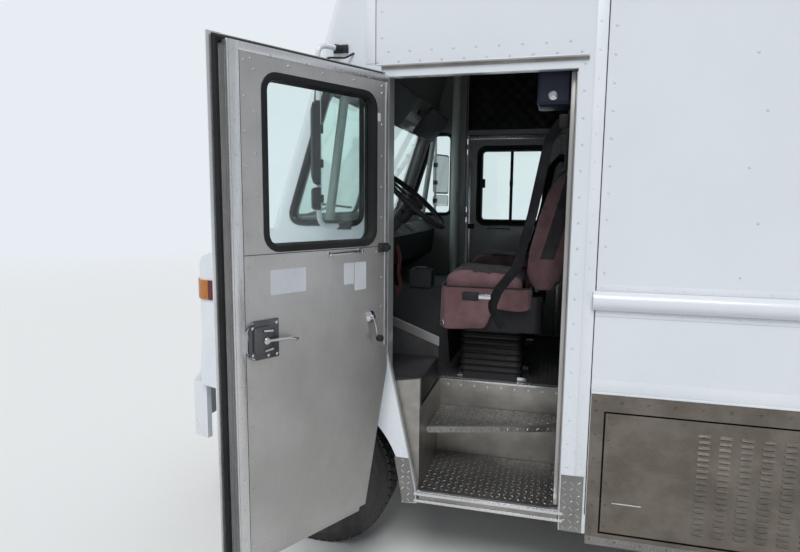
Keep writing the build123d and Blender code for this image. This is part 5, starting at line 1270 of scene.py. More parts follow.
@dataclass
class CabDoor:
    """Everything fitted on one of the hinged cab doors."""

    hand: int
    body: str
    along: Point
    outward: Point
    name: str
    hinge: Point = DOOR_HINGE
    pan: float = 0.053
    skin: float = 0.006
    window: tuple = (0.120, 0.660, 1.675, 2.285)
    pan_edge: float = 0.809
    top: float = 2.384
    foot: float = 0.483
    glass_in: float = 0.0235
    seam: float = 1.650
    skin_edge: float = 0.852

    def frame(self, inside: bool) -> Form:
        """Start a form on one of the door's faces, its x from the hinge to the free edge.

        Args:
            inside: whether it is the inner face.

        Returns:
            The empty form.
        """
        along, outward = Vector(self.along), Vector(self.outward)
        origin = Vector((self.hand * self.hinge[0], self.hinge[1], 0))
        turn = self.hand
        if inside:
            origin -= outward * self.pan
            outward = -outward
            turn = -turn
        return Form(place(origin, along * turn, outward), turn)

    def window_line(self) -> list[Flat]:
        """Return the edge of the window opening."""
        r0, r1, z0, z1 = self.window
        return moved(rounded(r1 - r0, z1 - z0, 0.05), (r0 + r1) / 2, (z0 + z1) / 2)

    def build(self) -> None:
        """Make the door's pieces."""
        self.build_rubber()
        self.build_flange()
        self.build_rivets()
        self.build_latch()
        self.build_crank()
        self.build_outer_pull()
        if self.hand > 0:
            self.build_labels()

    def build_rubber(self) -> None:
        """Fit the window rubbers, the weather seal round the pan and the dark seam."""
        inner = self.frame(True)
        inner.bead(self.window_line(), gasket(self.glass_in, 0.020))
        inner.piece(f"{self.name}_window_rubber", self.body, Wear.RUBBER)
        outer = self.frame(False)
        outer.bead(self.window_line(), gasket(self.glass_in, 0.014))
        outer.piece(f"{self.name}_window_outer_rubber", self.body, Wear.RUBBER)
        seal = self.frame(False)
        edge = self.skin_edge - 0.010
        path = [(edge, 0.442), (edge, 2.398), (0.030, 2.398)]
        seal.bead(path, [(0.0, -0.0055), (0.004, -0.016), (-0.006, -0.023), (-0.018, -0.020),
                         (-0.022, -0.0055)], closed=False)
        seal = seal.piece(f"{self.name}_weather_seal", self.body, Wear.RUBBER)
        if self.hand > 0:
            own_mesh(seal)
        seam = self.frame(True)
        seam.box((0.036, self.seam - 0.0015, -SUNK), (0.7655, self.seam + 0.0015, 0.0006))
        seam.box((0.7645, 0.50, -SUNK), (0.7675, 2.37, 0.0006))
        seam.piece(f"{self.name}_seam", self.body, Wear.SEALANT)

    def build_flange(self) -> None:
        """Add the bright return flange along the pan's edges and the strip below the window."""
        form = self.frame(True)
        form.box((0.7675, self.foot, -SUNK), (self.pan_edge, self.top, 0.0024), 0.001)
        form.box((self.pan_edge - 0.004, self.foot, -0.020),
                 (self.pan_edge + 0.0022, self.top, 0.0024), 0.001)
        form.box((0.034, self.top - 0.030, -SUNK), (0.7675, self.top, 0.0020), 0.001)
        form.box((0.034, 1.20, -SUNK), (0.052, self.top - 0.030, 0.0020), 0.001)
        form.box((0.80, 0.425, -0.0480), (0.8602, 2.41, -0.0468), 0.0005)
        form.piece(f"{self.name}_flange", self.body, Wear.BRIGHT)

    def build_rivets(self) -> None:
        """Rivet the pan and the skin."""
        form = self.frame(True)
        low = self.foot + 0.05
        form.rivets((0.747, low), (0.747, self.top - 0.06), 0.118)
        form.rivets((0.706, 1.72), (0.706, 2.30), 0.15)
        form.rivets((0.788, low + 0.05), (0.788, self.top - 0.03), 0.118, radius=0.0045)
        form.rivets((0.07, self.top - 0.050), (0.72, self.top - 0.050), 0.085, 0.022)
        form.rivets((0.070, 1.25), (0.070, self.top - 0.08), 0.125)
        form.rivets((0.10, self.seam - 0.022), (0.72, self.seam - 0.022), 0.125)
        form.rivets((0.30, low), (0.70, low), 0.10)
        form.piece(f"{self.name}_inner_rivets", self.body, Wear.DOOR)
        outer = self.frame(False)
        outer.rivet_rows(((0.838, 0.46, 0.838, 2.38), (0.03, 1.25, 0.03, 2.38),
                          (0.06, 2.388, 0.81, 2.388), (0.30, 0.45, 0.80, 0.45),
                          (0.08, self.seam - 0.03, 0.80, self.seam - 0.03)), 0.11)
        outer.piece(f"{self.name}_outer_rivets", self.body, Wear.RIVET)

    def build_latch(self) -> None:
        """Build the slam latch: its case, bright edge, screws and lever."""
        case = self.frame(True)
        plate = [(0.628, 1.262), (0.735, 1.262), (0.752, 1.272), (0.764, 1.30), (0.764, 1.372),
                 (0.752, 1.398), (0.735, 1.408), (0.628, 1.408)]
        case.prism(plate, 0.0, 0.010, 0.002)
        case.prism(moved(rounded(0.085, 0.105, 0.02), 0.700, 1.335), 0.009, 0.020, 0.004)
        latch = case.piece(f"{self.name}_latch_case", self.body, Wear.LATCH)
        if self.hand > 0:
            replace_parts(latch, "driver_door_handles")
        form = self.frame(True)
        form.bead([(0.738, 1.266), (0.757, 1.276), (0.7675, 1.30), (0.7675, 1.372), (0.757, 1.396),
                   (0.738, 1.406)],
                  [(-0.005, 0.0), (-0.005, 0.013), (0.0, 0.015), (0.001, 0.0)], closed=False)
        for r, z in ((0.640, 1.275), (0.640, 1.395), (0.745, 1.285), (0.745, 1.385),
                     (0.678, 1.275)):
            with form.shifted((0, 0, 0.010)):
                form.screw(r, z, 0.0065)
        boss = [(0.014, 0.018), (0.014, 0.030), (0.010, 0.034), (0.0, 0.034)]
        form.lathe_at((0.692, 1.334, 0.0), boss, 16)
        form.tube(curved([(0.692, 1.334, 0.029), (0.650, 1.333, 0.034), (0.596, 1.330, 0.034),
                          (0.566, 1.322, 0.030), (0.552, 1.318, 0.024)], 0.02), 0.0085, 10,
                          squash=0.6)
        form.tube([(0.664, 1.300, 0.022), (0.700, 1.296, 0.022)], 0.005, 8)
        form.tube([(0.664, 1.368, 0.022), (0.704, 1.372, 0.022)], 0.005, 8)
        form.piece(f"{self.name}_latch_lever", self.body, Wear.CHROME)

    def build_crank(self) -> None:
        """Build the window crank with its knob, the rod under the window and the check bracket."""
        form = self.frame(True)
        hub = [(0.026, 0.0), (0.026, 0.004), (0.018, 0.010), (0.011, 0.012), (0.011, 0.022),
               (0.0, 0.023)]
        form.lathe_at((0.138, 1.345, 0), hub, 18)
        form.tube(curved([(0.138, 1.345, 0.018), (0.132, 1.315, 0.026), (0.119, 1.251, 0.028)],
                         0.02),
                  0.0075, 10, squash=0.55)
        form.tube([(0.205, 1.6355, 0.012), (0.365, 1.6305, 0.012)], 0.0055, 10)
        for r, z in ((0.200, 1.636), (0.370, 1.630)):
            form.lathe_at((r, z, 0), [(0.012, 0.0), (0.012, 0.004), (0.007, 0.016), (0.0, 0.018)],
                          12)
        form.piece(f"{self.name}_crank", self.body, Wear.CHROME)
        knob = self.frame(True)
        ball = [(0.006, 0.0), (0.014, 0.004), (0.0165, 0.014), (0.014, 0.026), (0.006, 0.031),
                (0.0, 0.0315)]
        knob.lathe_at((0.119, 1.251, 0.026), ball, 18)
        knob.piece(f"{self.name}_crank_knob", self.body, Wear.PLASTIC)
        bracket = self.frame(True)
        bracket.box((0.034, 1.625, 0.0), (0.090, 1.665, 0.010), 0.002)
        bracket.box((0.036, 1.634, 0.008), (0.066, 1.656, 0.026), 0.003)
        bracket.piece(f"{self.name}_check_bracket", self.body, Wear.PLASTIC)

    def build_outer_pull(self) -> None:
        """Build the recessed pull on the outer skin, and its lock."""
        cup = self.frame(False)
        outline = moved(rounded(0.150, 0.090, 0.018), 0.700, 1.340)
        cup.bead(outline, [(0.0, -SUNK), (0.0, 0.006), (-0.004, 0.008), (-0.010, 0.006),
                           (-0.016, -SUNK)])
        cup.prism(moved(rounded(0.120, 0.062, 0.012), 0.700, 1.340), -SUNK, 0.0012)
        cup.piece(f"{self.name}_pull_cup", self.body, Wear.PLASTIC)
        form = self.frame(False)
        form.tube(curved([(0.642, 1.352, 0.002), (0.650, 1.352, 0.018), (0.750, 1.352, 0.018),
                          (0.758, 1.352, 0.002)], 0.012), 0.0075, 10, squash=0.7)
        lock = [(0.014, -SUNK), (0.014, 0.003), (0.011, 0.006), (0.0, 0.006)]
        form.lathe_at((0.700, 1.262, 0), lock, 18)
        form.piece(f"{self.name}_pull", self.body, Wear.CHROME)

    def build_labels(self) -> None:
        """Stick bare labels where the door carries its notices."""
        form = self.frame(True)
        for r0, r1, z0, z1 in ((0.489, 0.655, 1.496, 1.590), (0.165, 0.232, 1.470, 1.590),
                               (0.236, 0.292, 1.500, 1.590), (0.080, 0.112, 2.185, 2.220)):
            form.prism(moved(rounded(r1 - r0, z1 - z0, 0.003, 2), (r0 + r1) / 2, (z0 + z1) / 2),
                       -0.0005, 0.0005)
        form.piece(f"{self.name}_bare_labels", self.body, Wear.LABEL)


@dataclass
class SlidingWindow:
    """Black inner frame and bar of the kerb-side door's sliding window."""

    body: str = "passenger_side_door"

    def build(self, door: CabDoor) -> None:
        """Fit the frame and the meeting bar inside the door's window.

        Args:
            door: the door that the window is in.
        """
        form = door.frame(True)
        r0, r1, z0, z1 = door.window
        line = moved(rounded(r1 - r0 - 0.03, z1 - z0 - 0.03, 0.04), (r0 + r1) / 2, (z0 + z1) / 2)
        form.bead(line, [(0.004, -0.020), (0.004, 0.002), (-0.012, 0.002), (-0.016, -0.020)])
        form.box((0.372, z0 + 0.012, -0.021), (0.396, z1 - 0.012, -0.004), 0.003)
        form.box((r0 + 0.010, 1.962, -0.012), (r0 + 0.052, 2.034, 0.010), 0.004)
        form.box((0.370, 1.975, -0.010), (0.398, 2.025, 0.004), 0.003)
        form.piece("kerb_door_window_frame", self.body, Wear.PLASTIC)


# Steps


@dataclass
class StepDress:
    """Tread plates, nosings, rivets and kick panel in one stepwell."""

    hand: int
    front: float = 0.171
    rear: float = 0.852
    low_z: float = 0.475
    mid_z: float = 0.717
    floor_z: float = 0.870
    low_riser: float = 0.699
    top_riser: float = 0.624
    mid_front: float = 0.975
    mid_rear: float = 0.775

    @property
    def side(self) -> str:
        """The side's name, for the names of its pieces."""
        return side_name(self.hand)

    def at(self, z: float) -> Form:
        """Start a form on a level, its x outward and its y rearward."""
        return Form(place((0, 0, z)), self.hand)

    def build(self) -> None:
        """Make the stepwell's pieces."""
        plates = self.at(self.low_z)
        gap = 0.004
        tread_plate(plates, [(self.low_riser + gap, self.front + gap), (1.178, self.front + gap),
                             (1.178, self.rear - gap), (self.low_riser + gap, self.rear - gap)],
                             0.0025)
        middle = self.at(self.mid_z)
        nose = [(self.mid_front - 0.004, self.front + gap),
                (self.mid_rear - 0.004, self.rear - gap)]
        tread_plate(middle, [(self.top_riser + gap, self.front + gap), nose[0], nose[1],
                             (self.top_riser + gap, self.rear - gap)], 0.0025)
        self.nosing(nose)
        plates.piece(f"{self.side}_low_tread", BODY, Wear.PLATE)
        middle.piece(f"{self.side}_middle_tread", BODY, Wear.PLATE)
        self.build_edges()
        self.build_feet()

    def nosing(self, nose: Sequence[Flat]) -> None:
        """Roll the middle tread's plate down over its front edge.

        Args:
            nose: that edge's ends.
        """
        run = Vector(nose[1]) - Vector(nose[0])
        place_in = place((self.hand * nose[0][0], nose[0][1], self.mid_z - 0.030),
                         (self.hand * run.x, run.y, 0), (self.hand * run.y, -run.x, 0))
        face = Form(place_in)
        flat = [(0, 0.0), (run.length, 0.0), (run.length, 0.030), (0, 0.030)]
        with face.shifted((0, 0, 0.0035)):
            tread_plate(face, flat, 0.002, 0.026)
        face.piece(f"{self.side}_step_nosing", BODY, Wear.PLATE)

    def build_edges(self) -> None:
        """Add the threshold strips, riser rivets and the floor's edge strip."""
        form = self.at(self.floor_z)
        lip = (self.top_riser + 0.006, self.rear, 0.003)
        form.box((self.top_riser - 0.035, self.front, -SUNK), lip, 0.001)
        form.box((self.top_riser + 0.0005, self.front, -0.010), lip, 0.001)
        step = self.low_z - self.floor_z
        form.box((1.176, self.front, step), (1.1945, self.rear, step + 0.006), 0.0015)
        for low in (0.000, -0.034):
            form.box((1.194, self.front - 0.012, step + low - 0.014),
                     (1.1985, self.rear - 0.01, step + low), 0.0015)
        form.piece(f"{self.side}_step_edges", BODY, Wear.BRIGHT)
        rivets = side_form(self.hand, self.top_riser)
        rivets.rivets((0.214, 0.838), (0.800, 0.838), 0.0705, radius=0.0075)
        rivets.piece(f"{self.side}_riser_rivets", BODY, Wear.BRIGHT)
        low = side_form(self.hand, self.low_riser + 0.001)
        low.rivets((0.214, 0.492), (0.800, 0.492), 0.117)
        low.piece(f"{self.side}_low_riser_rivets", BODY, Wear.STEP)

    def build_feet(self) -> None:
        """Clad the feet of the jambs with tread plate."""
        form = side_form(self.hand)
        tread_plate(form, [(0.829, 0.392), (0.925, 0.392), (0.925, 0.652), (0.829, 0.652)], 0.002,
                    0.030)
        tread_plate(form, [(0.104, 0.418), (0.168, 0.424), (0.163, 0.482), (0.132, 0.640),
                           (0.062, 0.640)], 0.002, 0.028)
        form.piece(f"{self.side}_jamb_feet", BODY, Wear.PLATE)
        panel = side_form(self.hand, 1.1225)
        panel.prism([(-0.020, 0.986), (0.112, 0.484), (0.1705, 0.484), (0.1705, 1.016)], 0.0,
                    0.0235, 0.002)
        panel.piece(f"{self.side}_kick_panel", BODY, Wear.STEP)
        ledge = Form(turn=self.hand)
        ledge.box((0.690, -0.140, 0.880), (1.1215, 0.168, 1.008), 0.008)
        ledge.piece(f"{self.side}_toe_ledge", BODY, Wear.PLASTIC)
        kick = side_form(-self.hand, -1.120)
        kick.rivets((0.095, 0.985), (0.165, 0.560), 0.09, radius=0.0045)
        kick.piece(f"{self.side}_kick_rivets", BODY, Wear.STEP)


# Service compartment


@dataclass
class Compartment:
    """Creases, latch, pull and riveted flange of the louvred service compartment."""

    face: float = HALF + 0.002
    flange: float = HALF + 0.004
    creased: tuple = (1.030, 1.345, 0.590, 0.935)
    crease_pitch: float = 0.105

    def build(self) -> None:
        """Make the compartment's pieces."""
        door = side_form(1, self.face)
        y0, y1, z0, z1 = self.creased
        for lean in (1, -1):
            count = int((y1 - y0 + z1 - z0) / self.crease_pitch) + 1
            for k in range(count):
                start = y0 - (z1 - z0) + k * self.crease_pitch
                line = [(start + t, z0 + t if lean > 0 else z1 - t) for t in (0.0, z1 - z0)]
                self.crease(door, line, (y0, y1))
        door.rivets((1.018, 0.437), (1.018, 0.93), 0.098, radius=0.0045)
        door.piece("compartment_creases", "locker_door", Wear.STAINLESS)
        # Painted shade: flat black shapes on the door's face stand for the dark openings under the
        # louvres
        slot_shade = side_form(1, self.face)
        for column in range(6):
            for row in range(18):
                y, z = 1.592 + (column - 2.5) * 0.080, 0.6725 + (row - 8.5) * 0.0253
                slot_shade.prism([(y - 0.0225, z - 0.0002), (y - 0.017, z - 0.0045),
                             (y + 0.017, z - 0.0045), (y + 0.0225, z - 0.0002)], -0.0005, 0.0004)
        slot_shade.piece("compartment_louvre_slot_shade", "locker_door", Wear.RUBBER)
        self.build_latch()
        rim = side_form(1, self.flange)
        rim.rivet_rows(((0.960, 1.002, 2.225, 1.002), (0.960, 0.372, 2.225, 0.372),
                        (0.962, 0.42, 0.962, 0.96), (2.222, 0.42, 2.222, 0.96)), 0.105)
        rim.piece("compartment_rim_rivets", BODY, Wear.STAINLESS)
        foot = side_form(1, self.flange)
        tread_plate(foot, [(0.942, 0.348), (2.242, 0.348), (2.242, 0.386), (0.942, 0.386)], 0.0015,
                    0.016)
        foot.piece("compartment_foot_plate", BODY, Wear.PLATE)
        seal = side_form(1, HALF - 0.012)
        line = moved(rounded(1.192, 0.553, 0.006, 2), 1.592, 0.6825)
        seal.bead(line, [(0.002, 0.0), (0.002, 0.006), (-0.0025, 0.008), (-0.0025, 0.0)])
        seal.piece("compartment_seal", BODY, Wear.RUBBER)

    def crease(self, form: Form, line: Sequence[Flat], limits: Flat) -> None:
        """Press one shallow crease along the part of a line between two stations.

        Args:
            form: the form that it is added to.
            line: the line's ends.
            limits: the stations.
        """
        (ya, za), (yb, zb) = line
        shares = sorted((limit - ya) / (yb - ya) for limit in limits)
        low, high = max(0.0, shares[0]), min(1.0, shares[1])
        if high - low > 0.06:
            ends = [(ya + (yb - ya) * t, za + (zb - za) * t) for t in (low, high)]
            form.bead(ends, [(-0.008, -0.0002), (0.0, 0.0020), (0.008, -0.0002)], closed=False)

    def build_latch(self) -> None:
        """Fit the black paddle latch and the slotted pull."""
        form = side_form(1, self.face)
        form.bead(moved(rounded(0.130, 0.085, 0.012), 1.862, 0.665),
                  [(0.0, -SUNK), (0.0, 0.005), (-0.006, 0.007), (-0.012, 0.003), (-0.014, -SUNK)])
        form.prism(moved(rounded(0.104, 0.060, 0.008), 1.862, 0.665), -SUNK, 0.0015)
        form.prism(moved(rounded(0.070, 0.048, 0.01), 1.875, 0.665), 0.001, 0.0055, 0.002)
        form.piece("compartment_latch", "locker_door", Wear.PLASTIC)
        pull = side_form(1, self.face)
        pull.box((1.045, 0.548, -SUNK), (1.165, 0.552, 0.0025), 0.001)
        pull.piece("compartment_pull", "locker_door", Wear.BRIGHT)


# Nose


@dataclass
class Nose:
    """Headlamps, grille surround and hood latches."""

    lamp: tuple = (0.740, -0.990, 1.230, 0.216, 0.146)
    grille: tuple = (0.0, -1.064, 1.1975, 0.958, 0.443)

    def build(self) -> None:
        """Make the nose's pieces."""
        bowls, bezels, lenses = Form(), Form(), Form()
        x, y, z, width, height = self.lamp
        for hand in (1, -1):
            spot = place((hand * x, y, z), (1, 0, 0), (0, -1, 0))
            bowls.at = bezels.at = lenses.at = spot
            outline = rounded(width, height, 0.018)
            bezels.bead(outline, [(0, 0), (0, 0.078), (-0.005, 0.083), (-0.013, 0.078),
                                  (-0.014, 0.02), (-0.014, 0)])
            rings = [[(px * share, py * share, up) for px, py in outline]
                     for share, up in ((0.87, 0.074), (0.80, 0.050), (0.62, 0.026), (0.30, 0.012))]
            bowls.skin(rings)
            bowls.lathe([(0.022, 0.012), (0.022, 0.030), (0.016, 0.040), (0.0, 0.042)], 16)
            lenses.skin([[(px * share, py * share, up) for px, py in outline]
                         for share, up in ((0.865, 0.0755), (0.87, 0.080), (0.78, 0.083),
                                           (0.4, 0.085))])
        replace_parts(bezels.piece("headlamp_bezels", BODY, Wear.PLASTIC), "headlamps")
        bowls.piece("headlamp_reflectors", BODY, Wear.CHROME)
        lenses.piece("headlamp_lenses", BODY, Wear.LENS)
        self.build_grille()
        self.build_hood()

    def build_grille(self) -> None:
        """Frame the grille and close it with a fine mesh."""
        x, y, z, width, height = self.grille
        front = place((x, y, z), (1, 0, 0), (0, -1, 0))
        form = Form(front)
        form.bead(rounded(width, height, 0.018), [(0, -0.004), (0, 0.004), (-0.006, 0.007),
                                                  (-0.020, 0.007), (-0.024, 0.003),
                                                  (-0.024, -0.004)])
        for row in range(-3, 4):
            form.box((-0.455, row * 0.055 - 0.011, -SUNK), (0.455, row * 0.055 - 0.004, 0.004),
                     0.002)
        form.piece("grille_surround", BODY, Wear.CHROME)
        mesh = Form(front)
        for k in range(-24, 25):
            mesh.tube([(k * 0.0185, -0.19, -0.020), (k * 0.0185, 0.19, -0.020)], 0.0014, 4)
        mesh.piece("grille_mesh", BODY, Wear.PLASTIC)

    def build_hood(self) -> None:
        """Fit the hood's rubber latches."""
        rise = Vector((0, -0.4, -0.151)).normalized()
        out = Vector((0, rise.z, -rise.y))
        latches = Form()
        for hand in (1, -1):
            latches.at = place((hand * 0.47, -0.925, 1.5872), (1, 0, 0), out)
            latches.box((-0.016, -0.045, -0.004), (0.016, 0.030, 0.008), 0.004)
            latches.box((-0.022, -0.020, 0.004), (0.022, -0.006, 0.012), 0.003)
        latches.piece("hood_latches", "hood_panel", Wear.RUBBER)


@dataclass
class Mirrors:
    """White arms with black clamps and heads, each with a flat glass and a small convex one."""

    arm_low: float = 1.733
    arm_high: float = 2.520
    tube: Flat = (1.300, -0.270)
    turn: float = 23.0
    heads: tuple = ((2.085, 0.340), (1.855, 0.095))
    width: float = 0.200

    def build(self) -> None:
        """Make the arms, clamps, heads, glasses and the heater cable."""
        arms, clamps, heads, faces = Form(), Form(), Form(), Form()
        turn = math.radians(self.turn)
        for hand in (1, -1):
            for form in (arms, clamps, heads, faces):
                form.turn = hand
            x, y = self.tube
            arms.tube(curved([(HALF + 0.004, -0.190, self.arm_low), (x, y, self.arm_low),
                              (x, y, self.arm_high), (HALF + 0.004, -0.200, self.arm_high)], 0.05,
                              8),
                      0.0115, 14)
            for by, bz in ((-0.190, self.arm_low), (-0.200, self.arm_high)):
                clamps.box((HALF - 0.001, by - 0.035, bz - 0.018),
                           (HALF + 0.011, by + 0.035, bz + 0.018), 0.004)
                clamps.tube([(HALF + 0.006, by, bz), (HALF + 0.030, by - 0.02, bz)], 0.017, 12)
            for z in (2.010, 2.160, 1.855):
                sleeve = [(0.019, -0.018), (0.021, -0.015), (0.021, 0.015), (0.019, 0.018)]
                clamps.lathe_at((x, y, z), sleeve, 14)
            if hand > 0:
                clamps.tube(curved([(HALF, -0.140, 2.500), (1.225, -0.170, 2.475),
                                    (1.270, -0.245, 2.470), (1.286, -0.285, 2.380),
                                    (1.300, -0.292, 2.200)], 0.04), 0.0045, 8)
            for z, height in self.heads:
                spot = place((hand * x, y, z), (hand * math.cos(turn), math.sin(turn), 0),
                             (hand * math.sin(turn), -math.cos(turn), 0))
                for form in (heads, faces):
                    form.at, form.turn = spot, 1
                middle = moved(rounded(self.width, height, 0.02), self.width / 2, 0)
                heads.skin([[((px - 0.1) * s + 0.1, py * s, up) for px, py in middle]
                            for s, up in ((0.955, -0.0045), (0.995, -0.006), (1.0, -0.002),
                                          (1.0, 0.010), (0.95, 0.026), (0.80, 0.034),
                                          (0.5, 0.034))])
                faces.skin([[((px - 0.1) * s + 0.1, py * s, up) for px, py in middle]
                            for s, up in ((0.93, -0.0040), (0.92, -0.0062), (0.6, -0.0066))])
                for form in (heads, faces):
                    form.at, form.turn = Matrix.Identity(4), hand
        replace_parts(arms.piece("mirror_arms", BODY, Wear.WHITE_PART), "mirrors")
        clamps.piece("mirror_clamps", BODY, Wear.PLASTIC)
        heads.piece("mirror_heads", BODY, Wear.PLASTIC)
        faces.piece("mirror_faces", BODY, Wear.MIRROR)


# Wheels


@dataclass
class WheelSet:
    """Treaded tyres and wheel nuts on one end of an axle."""

    name: str
    body: str
    middle: Point
    hand: int
    offsets: tuple
    nut_ring: tuple
    nodes: tuple
    radius: float = 0.4045
    half: float = 0.113
    base: float = 0.3955
    blocks: int = 56

    def build(self) -> None:
        """Make the tyres and nuts."""
        axle = place(self.middle, (0, -self.hand, 0), (self.hand, 0, 0))
        tyres = Form(axle)
        for offset in self.offsets:
            self.tyre(tyres, offset)
        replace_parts(tyres.piece(f"tyres_{self.name}", self.body, Wear.TYRE), *self.nodes)
        nuts = Form(axle)
        count, ring, height, across = self.nut_ring
        for turn in turns(count):
            with nuts.shifted((ring * math.cos(turn), ring * math.sin(turn), height)):
                nuts.screw(0, 0, across, 0.014)
                nuts.lathe([(across * 0.55, 0.012), (across * 0.55, 0.024), (across * 0.4, 0.027)],
                           10)
        nuts.piece(f"wheel_nuts_{self.name}", self.body, Wear.NUTS)

    def tyre(self, form: Form, offset: float) -> None:
        """Add one tyre: its carcass, raised sidewall rings and tread blocks.

        Args:
            form: the form that it is added to, on the axle.
            offset: where its middle lies along the axle.
        """
        half, base = self.half, self.base
        side = [(0.2485, half - 0.022), (0.262, half - 0.018), (0.268, half - 0.012),
                (0.284, half - 0.004), (0.287, half - 0.0015), (0.291, half - 0.002), (0.318, half),
                (0.338, half - 0.0008), (0.340, half + 0.0004), (0.345, half + 0.0002),
                (0.347, half - 0.0016), (0.372, half - 0.007), (0.384, half - 0.012),
                (0.391, half - 0.020), (base, half - 0.026)]
        across = [(r, offset - w) for r, w in side] + [(r, offset + w) for r, w in side[::-1]]
        form.lathe_loop(across, 72)
        rows = ((-0.074, 0.030, 0.10), (-0.037, 0.030, -0.12), (0.0, 0.031, 0.12),
                (0.037, 0.030, -0.12), (0.074, 0.030, 0.10))
        for number, (middle, width, skew) in enumerate(rows):
            for k in range(self.blocks):
                start = math.tau * (k + 0.5 * (number % 2)) / self.blocks
                self.block(form, start, offset + middle, width, skew)

    def block(self, form: Form, start: float, middle: float, width: float, skew: float) -> None:
        """Add one tread block.

        Args:
            form: the form that it is added to, on the axle.
            start: the angle that it starts at.
            middle: where its middle lies along the axle.
            width: its width.
            skew: how far its sides are turned, as a share of its length.
        """
        step = math.tau / self.blocks * 0.84
        lean = skew * step * 2
        corners = ((0.0, -0.5), (1.0, -0.5), (1.0, 0.5), (0.0, 0.5))
        rings = []
        for radius, ease in ((self.base - 0.002, 0.0), (self.radius - 0.001, 0.02),
                             (self.radius, 0.07)):
            ring = []
            for along, wide in corners:
                turn = start + step * (along + (0.5 - along) * ease * 2) + lean * wide
                ring.append((radius * math.cos(turn), radius * math.sin(turn),
                             middle + width * wide * (1 - ease)))
            rings.append(ring)
        form.skin(rings)


# Seats


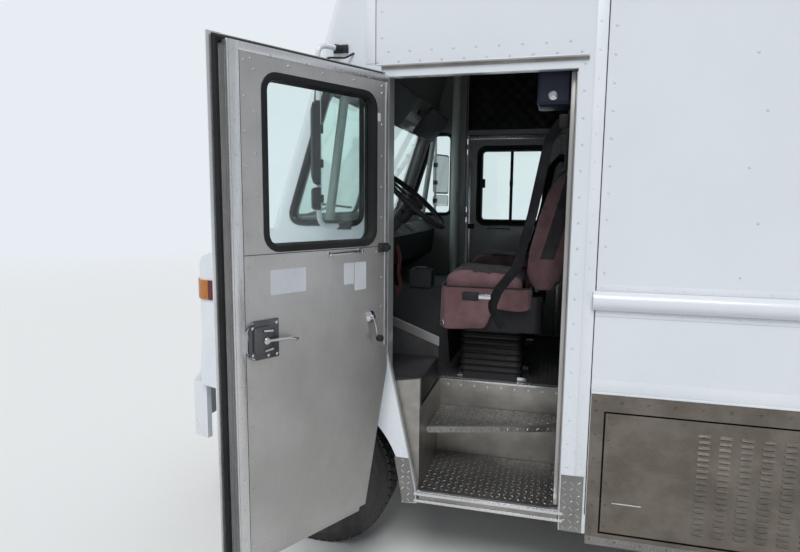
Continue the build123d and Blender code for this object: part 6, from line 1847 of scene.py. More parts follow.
@dataclass
class Seat:
    """Cloth-covered seat: simulated cushion and back, sewn seams, skirt and belt."""

    hand: int
    nodes: tuple
    parted: float = 0.43
    panel: Flat = (0.165, 0.135)
    back_parted: float = 0.600
    voxel: float = 0.008
    pressure: float = 4.0
    frames: int = 20
    cap: float = 0.024
    across: float = 0.470
    station: float = 0.5
    middle_y: float = 0.418
    drop: float = 0.222
    rear_rise: float = 0.110

    @property
    def side(self) -> str:
        """The seat's name, for the names of its pieces."""
        return "driver" if self.hand > 0 else "passenger"

    @property
    def x(self) -> float:
        """The seat's middle across the van."""
        return self.hand * self.station

    def build(self) -> None:
        """Make the seat's pieces."""
        cushion = self.padded(f"{self.side}_cushion", self.crown(0.404, 0.448, (1.366, 1.470)))
        back = self.padded(f"{self.side}_backrest", self.back_form())
        if self.hand > 0:
            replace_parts(cushion, self.nodes[0])
            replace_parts(back, self.nodes[1])
        else:
            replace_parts(cushion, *self.nodes)
        self.build_skirt()
        self.build_seams()
        self.build_base()
        self.build_belt()

    def crown(self, y: float, depth: float, heights: Flat) -> Form:
        """Make the closed form that the cushion is swollen from.

        Args:
            y: its middle along the van.
            depth: its size along the van.
            heights: its foot and its brow.

        Returns:
            The form, falling rearward and dished in the middle of its top.
        """
        form = Form()
        low, high = heights
        outline = rounded(self.across - 0.03, depth - 0.02, 0.045, 6)
        rings = []
        for share, up in ((0.90, 0.0), (0.985, 0.10), (1.0, 0.35), (1.0, 0.68), (0.965, 0.86),
                          (0.86, 0.97), (0.62, 1.05), (0.3, 1.08)):
            rings.append([(self.x + px * share, y + py * share,
                           low + (high - low) * up - 0.05 * (py * share + 0.2)
                           - 0.012 * (abs(px) < 0.08) * share * (up > 0.9)) for px, py in outline])
        form.skin(rings)
        return form

    def back_form(self) -> Form:
        """Make the closed form that the backrest is swollen from.

        Returns:
            The form, leaning rearward and bolstered at the sides.
        """
        form = Form()
        rings = []
        stations = ((1.385, 0.648, 0.76, 0.90), (1.44, 0.625, 0.775, 0.97),
                    (1.60, 0.640, 0.806, 1.0), (1.78, 0.684, 0.842, 0.98),
                    (1.90, 0.722, 0.868, 0.90), (1.98, 0.758, 0.884, 0.78),
                    (2.03, 0.788, 0.892, 0.62), (2.048, 0.826, 0.880, 0.40))
        for z, front, rear, share in stations:
            half = (self.across / 2 - 0.012) * share
            middle, thick = (front + rear) / 2, (rear - front) / 2
            ring = []
            for turn in turns(36):
                c, s = math.cos(turn), math.sin(turn)
                px = half * math.copysign(abs(c) ** 0.45, c)
                py = thick * math.copysign(abs(s) ** 0.55, s)
                if s < 0:
                    py += 0.018 * (1 - abs(px / half) ** 3)
                ring.append((self.x + px, middle + py, z))
            rings.append(ring)
        form.skin(rings)
        return form

    def padded(self, name: str, form: Form) -> bpy.types.Object:
        """Swell a form into a stuffed pad and dress it in its two cloths.

        Args:
            name: the pad's name.
            form: its closed form, a little smaller than the finished pad.

        Returns:
            The pad.
        """
        pad = form.piece(name, BODY, Wear.MAUVE, 60)
        remesh = pad.modifiers.new("even", "REMESH")
        remesh.mode = "VOXEL"
        remesh.voxel_size = self.voxel
        settle(pad)
        swell(pad, self.pressure, self.frames, self.cap)
        smooth = pad.modifiers.new("smooth", "SMOOTH")
        smooth.factor, smooth.iterations = 0.6, 4
        fine = pad.modifiers.new("fine", "SUBSURF")
        fine.levels = fine.render_levels = 1
        settle(pad)
        pad.data.shade_smooth()
        pad.data.materials.append(Wear.CHARCOAL.material())
        for face in pad.data.polygons:
            spot = face.center + Form.origin
            if spot.y > self.back_parted and spot.z > 1.44:
                deep = spot.y - 0.622 - 0.27 * (spot.z - 1.44)
                dark = deep < 0.06 and abs(spot.x - self.x) < self.panel[1]
                dark = dark or (0.035 < deep < 0.105 and 1.56 < spot.z < 1.98)
            else:
                dark = abs(spot.x - self.x) < self.panel[0]
            face.material_index = int(dark)
        LOG.info("%s: %d faces when swollen", name, len(pad.data.polygons))
        return pad

    def build_skirt(self) -> None:
        """Hang the cover's skirt over the seat's base, with folds and a sharp front corner."""
        form = Form()
        line = spaced(rounded(self.across + 0.004, 0.470, 0.035, 6), 0.020)
        rings = []
        for level in range(9):
            drop = level / 8
            ring = []
            for k, (px, py) in enumerate(line):
                fold = 0.005 * drop * math.sin(k * 0.9 + 0.8 * math.sin(k * 0.4)) + 0.004 * drop
                reach = math.hypot(px, py)
                rear = min(1.0, max(0.0, (self.middle_y + py - self.parted) / 0.03))
                hem = (self.drop - self.rear_rise * rear) * drop
                ring.append((self.x + px * (1 + fold / reach),
                             self.middle_y + py * (1 + fold / reach),
                             1.405 - hem + 0.006 * drop * math.sin(k * 0.35)))
            rings.append(ring)
        form.skin(rings, caps=False)
        skirt = form.piece(f"{self.side}_seat_skirt", BODY, Wear.MAUVE, 60)
        shell = skirt.modifiers.new("cloth", "SOLIDIFY")
        shell.thickness = 0.003
        fine = skirt.modifiers.new("fine", "SUBSURF")
        fine.levels = fine.render_levels = 2
        settle(skirt)
        skirt.data.materials.append(Wear.CHARCOAL.material())
        for face in skirt.data.polygons:
            spot = face.center + Form.origin
            face.material_index = int(spot.y < 0.205 and abs(spot.x - self.x) < 0.205)

    def build_seams(self) -> None:
        """Sew piping round the skirt's head."""
        form = Form()
        line = rounded(self.across + 0.004, 0.466, 0.04, 6)
        path = [(self.x + px, self.middle_y + py, 1.407) for px, py in line]
        form.tube(path, 0.004, 8, loop=True)
        form.piece(f"{self.side}_seat_piping", BODY, Wear.CHARCOAL)

    def build_base(self) -> None:
        """Add the seat's slide rails, adjusting levers and suspension cover."""
        form = Form()
        foot = self.x - self.hand * 0.03
        for way in (-1, 1):
            form.box((foot + way * 0.110 - 0.016, 0.260, 0.870),
                     (foot + way * 0.110 + 0.016, 0.640, 0.900), 0.003)
        grip = (self.x + self.hand * 0.222, 0.20, 1.205)
        form.tube(curved([(self.x + self.hand * 0.205, 0.30, 1.215),
                          (self.x + self.hand * 0.218, 0.24, 1.212), grip], 0.02), 0.006, 10)
        form.lathe_at(grip, [(0.006, -0.012), (0.013, -0.006), (0.013, 0.010), (0.008, 0.016)], 14)
        form.piece(f"{self.side}_seat_rails", BODY, Wear.CHROME)
        folds = Form()
        for k in range(7):
            with folds.shifted((foot, 0.440, 0.925 + k * 0.034)):
                folds.bead(rounded(0.268, 0.338, 0.035),
                           [(-0.004, -0.012), (0.004, -0.002), (0.004, 0.002), (-0.004, 0.012)])
        folds.piece(f"{self.side}_seat_bellows", BODY, Wear.RUBBER)

    def build_belt(self) -> None:
        """Lay the flat belt from its upper anchor over the seat to the floor, with its buckle."""
        h = self.hand
        strap = Form()
        path = curved([(h * 1.070, 0.770, 2.200), (h * 0.985, 0.716, 2.130),
                       (h * 0.955, 0.652, 1.790), (h * 0.952, 0.590, 1.540),
                       (h * 0.930, 0.500, 1.418), (h * 0.900, 0.470, 1.330),
                       (h * 0.900, 0.530, 1.235)], 0.06)
        ribbon(strap, path, (0.30 * h, 0.95, 0.1), 0.047, 0.0022)
        strap.piece(f"{self.side}_belt", BODY, Wear.BELT)
        buckle = Form()
        buckle.box((h * 0.935 - 0.010, 0.395, 1.378), (h * 0.935 + 0.010, 0.470, 1.402), 0.004)
        buckle.piece(f"{self.side}_belt_tongue", BODY, Wear.CHROME)
        case = Form()
        case.box((h * 0.935 - 0.016, 0.330, 1.368), (h * 0.935 + 0.016, 0.412, 1.410), 0.007)
        case.piece(f"{self.side}_belt_buckle", BODY, Wear.PLASTIC)
        anchor = Form()
        anchor.box((h * 1.085 - 0.014, 0.755, 2.165), (h * 1.085 + 0.014, 0.800, 2.225), 0.006)
        anchor.piece(f"{self.side}_belt_anchor", BODY, Wear.RUBBER)


def settle(obj: bpy.types.Object) -> None:
    """Apply all of a piece's modifiers to its mesh.

    Args:
        obj: the piece.
    """
    depsgraph = bpy.context.evaluated_depsgraph_get()
    made = bpy.data.meshes.new_from_object(obj.evaluated_get(depsgraph))
    obj.modifiers.clear()
    obj.data = made


def swell(pad: bpy.types.Object, pressure: float, frames: int, cap: float) -> None:
    """Blow a pad up with the cloth solver and keep how far each point may go.

    Args:
        pad: the pad to swell.
        pressure: pressure inside it.
        frames: frames to run.
        cap: the furthest that a point may move.
    """
    scene = bpy.context.scene
    start = [v.co.copy() for v in pad.data.vertices]
    cloth = pad.modifiers.new("cloth", "CLOTH")
    cloth.settings.use_pressure = True
    cloth.settings.uniform_pressure_force = pressure
    cloth.settings.effector_weights.gravity = 0.0
    cloth.settings.quality = 4
    cloth.point_cache.frame_start, cloth.point_cache.frame_end = 1, frames
    for number in range(1, frames + 1):
        scene.frame_set(number)
    shape = pad.evaluated_get(bpy.context.evaluated_depsgraph_get()).data
    spots = [v.co.copy() for v in shape.vertices]
    pad.modifiers.clear()
    scene.frame_set(1)
    for vertex, before, after in zip(pad.data.vertices, start, spots):
        move = after - before
        if move.length > cap:
            move *= cap / move.length
        vertex.co = before + move


def ribbon(form: Form, path: Sequence[Vector], across: Point, width: float, thick: float) -> None:
    """Add a flat strap along a path.

    Args:
        form: the form that it is added to.
        path: its middle line.
        across: the way that its width runs.
        width: its width.
        thick: its thickness.
    """
    rings = []
    for i, point in enumerate(path):
        way = (path[min(i + 1, len(path) - 1)] - path[max(i - 1, 0)]).normalized()
        wide = Vector(across)
        wide = (wide - way * wide.dot(way)).normalized()
        out = way.cross(wide)
        rings.append([point + wide * (width / 2 * a) + out * (thick / 2 * b)
                      for a, b in ((-1, 0), (-0.9, -1), (0.9, -1), (1, 0), (0.9, 1), (-0.9, 1))])
    form.skin(rings)


# Inside the cab


@dataclass
class CabInside:
    """Beam, visor, post, lining, storage box, dials, pedals and small fittings in the cab."""

    middle: float = 0.5

    def build(self) -> None:
        """Make the cab's inner pieces."""
        self.build_beam()
        self.build_lining()
        self.build_box()
        self.build_dials()
        self.build_pedals()
        self.build_wheel()
        self.build_mats()
        self.build_jambs()

    def build_beam(self) -> None:
        """Run the padded beam over the windscreen, the posts and both sun visors."""
        beam = Form()
        section = [(-0.300, 2.420), (-0.225, 2.420), (-0.200, 2.440), (-0.196, 2.560),
                   (-0.215, 2.585), (-0.258, 2.590)]
        beam.skin([[(x, y, z) for y, z in section] for x in (-1.148, -0.6, 0.0, 0.6, 1.148)])
        for hand in (1, -1):
            beam.tube(curved([(hand * 1.040, -0.215, 2.430), (hand * 1.046, -0.235, 2.380),
                              (hand * 1.046, -0.330, 1.700)], 0.03), 0.022, 12)
        beam.piece("windscreen_beam", BODY, Wear.SUNLIT_TRIM)
        visor = Form()
        for hand in (1, -1):
            spot = place((hand * self.middle, -0.140, 2.392), (1, 0, 0), (0, -0.78, 0.62))
            visor.at = spot
            visor.prism(rounded(0.62, 0.215, 0.03), -0.011, 0.011, 0.007)
            visor.at = Matrix.Identity(4)
            for end in (-0.2, 0.2):
                x = hand * self.middle + end
                visor.tube([(x, -0.205, 2.445), (x, -0.180, 2.470)], 0.008, 8)
        visor.piece("sun_visors", BODY, Wear.DASH)
        post = Form()
        post.tube([(-1.085, -0.060, 2.90), (-1.085, -0.060, 1.02)], 0.036, 18)
        post.piece("kerb_post", BODY, Wear.SUNLIT_TRIM)

    def build_lining(self) -> None:
        """Quilt the lining over the kerb-side window and behind the seats' heads."""
        form = Form()
        for hand, y0, y1, z0, z1 in ((-1, 0.030, 0.815, 2.430, 2.910),
                                     (1, 0.030, 0.640, 2.455, 2.910)):
            columns, rows = round((y1 - y0) / 0.0125), round((z1 - z0) / 0.0125)
            grid = []
            for j in range(rows + 1):
                line = []
                for i in range(columns + 1):
                    y, z = y0 + (y1 - y0) * i / columns, z0 + (z1 - z0) * j / rows
                    u, v = (y + z) / 0.106, (y - z) / 0.106
                    puff = abs(math.sin(math.pi * u)) ** 0.5 * abs(math.sin(math.pi * v)) ** 0.5
                    edge = i in (0, columns) or j in (0, rows)
                    line.append((hand * (INNER - (0.001 if edge else 0.003 + 0.011 * puff)), y, z))
                grid.append(line)
            form.skin(grid, closed=False, caps=False)
        form.piece("quilted_lining", BODY, Wear.QUILT, 60)

    def build_box(self) -> None:
        """Hang the navy box with its round knob behind the driver's doorway head."""
        form = Form()
        form.box((0.930, 0.662, 2.262), (1.112, 0.802, 2.500), 0.010)
        form.box((1.108, 0.670, 2.272), (1.118, 0.794, 2.490), 0.004)
        form.piece("storage_box", BODY, Wear.NAVY)
        knob = Form(place((1.118, 0.728, 2.300), (0, 1, 0), (1, 0, 0)))
        knob.lathe([(0.020, 0.0), (0.020, 0.006), (0.013, 0.010), (0.013, 0.022), (0.0, 0.024)], 20)
        knob.piece("storage_box_knob", BODY, Wear.CHROME)

    def build_dials(self) -> None:
        """Fit the dial cluster, switches and vents on the dashboard, and trim the engine cover."""
        spot = place((0, -0.2725, 1.655), (1, 0, 0), (0, 0.62, 0.785))
        panel, bezels, faces = Form(spot), Form(spot), Form(spot)
        panel.prism(moved(rounded(0.46, 0.115, 0.03), self.middle, 0.0), -0.012, 0.010, 0.005)
        for x in (-0.45, 0.02):
            panel.prism(moved(rounded(0.24, 0.09, 0.012), x, 0.0), -0.012, 0.004, 0.002)
            for y in (k * 0.015 for k in range(5)):
                panel.box((x - 0.10, -0.032 + y, 0.003), (x + 0.10, -0.027 + y, 0.008), 0.001)
        for number in range(5):
            x = self.middle - 0.18 + number * 0.09
            size = 0.043 if number in (1, 3) else 0.030
            for form, profile in (
                (bezels, [(size, 0.008), (size, 0.016), (size - 0.004, 0.018),
                          (size - 0.007, 0.012)]),
                (faces, [(size - 0.006, 0.008), (size - 0.006, 0.012), (0.004, 0.012),
                         (0.003, 0.015)]),
            ):
                form.lathe_at((x, 0, 0), profile, 28)
        for k in range(6):
            with bezels.shifted((0.78 + k * 0.036, 0, 0)):
                bezels.box((-0.010, -0.016, -0.006), (0.010, 0.016, 0.010), 0.004)
        panel.piece("dash_panels", BODY, Wear.PLASTIC)
        bezels.piece("dial_bezels", BODY, Wear.CHROME)
        faces.piece("dial_faces", BODY, Wear.PLASTIC)
        cover = Form()
        for y in (-0.46, -0.05, 0.10):
            cover.box((-0.334, y - 0.012, 0.92), (-0.330, y + 0.012, 1.30), 0.001)
        for x in (-0.335, 0.331):
            for z in (1.05, 1.22):
                cover.box((x, -0.30, z - 0.02), (x + 0.004, -0.24, z + 0.02), 0.001)
        cover.bead(moved(rounded(0.62, 0.60, 0.05), 0.0, -0.19),
                   [(0, 1.330), (0, 1.336), (-0.012, 1.338), (-0.016, 1.330)])
        cover.piece("engine_cover_trim", BODY, Wear.DASH)

    def build_pedals(self) -> None:
        """Hang the pedals over the toe board."""
        form, pads = Form(), Form()
        for x, width, height in ((0.60, 0.055, 0.125), (0.49, 0.085, 0.062), (0.40, 0.085, 0.062)):
            pads.at = place((x, -0.165, 1.130), (1, 0, 0), (0, 0.80, 0.60))
            pads.prism(rounded(width, height, 0.010), 0.0, 0.012, 0.003)
            for k in range(-2, 3):
                pads.box((-width / 2 + 0.006, k * height / 6 - 0.002, 0.011),
                         (width / 2 - 0.006, k * height / 6 + 0.002, 0.0145), 0.001)
            form.tube(curved([(x, -0.172, 1.128), (x, -0.240, 1.200), (x, -0.300, 1.345)], 0.05),
                      0.009, 8)
        form.piece("pedal_arms", BODY, Wear.CHASSIS)
        pads.piece("pedal_pads", BODY, Wear.RUBBER)
        brake = Form()
        brake.box((0.235, -0.090, 1.328), (0.345, 0.050, 1.440), 0.012)
        brake.box((0.262, -0.060, 1.436), (0.318, 0.020, 1.452), 0.005)
        brake.piece("parking_brake_box", BODY, Wear.DASH)
        board = side_form(1, 0.672)
        board.prism([(-0.140, 0.872), (0.165, 0.872), (0.165, 1.066), (-0.140, 1.180)], 0.0, 0.004,
                    0.001)
        board.piece("toe_board", BODY, Wear.MAT)
        strip = side_form(1, 0.670)
        strip.prism([(-0.140, 1.180), (-0.140, 1.225), (0.165, 1.111), (0.165, 1.066)], 0.0, 0.008,
                    0.002)
        strip.piece("toe_board_strip", BODY, Wear.DOOR)

    def build_wheel(self) -> None:
        """Dress the steering wheel: rim grips, horn pad and column stalks."""
        axis = Vector((0, 0.66, 0.75)).normalized()
        spot = place((0.5, -0.020, 1.850), (1, 0, 0), axis)
        grip = Form(spot)
        rings = []
        for turn in turns(220):
            thick = 0.0158 - 0.0011 * (0.5 + 0.5 * math.cos(turn * 55)) ** 3
            rings.append([((0.214 + thick * math.cos(a)) * math.cos(turn),
                           (0.214 + thick * math.cos(a)) * math.sin(turn), thick * math.sin(a))
                          for a in turns(12)])
        grip.skin(rings, loop=True)
        grip.piece("steering_grip", "steering", Wear.RUBBER)
        pad = Form(spot)
        pad.lathe([(0.060, -0.014), (0.062, 0.002), (0.054, 0.012), (0.030, 0.018), (0.0, 0.019)],
                  32)
        for x in (-0.06, 0.06):
            pad.prism(moved(rounded(0.10, 0.026, 0.010), x * 2.1, 0.0), -0.002, 0.004, 0.003)
        pad.piece("horn_pad", "steering", Wear.PLASTIC)
        stalk = Form(spot)
        for way in (-1, 1):
            stalk.tube(curved([(way * 0.030, 0.0, -0.085), (way * 0.11, 0.01, -0.075),
                               (way * 0.165, 0.012, -0.055)], 0.03), 0.006, 10)
        stalk.lathe([(0.041, -0.140), (0.045, -0.125), (0.045, -0.066), (0.040, -0.052)], 28)
        stalk.piece("column_stalks", BODY, Wear.PLASTIC)

    def build_mats(self) -> None:
        """Lay ribbed rubber mats on the cab floor."""
        form = Form()
        form.prism([(-0.60, 0.18), (0.60, 0.18), (0.60, 0.88), (1.12, 0.88), (1.12, 1.38),
                    (-1.12, 1.38), (-1.12, 0.88), (-0.60, 0.88)], 0.870, 0.874)
        for k in range(46):
            y = 0.200 + k * 0.0255
            half = 0.585 if y < 0.90 else 1.10
            form.box((-half, y, 0.8735), (half, y + 0.010, 0.8765), 0.001)
        form.piece("floor_mat_ribs", BODY, Wear.MAT)

    def build_jambs(self) -> None:
        """Line the doorways' rear jambs with ribbed strips, and hang the red strap."""
        form = Form()
        for hand in (1, -1):
            for k in range(4):
                x = hand * (1.158 + k * 0.009)
                form.box((x - 0.0022, 0.8205, 0.480), (x + 0.0022, 0.8255, 2.380), 0.001)
            low, high = sorted((hand * 1.120, hand * 1.149))
            form.box((low, 0.800, 0.482), (high, 0.8245, 2.388), 0.002)
        form.piece("jamb_ribs", BODY, Wear.DOOR)
        strap = Form()
        path = curved([(0.905, -0.014, 1.630), (0.902, 0.004, 1.570), (0.898, -0.006, 1.490),
                       (0.890, 0.006, 1.420), (0.880, -0.020, 1.360)], 0.03)
        ribbon(strap, path, (0.2, 1, 0), 0.020, 0.002)
        strap.piece("red_strap", BODY, Wear.SHADED_RED)


# Body behind the cab


@dataclass
class RearEnd:
    """Rivets, door fittings, lamp bezels and step plate on the back."""

    skin: float = BODY_REAR + 0.011

    @staticmethod
    def face(y: float = BODY_REAR) -> Form:
        """Start a form on the back, its x towards the kerb side and its z rearward."""
        return Form(place((0, y, 0), (-1, 0, 0), (0, 1, 0)))

    def build(self) -> None:
        """Make the back's pieces."""
        wall = self.face()
        wall.rivet_rows(((-1.125, 0.83, -1.125, 2.88), (1.125, 0.83, 1.125, 2.88),
                         (-1.08, 2.885, 1.08, 2.885), (-1.08, 0.805, -0.50, 0.805),
                         (0.50, 0.805, 1.08, 0.805), (-0.60, 0.86, -0.60, 2.80),
                         (0.60, 0.86, 0.60, 2.80), (-0.55, 2.43, 0.55, 2.43)), 0.11)
        wall.piece("rear_wall_rivets", BODY, Wear.RIVET)
        trim = self.face()
        gutter = [(0.0, -SUNK), (0.0, 0.022), (0.005, 0.022), (0.012, 0.004), (0.012, -SUNK)]
        trim.bead([(0.470, 2.390), (-0.470, 2.390)], gutter, closed=False)
        for x in (-1.149, 1.120):
            trim.box((x, 0.80, -SUNK), (x + 0.029, ROOF_EDGE - 0.01, 0.003), 0.001)
        trim.piece("rear_wall_strips", BODY, Wear.WHITE_PART)
        door = self.face(self.skin)
        door.rivet_rows(((-0.425, 0.90, -0.425, 2.34), (0.425, 0.90, 0.425, 2.34),
                         (-0.38, 2.345, 0.38, 2.345), (-0.38, 0.895, 0.38, 0.895)), 0.10)
        for z in (1.15, 1.95):
            door.bead(moved(rounded(0.70, 0.62 if z > 1.5 else 0.50, 0.04), 0, z),
                      [(-0.006, -0.0005), (0.0, 0.004), (0.006, -0.0005)])
        door.piece("rear_door_ribs", "back_door", Wear.RIVET)
        lever = self.face(self.skin)
        lever.tube(curved([(0.330, 1.44, 0.030), (0.330, 1.46, 0.036), (0.330, 1.56, 0.036),
                           (0.330, 1.58, 0.030)], 0.01), 0.010, 10)
        lever.bead(moved(rounded(0.052, 0.190, 0.010), 0.330, 1.50),
                   [(0, -SUNK), (0, 0.004), (-0.006, 0.006), (-0.010, 0.004)])
        lever.piece("rear_door_lever", "back_door", Wear.CHROME)
        self.build_lamps()
        step = Form(place((0, 0, 0.600)))
        tread_plate(step, [(-1.09, 5.965), (1.09, 5.965), (1.09, 6.145), (-1.09, 6.145)], 0.002,
                    0.028)
        step.piece("rear_step_plate", BODY, Wear.PLATE)

    def build_lamps(self) -> None:
        """Ring the tail lamps and ridge their lenses."""
        rings, lenses = Form(), Form()
        for x in (-1.040, -0.910, 0.910, 1.040):
            for form, profile in (
                (rings, [(0.060, -SUNK), (0.060, 0.010), (0.054, 0.014), (0.050, 0.010),
                         (0.050, -SUNK)]),
                (lenses, [(0.050, 0.017), (0.049, 0.0188), (0.041, 0.0195), (0.039, 0.0185),
                          (0.030, 0.0200), (0.028, 0.0190), (0.018, 0.0204), (0.0, 0.0206)]),
            ):
                form.at = place((x, BODY_REAR, 1.010), (1, 0, 0), (0, 1, 0))
                form.lathe(profile, 36)
        rings.piece("tail_lamp_rings", BODY, Wear.RUBBER)
        lenses.piece("tail_lamp_lenses", BODY, Wear.RED_LENS)


@dataclass
class Roof:
    """Lap seams, rivets, the fan guard and vent louvres on the roof."""

    laps: tuple = (1.15, 2.35, 3.55, 4.75)

    def build(self) -> None:
        """Make the roof's pieces."""
        form = Form(Matrix.Translation((0, 0, ROOF_TOP)))
        seams = Form(Matrix.Translation((0, 0, ROOF_TOP)))
        for y in self.laps:
            spans = ((-1.12, 1.12),) if y != 2.35 else ((-1.12, -0.40), (0.08, 1.12))
            for x0, x1 in spans:
                form.rivets((x0, y + 0.018), (x1, y + 0.018), 0.10)
                seams.box((x0, y - 0.020, -SUNK), (x1, y + 0.020, 0.0016), 0.0008)
        for x in (-1.150, 1.150):
            form.rivets((x, -0.10), (x, 5.90), 0.15)
        form.rivets((-1.08, 5.915), (1.08, 5.915), 0.15)
        seams.box((-1.10, -0.165, -SUNK), (1.10, -0.140, 0.002), 0.001)
        form.piece("roof_rivets", BODY, Wear.RIVET)
        seams.piece("roof_laps", BODY, Wear.WHITE_PART)
        fan = Form(Matrix.Translation((0.700, 3.300, ROOF_TOP)))
        fan.bead([(0.292 * math.cos(t), 0.292 * math.sin(t)) for t in turns(48)],
                 [(0, -SUNK), (0, 0.004), (-0.014, 0.006), (-0.016, -SUNK)])
        for turn in turns(24):
            fan.tube([(radius * math.cos(turn), radius * math.sin(turn), up)
                      for radius, up in ((0.270, 0.010), (0.252, 0.122))], 0.0045, 6)
        fan.piece("roof_fan_guard", BODY, Wear.KITCHEN)
        vent = Form(Matrix.Translation((-0.160, 2.100, ROOF_TOP)))
        for rise in (level * 0.018 for level in range(3)):
            vent.bead(rounded(0.408, 0.408, 0.01),
                      [(-0.002, 0.012 + rise), (0.006, 0.016 + rise), (-0.002, 0.020 + rise)])
        vent.piece("roof_vent_louvres", BODY, Wear.KITCHEN)


@dataclass
class Servery:
    """Edge frames, ribs, handles and seal of the serving hatch and shelf."""

    hatch: tuple = (1.458, 3.882, 1.648, 2.462)
    face: float = HALF + 0.035
    shelf: tuple = (1.500, 3.840, 1.020, 1.346)
    opening: Flat = (2.670, 2.055)

    def build(self) -> None:
        """Make the pieces of the serving side."""
        self.build_hatch()
        self.build_seal()
        self.build_shelf()
        self.build_inner_frame()

    def build_hatch(self) -> None:
        """Frame, rib and rivet the hatch and give it two handles."""
        y0, y1, z0, z1 = self.hatch
        hatch = side_form(-1, self.face)
        middle = ((y0 + y1) / 2, (z0 + z1) / 2)
        hatch.bead(moved(rounded(y1 - y0 - 0.004, z1 - z0 - 0.004, 0.012), *middle),
                   [(0, -0.004), (0, 0.001), (-0.003, 0.003), (-0.030, 0.003), (-0.032, -0.0005)])
        hatch.rivets((y0 + 0.018, z0 + 0.018), (y1 - 0.018, z0 + 0.018), 0.12)
        hatch.rivets((y0 + 0.018, z1 - 0.05), (y1 - 0.018, z1 - 0.05), 0.12)
        for y in (2.27, 3.07):
            hatch.bead([(y, z0 + 0.05), (y, z1 - 0.06)],
                       [(-0.012, -0.0005), (-0.006, 0.004), (0.006, 0.004), (0.012, -0.0005)],
                       closed=False)
        hatch.piece("hatch_frame", "hatch", Wear.WHITE_PART)
        handles = side_form(-1, self.face)
        for y in (1.90, 3.44):
            z = z0 + 0.075
            handles.tube(curved([(y - 0.075, z, 0.0), (y - 0.070, z, 0.028),
                                 (y + 0.070, z, 0.028), (y + 0.075, z, 0.0)], 0.015), 0.007, 10)
            for way in (-1, 1):
                foot = moved(rounded(0.030, 0.034, 0.006), y + way * 0.075, z)
                handles.prism(foot, -0.0005, 0.004)
        handles.piece("hatch_handles", "hatch", Wear.CHROME)

    def build_seal(self) -> None:
        """Ring the opening with its seal."""
        seal = side_form(-1)
        seal.bead(moved(rounded(2.372, 0.762, 0.02), *self.opening),
                  [(0, -SUNK), (0, 0.0042), (-0.010, 0.0042), (-0.010, -SUNK)])
        seal.piece("serving_seal", BODY, Wear.RUBBER)

    def build_shelf(self) -> None:
        """Frame and rib the shelf."""
        shelf = side_form(-1, HALF + 0.030)
        y0, y1, z0, z1 = self.shelf
        shelf.bead(moved(rounded(y1 - y0, z1 - z0, 0.008), (y0 + y1) / 2, (z0 + z1) / 2),
                   [(0.001, -0.024), (0.001, 0.002), (-0.004, 0.004), (-0.022, 0.003),
                    (-0.024, -0.0005)])
        for y in (2.085, 2.67, 3.255):
            shelf.bead([(y, z0 + 0.03), (y, z1 - 0.03)],
                       [(-0.02, -0.0005), (-0.014, 0.003), (0.014, 0.003), (0.02, -0.0005)],
                       closed=False)
        shelf.piece("shelf_frame", "shelf", Wear.KITCHEN)

    def build_inner_frame(self) -> None:
        """Frame the opening in steel inside."""
        inside = side_form(1, -INNER)
        inside.bead(moved(rounded(2.360, 0.750, 0.02), *self.opening),
                    [(0, -SUNK), (0, 0.004), (0.030, 0.004), (0.030, -SUNK)])
        inside.piece("serving_inner_frame", BODY, Wear.KITCHEN)


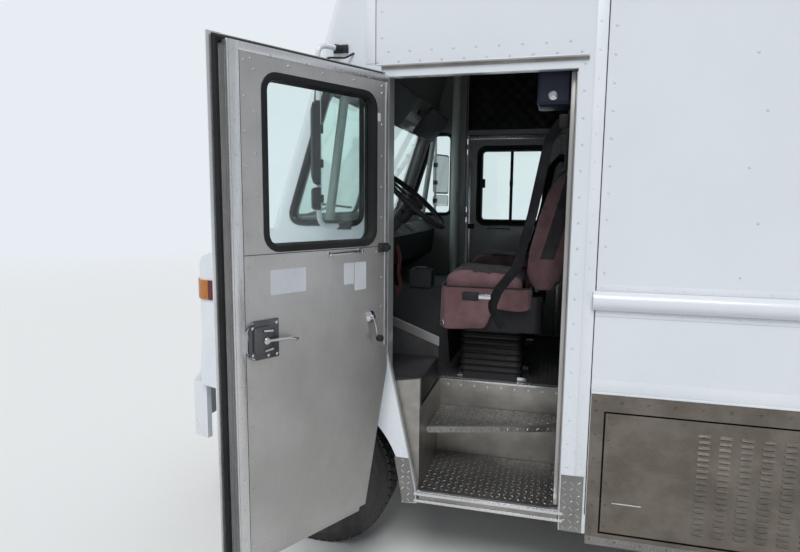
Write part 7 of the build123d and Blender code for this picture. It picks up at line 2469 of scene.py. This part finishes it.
@dataclass
class Kitchen:
    """Fronts, knobs, burners, hood filters and worktop edges of the kitchen."""

    cook_x: float = 0.560
    cook_z: float = 1.770
    counter_x: float = -0.700
    counter_z: float = 1.650

    def build(self) -> None:
        """Make the kitchen's pieces."""
        fronts, bright, dark = Form(), Form(), Form()
        cook = side_place(-1, -self.cook_x)
        for k in range(4):
            y = 2.62 + k * 0.68
            fronts.at = bright.at = dark.at = cook
            fronts.prism(moved(rounded(0.640, 0.560, 0.015), -y, 1.260), -SUNK, 0.020, 0.005)
            fronts.prism(moved(rounded(0.650, 0.130, 0.010), -y, 1.640), -SUNK, 0.016, 0.004)
            bright.handle((-y - 0.22, 1.500), (-y + 0.22, 1.500), 0.018, 0.050, 0.015, 0.009)
            for n in range(4):
                with dark.shifted((-y - 0.21 + n * 0.14, 1.640, 0.016)):
                    dark.lathe([(0.030, -SUNK), (0.030, 0.006), (0.022, 0.010), (0.020, 0.028),
                                (0.0, 0.030)], 20)
                    dark.box((-0.004, -0.019, 0.026), (0.004, 0.019, 0.034), 0.002)
        counter = side_place(1, self.counter_x)
        for k in range(5):
            y = 1.86 + k * 0.745
            fronts.at = bright.at = counter
            fronts.prism(moved(rounded(0.710, 0.640, 0.012), y, 1.270), -SUNK, 0.018, 0.004)
            bright.handle((y - 0.18, 1.540), (y + 0.18, 1.540), 0.016, 0.045, 0.015, 0.008)
        fronts.piece("kitchen_fronts", BODY, Wear.KITCHEN)
        bright.piece("kitchen_handles", BODY, Wear.CHROME)
        self.build_tops(dark)

    def build_tops(self, dark: Form) -> None:
        """Set burner grates and a griddle on the cooking line, and filters in the hood.

        Args:
            dark: the form that holds the knobs, for the grates to join.
        """
        dark.at = Matrix.Identity(4)
        top = self.cook_z
        for k in range(3):
            for x in (0.72, 0.98):
                y = 2.60 + k * 0.34
                for bar in range(4):
                    turn = math.pi / 4 * bar
                    dark.tube([(x + way * math.cos(turn), y + way * math.sin(turn), top + 0.018)
                               for way in (-0.11, 0.11)], 0.006, 6)
                with dark.shifted((x, y, top)):
                    dark.lathe([(0.045, -SUNK), (0.045, 0.008), (0.030, 0.014), (0.0, 0.014)], 20)
                    dark.bead(rounded(0.24, 0.24, 0.02),
                              [(0, 0.012), (0, 0.022), (-0.008, 0.022), (-0.008, 0.012)])
        dark.piece("burner_grates", BODY, Wear.CHASSIS)
        steel = Form()
        steel.box((0.600, 3.65, top - 0.001), (1.120, 4.65, top + 0.030), 0.006)
        for x0, x1 in ((0.600, 0.606), (1.114, 1.120)):
            steel.box((x0, 3.65, top + 0.02), (x1, 4.65, top + 0.090), 0.002)
        for y0 in (3.65, 4.644):
            steel.box((0.600, y0, top + 0.02), (1.120, y0 + 0.006, top + 0.090), 0.002)
        steel.box((self.cook_x - 0.012, 2.232, top - 0.040),
                  (self.cook_x + 0.002, 5.195, top + 0.003), 0.006)
        steel.box((self.counter_x - 0.002, 1.455, self.counter_z - 0.035),
                  (self.counter_x + 0.014, 5.195, self.counter_z + 0.003), 0.006)
        for k in range(4):
            y = 2.62 + k * 0.53
            steel.at = place((0.600, y, 2.600), (0, 1, 0), (-0.8, 0, -0.6))
            steel.prism(rounded(0.50, 0.40, 0.008), -SUNK, 0.012, 0.003)
            for slot in (n * 0.042 for n in range(9)):
                steel.box((-0.235, -0.18 + slot, 0.011), (0.235, -0.165 + slot, 0.018), 0.002)
            steel.at = Matrix.Identity(4)
        steel.piece("kitchen_steelwork", BODY, Wear.KITCHEN)


# Stage


@dataclass
class Stage:
    """Plain floor, soft light and the photograph's camera."""

    eye: Point = (3.775, 0.765, 1.849)
    yaw: float = 14.84
    pitch: float = 7.27
    roll: float = 0.52
    lens: float = 26.47
    floor_size: float = 120.0
    floor_fade: Flat = (9.0, 24.0)
    backdrop: Colour = (0.80, 0.85, 0.90)
    sky: float = 0.54
    # Name, the way to the lamp, strength and how wide it spreads in degrees
    lamps: tuple = (
        ("key", (0.75, 0.10, 0.95), 1.90, 25.0),
        ("front", (-0.15, -0.95, 0.50), 0.45, 60.0),
        ("kerb", (-0.90, 0.35, 0.60), 0.45, 60.0),
    )

    def build(self) -> None:
        """Make the floor, the lights, the world and the camera."""
        self.build_floor()
        self.build_world()
        self.build_lights()
        self.build_camera()
        bpy.context.scene.view_settings.view_transform = "Standard"

    def build_floor(self) -> None:
        """Lay a plain pale floor that keeps the truck's shadow."""
        form = Form()
        half = self.floor_size / 2
        form.skin([[(-half, -half, 0), (half, -half, 0)], [(-half, half, 0), (half, half, 0)]],
                  closed=False, caps=False)
        data = bpy.data.meshes.new("floor_stage")
        form.mesh.to_mesh(data)
        form.mesh.free()
        floor = bpy.data.objects.new("floor_stage", data)
        bpy.context.scene.collection.objects.link(floor)
        made = bpy.data.materials.new("pale_floor")
        made.use_nodes = True
        graph = Graph(made.node_tree)
        shader = made.node_tree.nodes["Principled BSDF"]
        spot = graph.node("ShaderNodeTexCoord").outputs["Object"]
        graph.feed(shader.inputs["Base Color"],
                   graph.mix(graph.noise(spot, 40.0), (0.72, 0.72, 0.715), (0.77, 0.77, 0.765)))
        shader.inputs["Roughness"].default_value = 0.9
        away = graph.node("ShaderNodeVectorMath", {"operation": "LENGTH"}, Vector=spot).outputs[1]
        glow = graph.node("ShaderNodeEmission", None, Color=self.backdrop, Strength=1.0)
        fade = graph.node("ShaderNodeMixShader", None, Fac=graph.ramp(away, *self.floor_fade))
        for index, shade in ((1, shader), (2, glow)):
            graph.tree.links.new(shade.outputs[0], fade.inputs[index])
        graph.tree.links.new(fade.outputs[0], graph.tree.nodes["Material Output"].inputs[0])
        data.materials.append(made)

    def build_world(self) -> None:
        """Light the scene from a plain sky that shows white behind the truck."""
        world = bpy.data.worlds.new("studio")
        bpy.context.scene.world = world
        world.use_nodes = True
        graph = Graph(world.node_tree)
        sky = world.node_tree.nodes["Background"]
        sky.inputs["Color"].default_value = (*self.backdrop, 1.0)
        path = graph.node("ShaderNodeLightPath")
        seen = graph.math("MAXIMUM", path.outputs["Is Camera Ray"],
                          path.outputs["Is Transmission Ray"])
        graph.feed(sky.inputs["Strength"], graph.ramp(seen, 0.0, 1.0, self.sky, 1.0))

    def build_lights(self) -> None:
        """Light the truck softly from above and both sides."""
        for name, way, power, spread in self.lamps:
            data = bpy.data.lights.new(name, "SUN")
            data.angle = math.radians(spread)
            data.energy = power
            lamp = bpy.data.objects.new(name, data)
            lamp.location = Vector(way) * 10
            lamp.rotation_euler = (-Vector(way)).to_track_quat("-Z", "Y").to_euler()
            bpy.context.scene.collection.objects.link(lamp)

    def build_camera(self) -> None:
        """Stand the camera where the photograph was taken from."""
        yaw, pitch, roll = (math.radians(a) for a in (self.yaw, self.pitch, self.roll))
        ahead = Vector((-math.cos(yaw) * math.cos(pitch), -math.sin(yaw) * math.cos(pitch),
                        -math.sin(pitch)))
        right = Vector((-math.sin(yaw), math.cos(yaw), 0))
        up = right.cross(ahead)
        level_right = right * math.cos(roll) + up * math.sin(roll)
        level_up = up * math.cos(roll) - right * math.sin(roll)
        data = bpy.data.cameras.new("camera")
        data.lens = self.lens
        data.sensor_width = 36.0
        data.clip_end = 500.0
        camera = bpy.data.objects.new("camera", data)
        turn = Matrix((level_right, level_up, -ahead)).transposed().to_4x4()
        turn.translation = Vector(self.eye) - Form.origin
        camera.matrix_world = turn
        bpy.context.scene.collection.objects.link(camera)
        bpy.context.scene.camera = camera


def main() -> None:
    """Build the truck's looks, piece by piece."""
    logging.basicConfig(level=logging.INFO, format="%(message)s")
    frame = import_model()
    roof_low, roof_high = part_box("roof")
    Form.origin = Vector((-(roof_low.x + roof_high.x) / 2, BODY_REAR - roof_high.y, 0))
    make_grain()
    make_grime()
    make_weave()
    dress_nodes(frame["nodes"])
    Stage().build()
    for hand in (1, -1):
        BodySide(hand).build()
        StepDress(hand).build()
    CabFace().build()
    driver = CabDoor(1, "driver_side_door", DOOR_ALONG, DOOR_OUTWARD, "driver_door")
    driver.build()
    kerb = CabDoor(-1, "passenger_side_door", (0, 1, 0), (-1, 0, 0), "kerb_door")
    kerb.build()
    SlidingWindow().build(kerb)
    Compartment().build()
    Nose().build()
    Mirrors().build()
    for hand, side in ((1, "left"), (-1, "right")):
        WheelSet(f"front_{side}", f"front_{side}_wheel", (hand * 0.885, -0.420, 0.405), hand,
                 (0.0,), (8, 0.100, 0.050, 0.017), (f"tyre_front_{side}",)).build()
        WheelSet(f"rear_{side}", f"rear_{side}_wheels", (hand * 0.8635, 4.100, 0.405), hand,
                 (0.1285, -0.1285), (8, 0.120, 0.012, 0.017), (f"tyres_rear_{side}",)).build()
    Seat(1, ("driver_seat_cushion", "driver_seat_back")).build()
    Seat(-1, ("passenger_seat",)).build()
    CabInside().build()
    RearEnd().build()
    Roof().build()
    Servery().build()
    Kitchen().build()


if __name__ == "__main__":
    main()
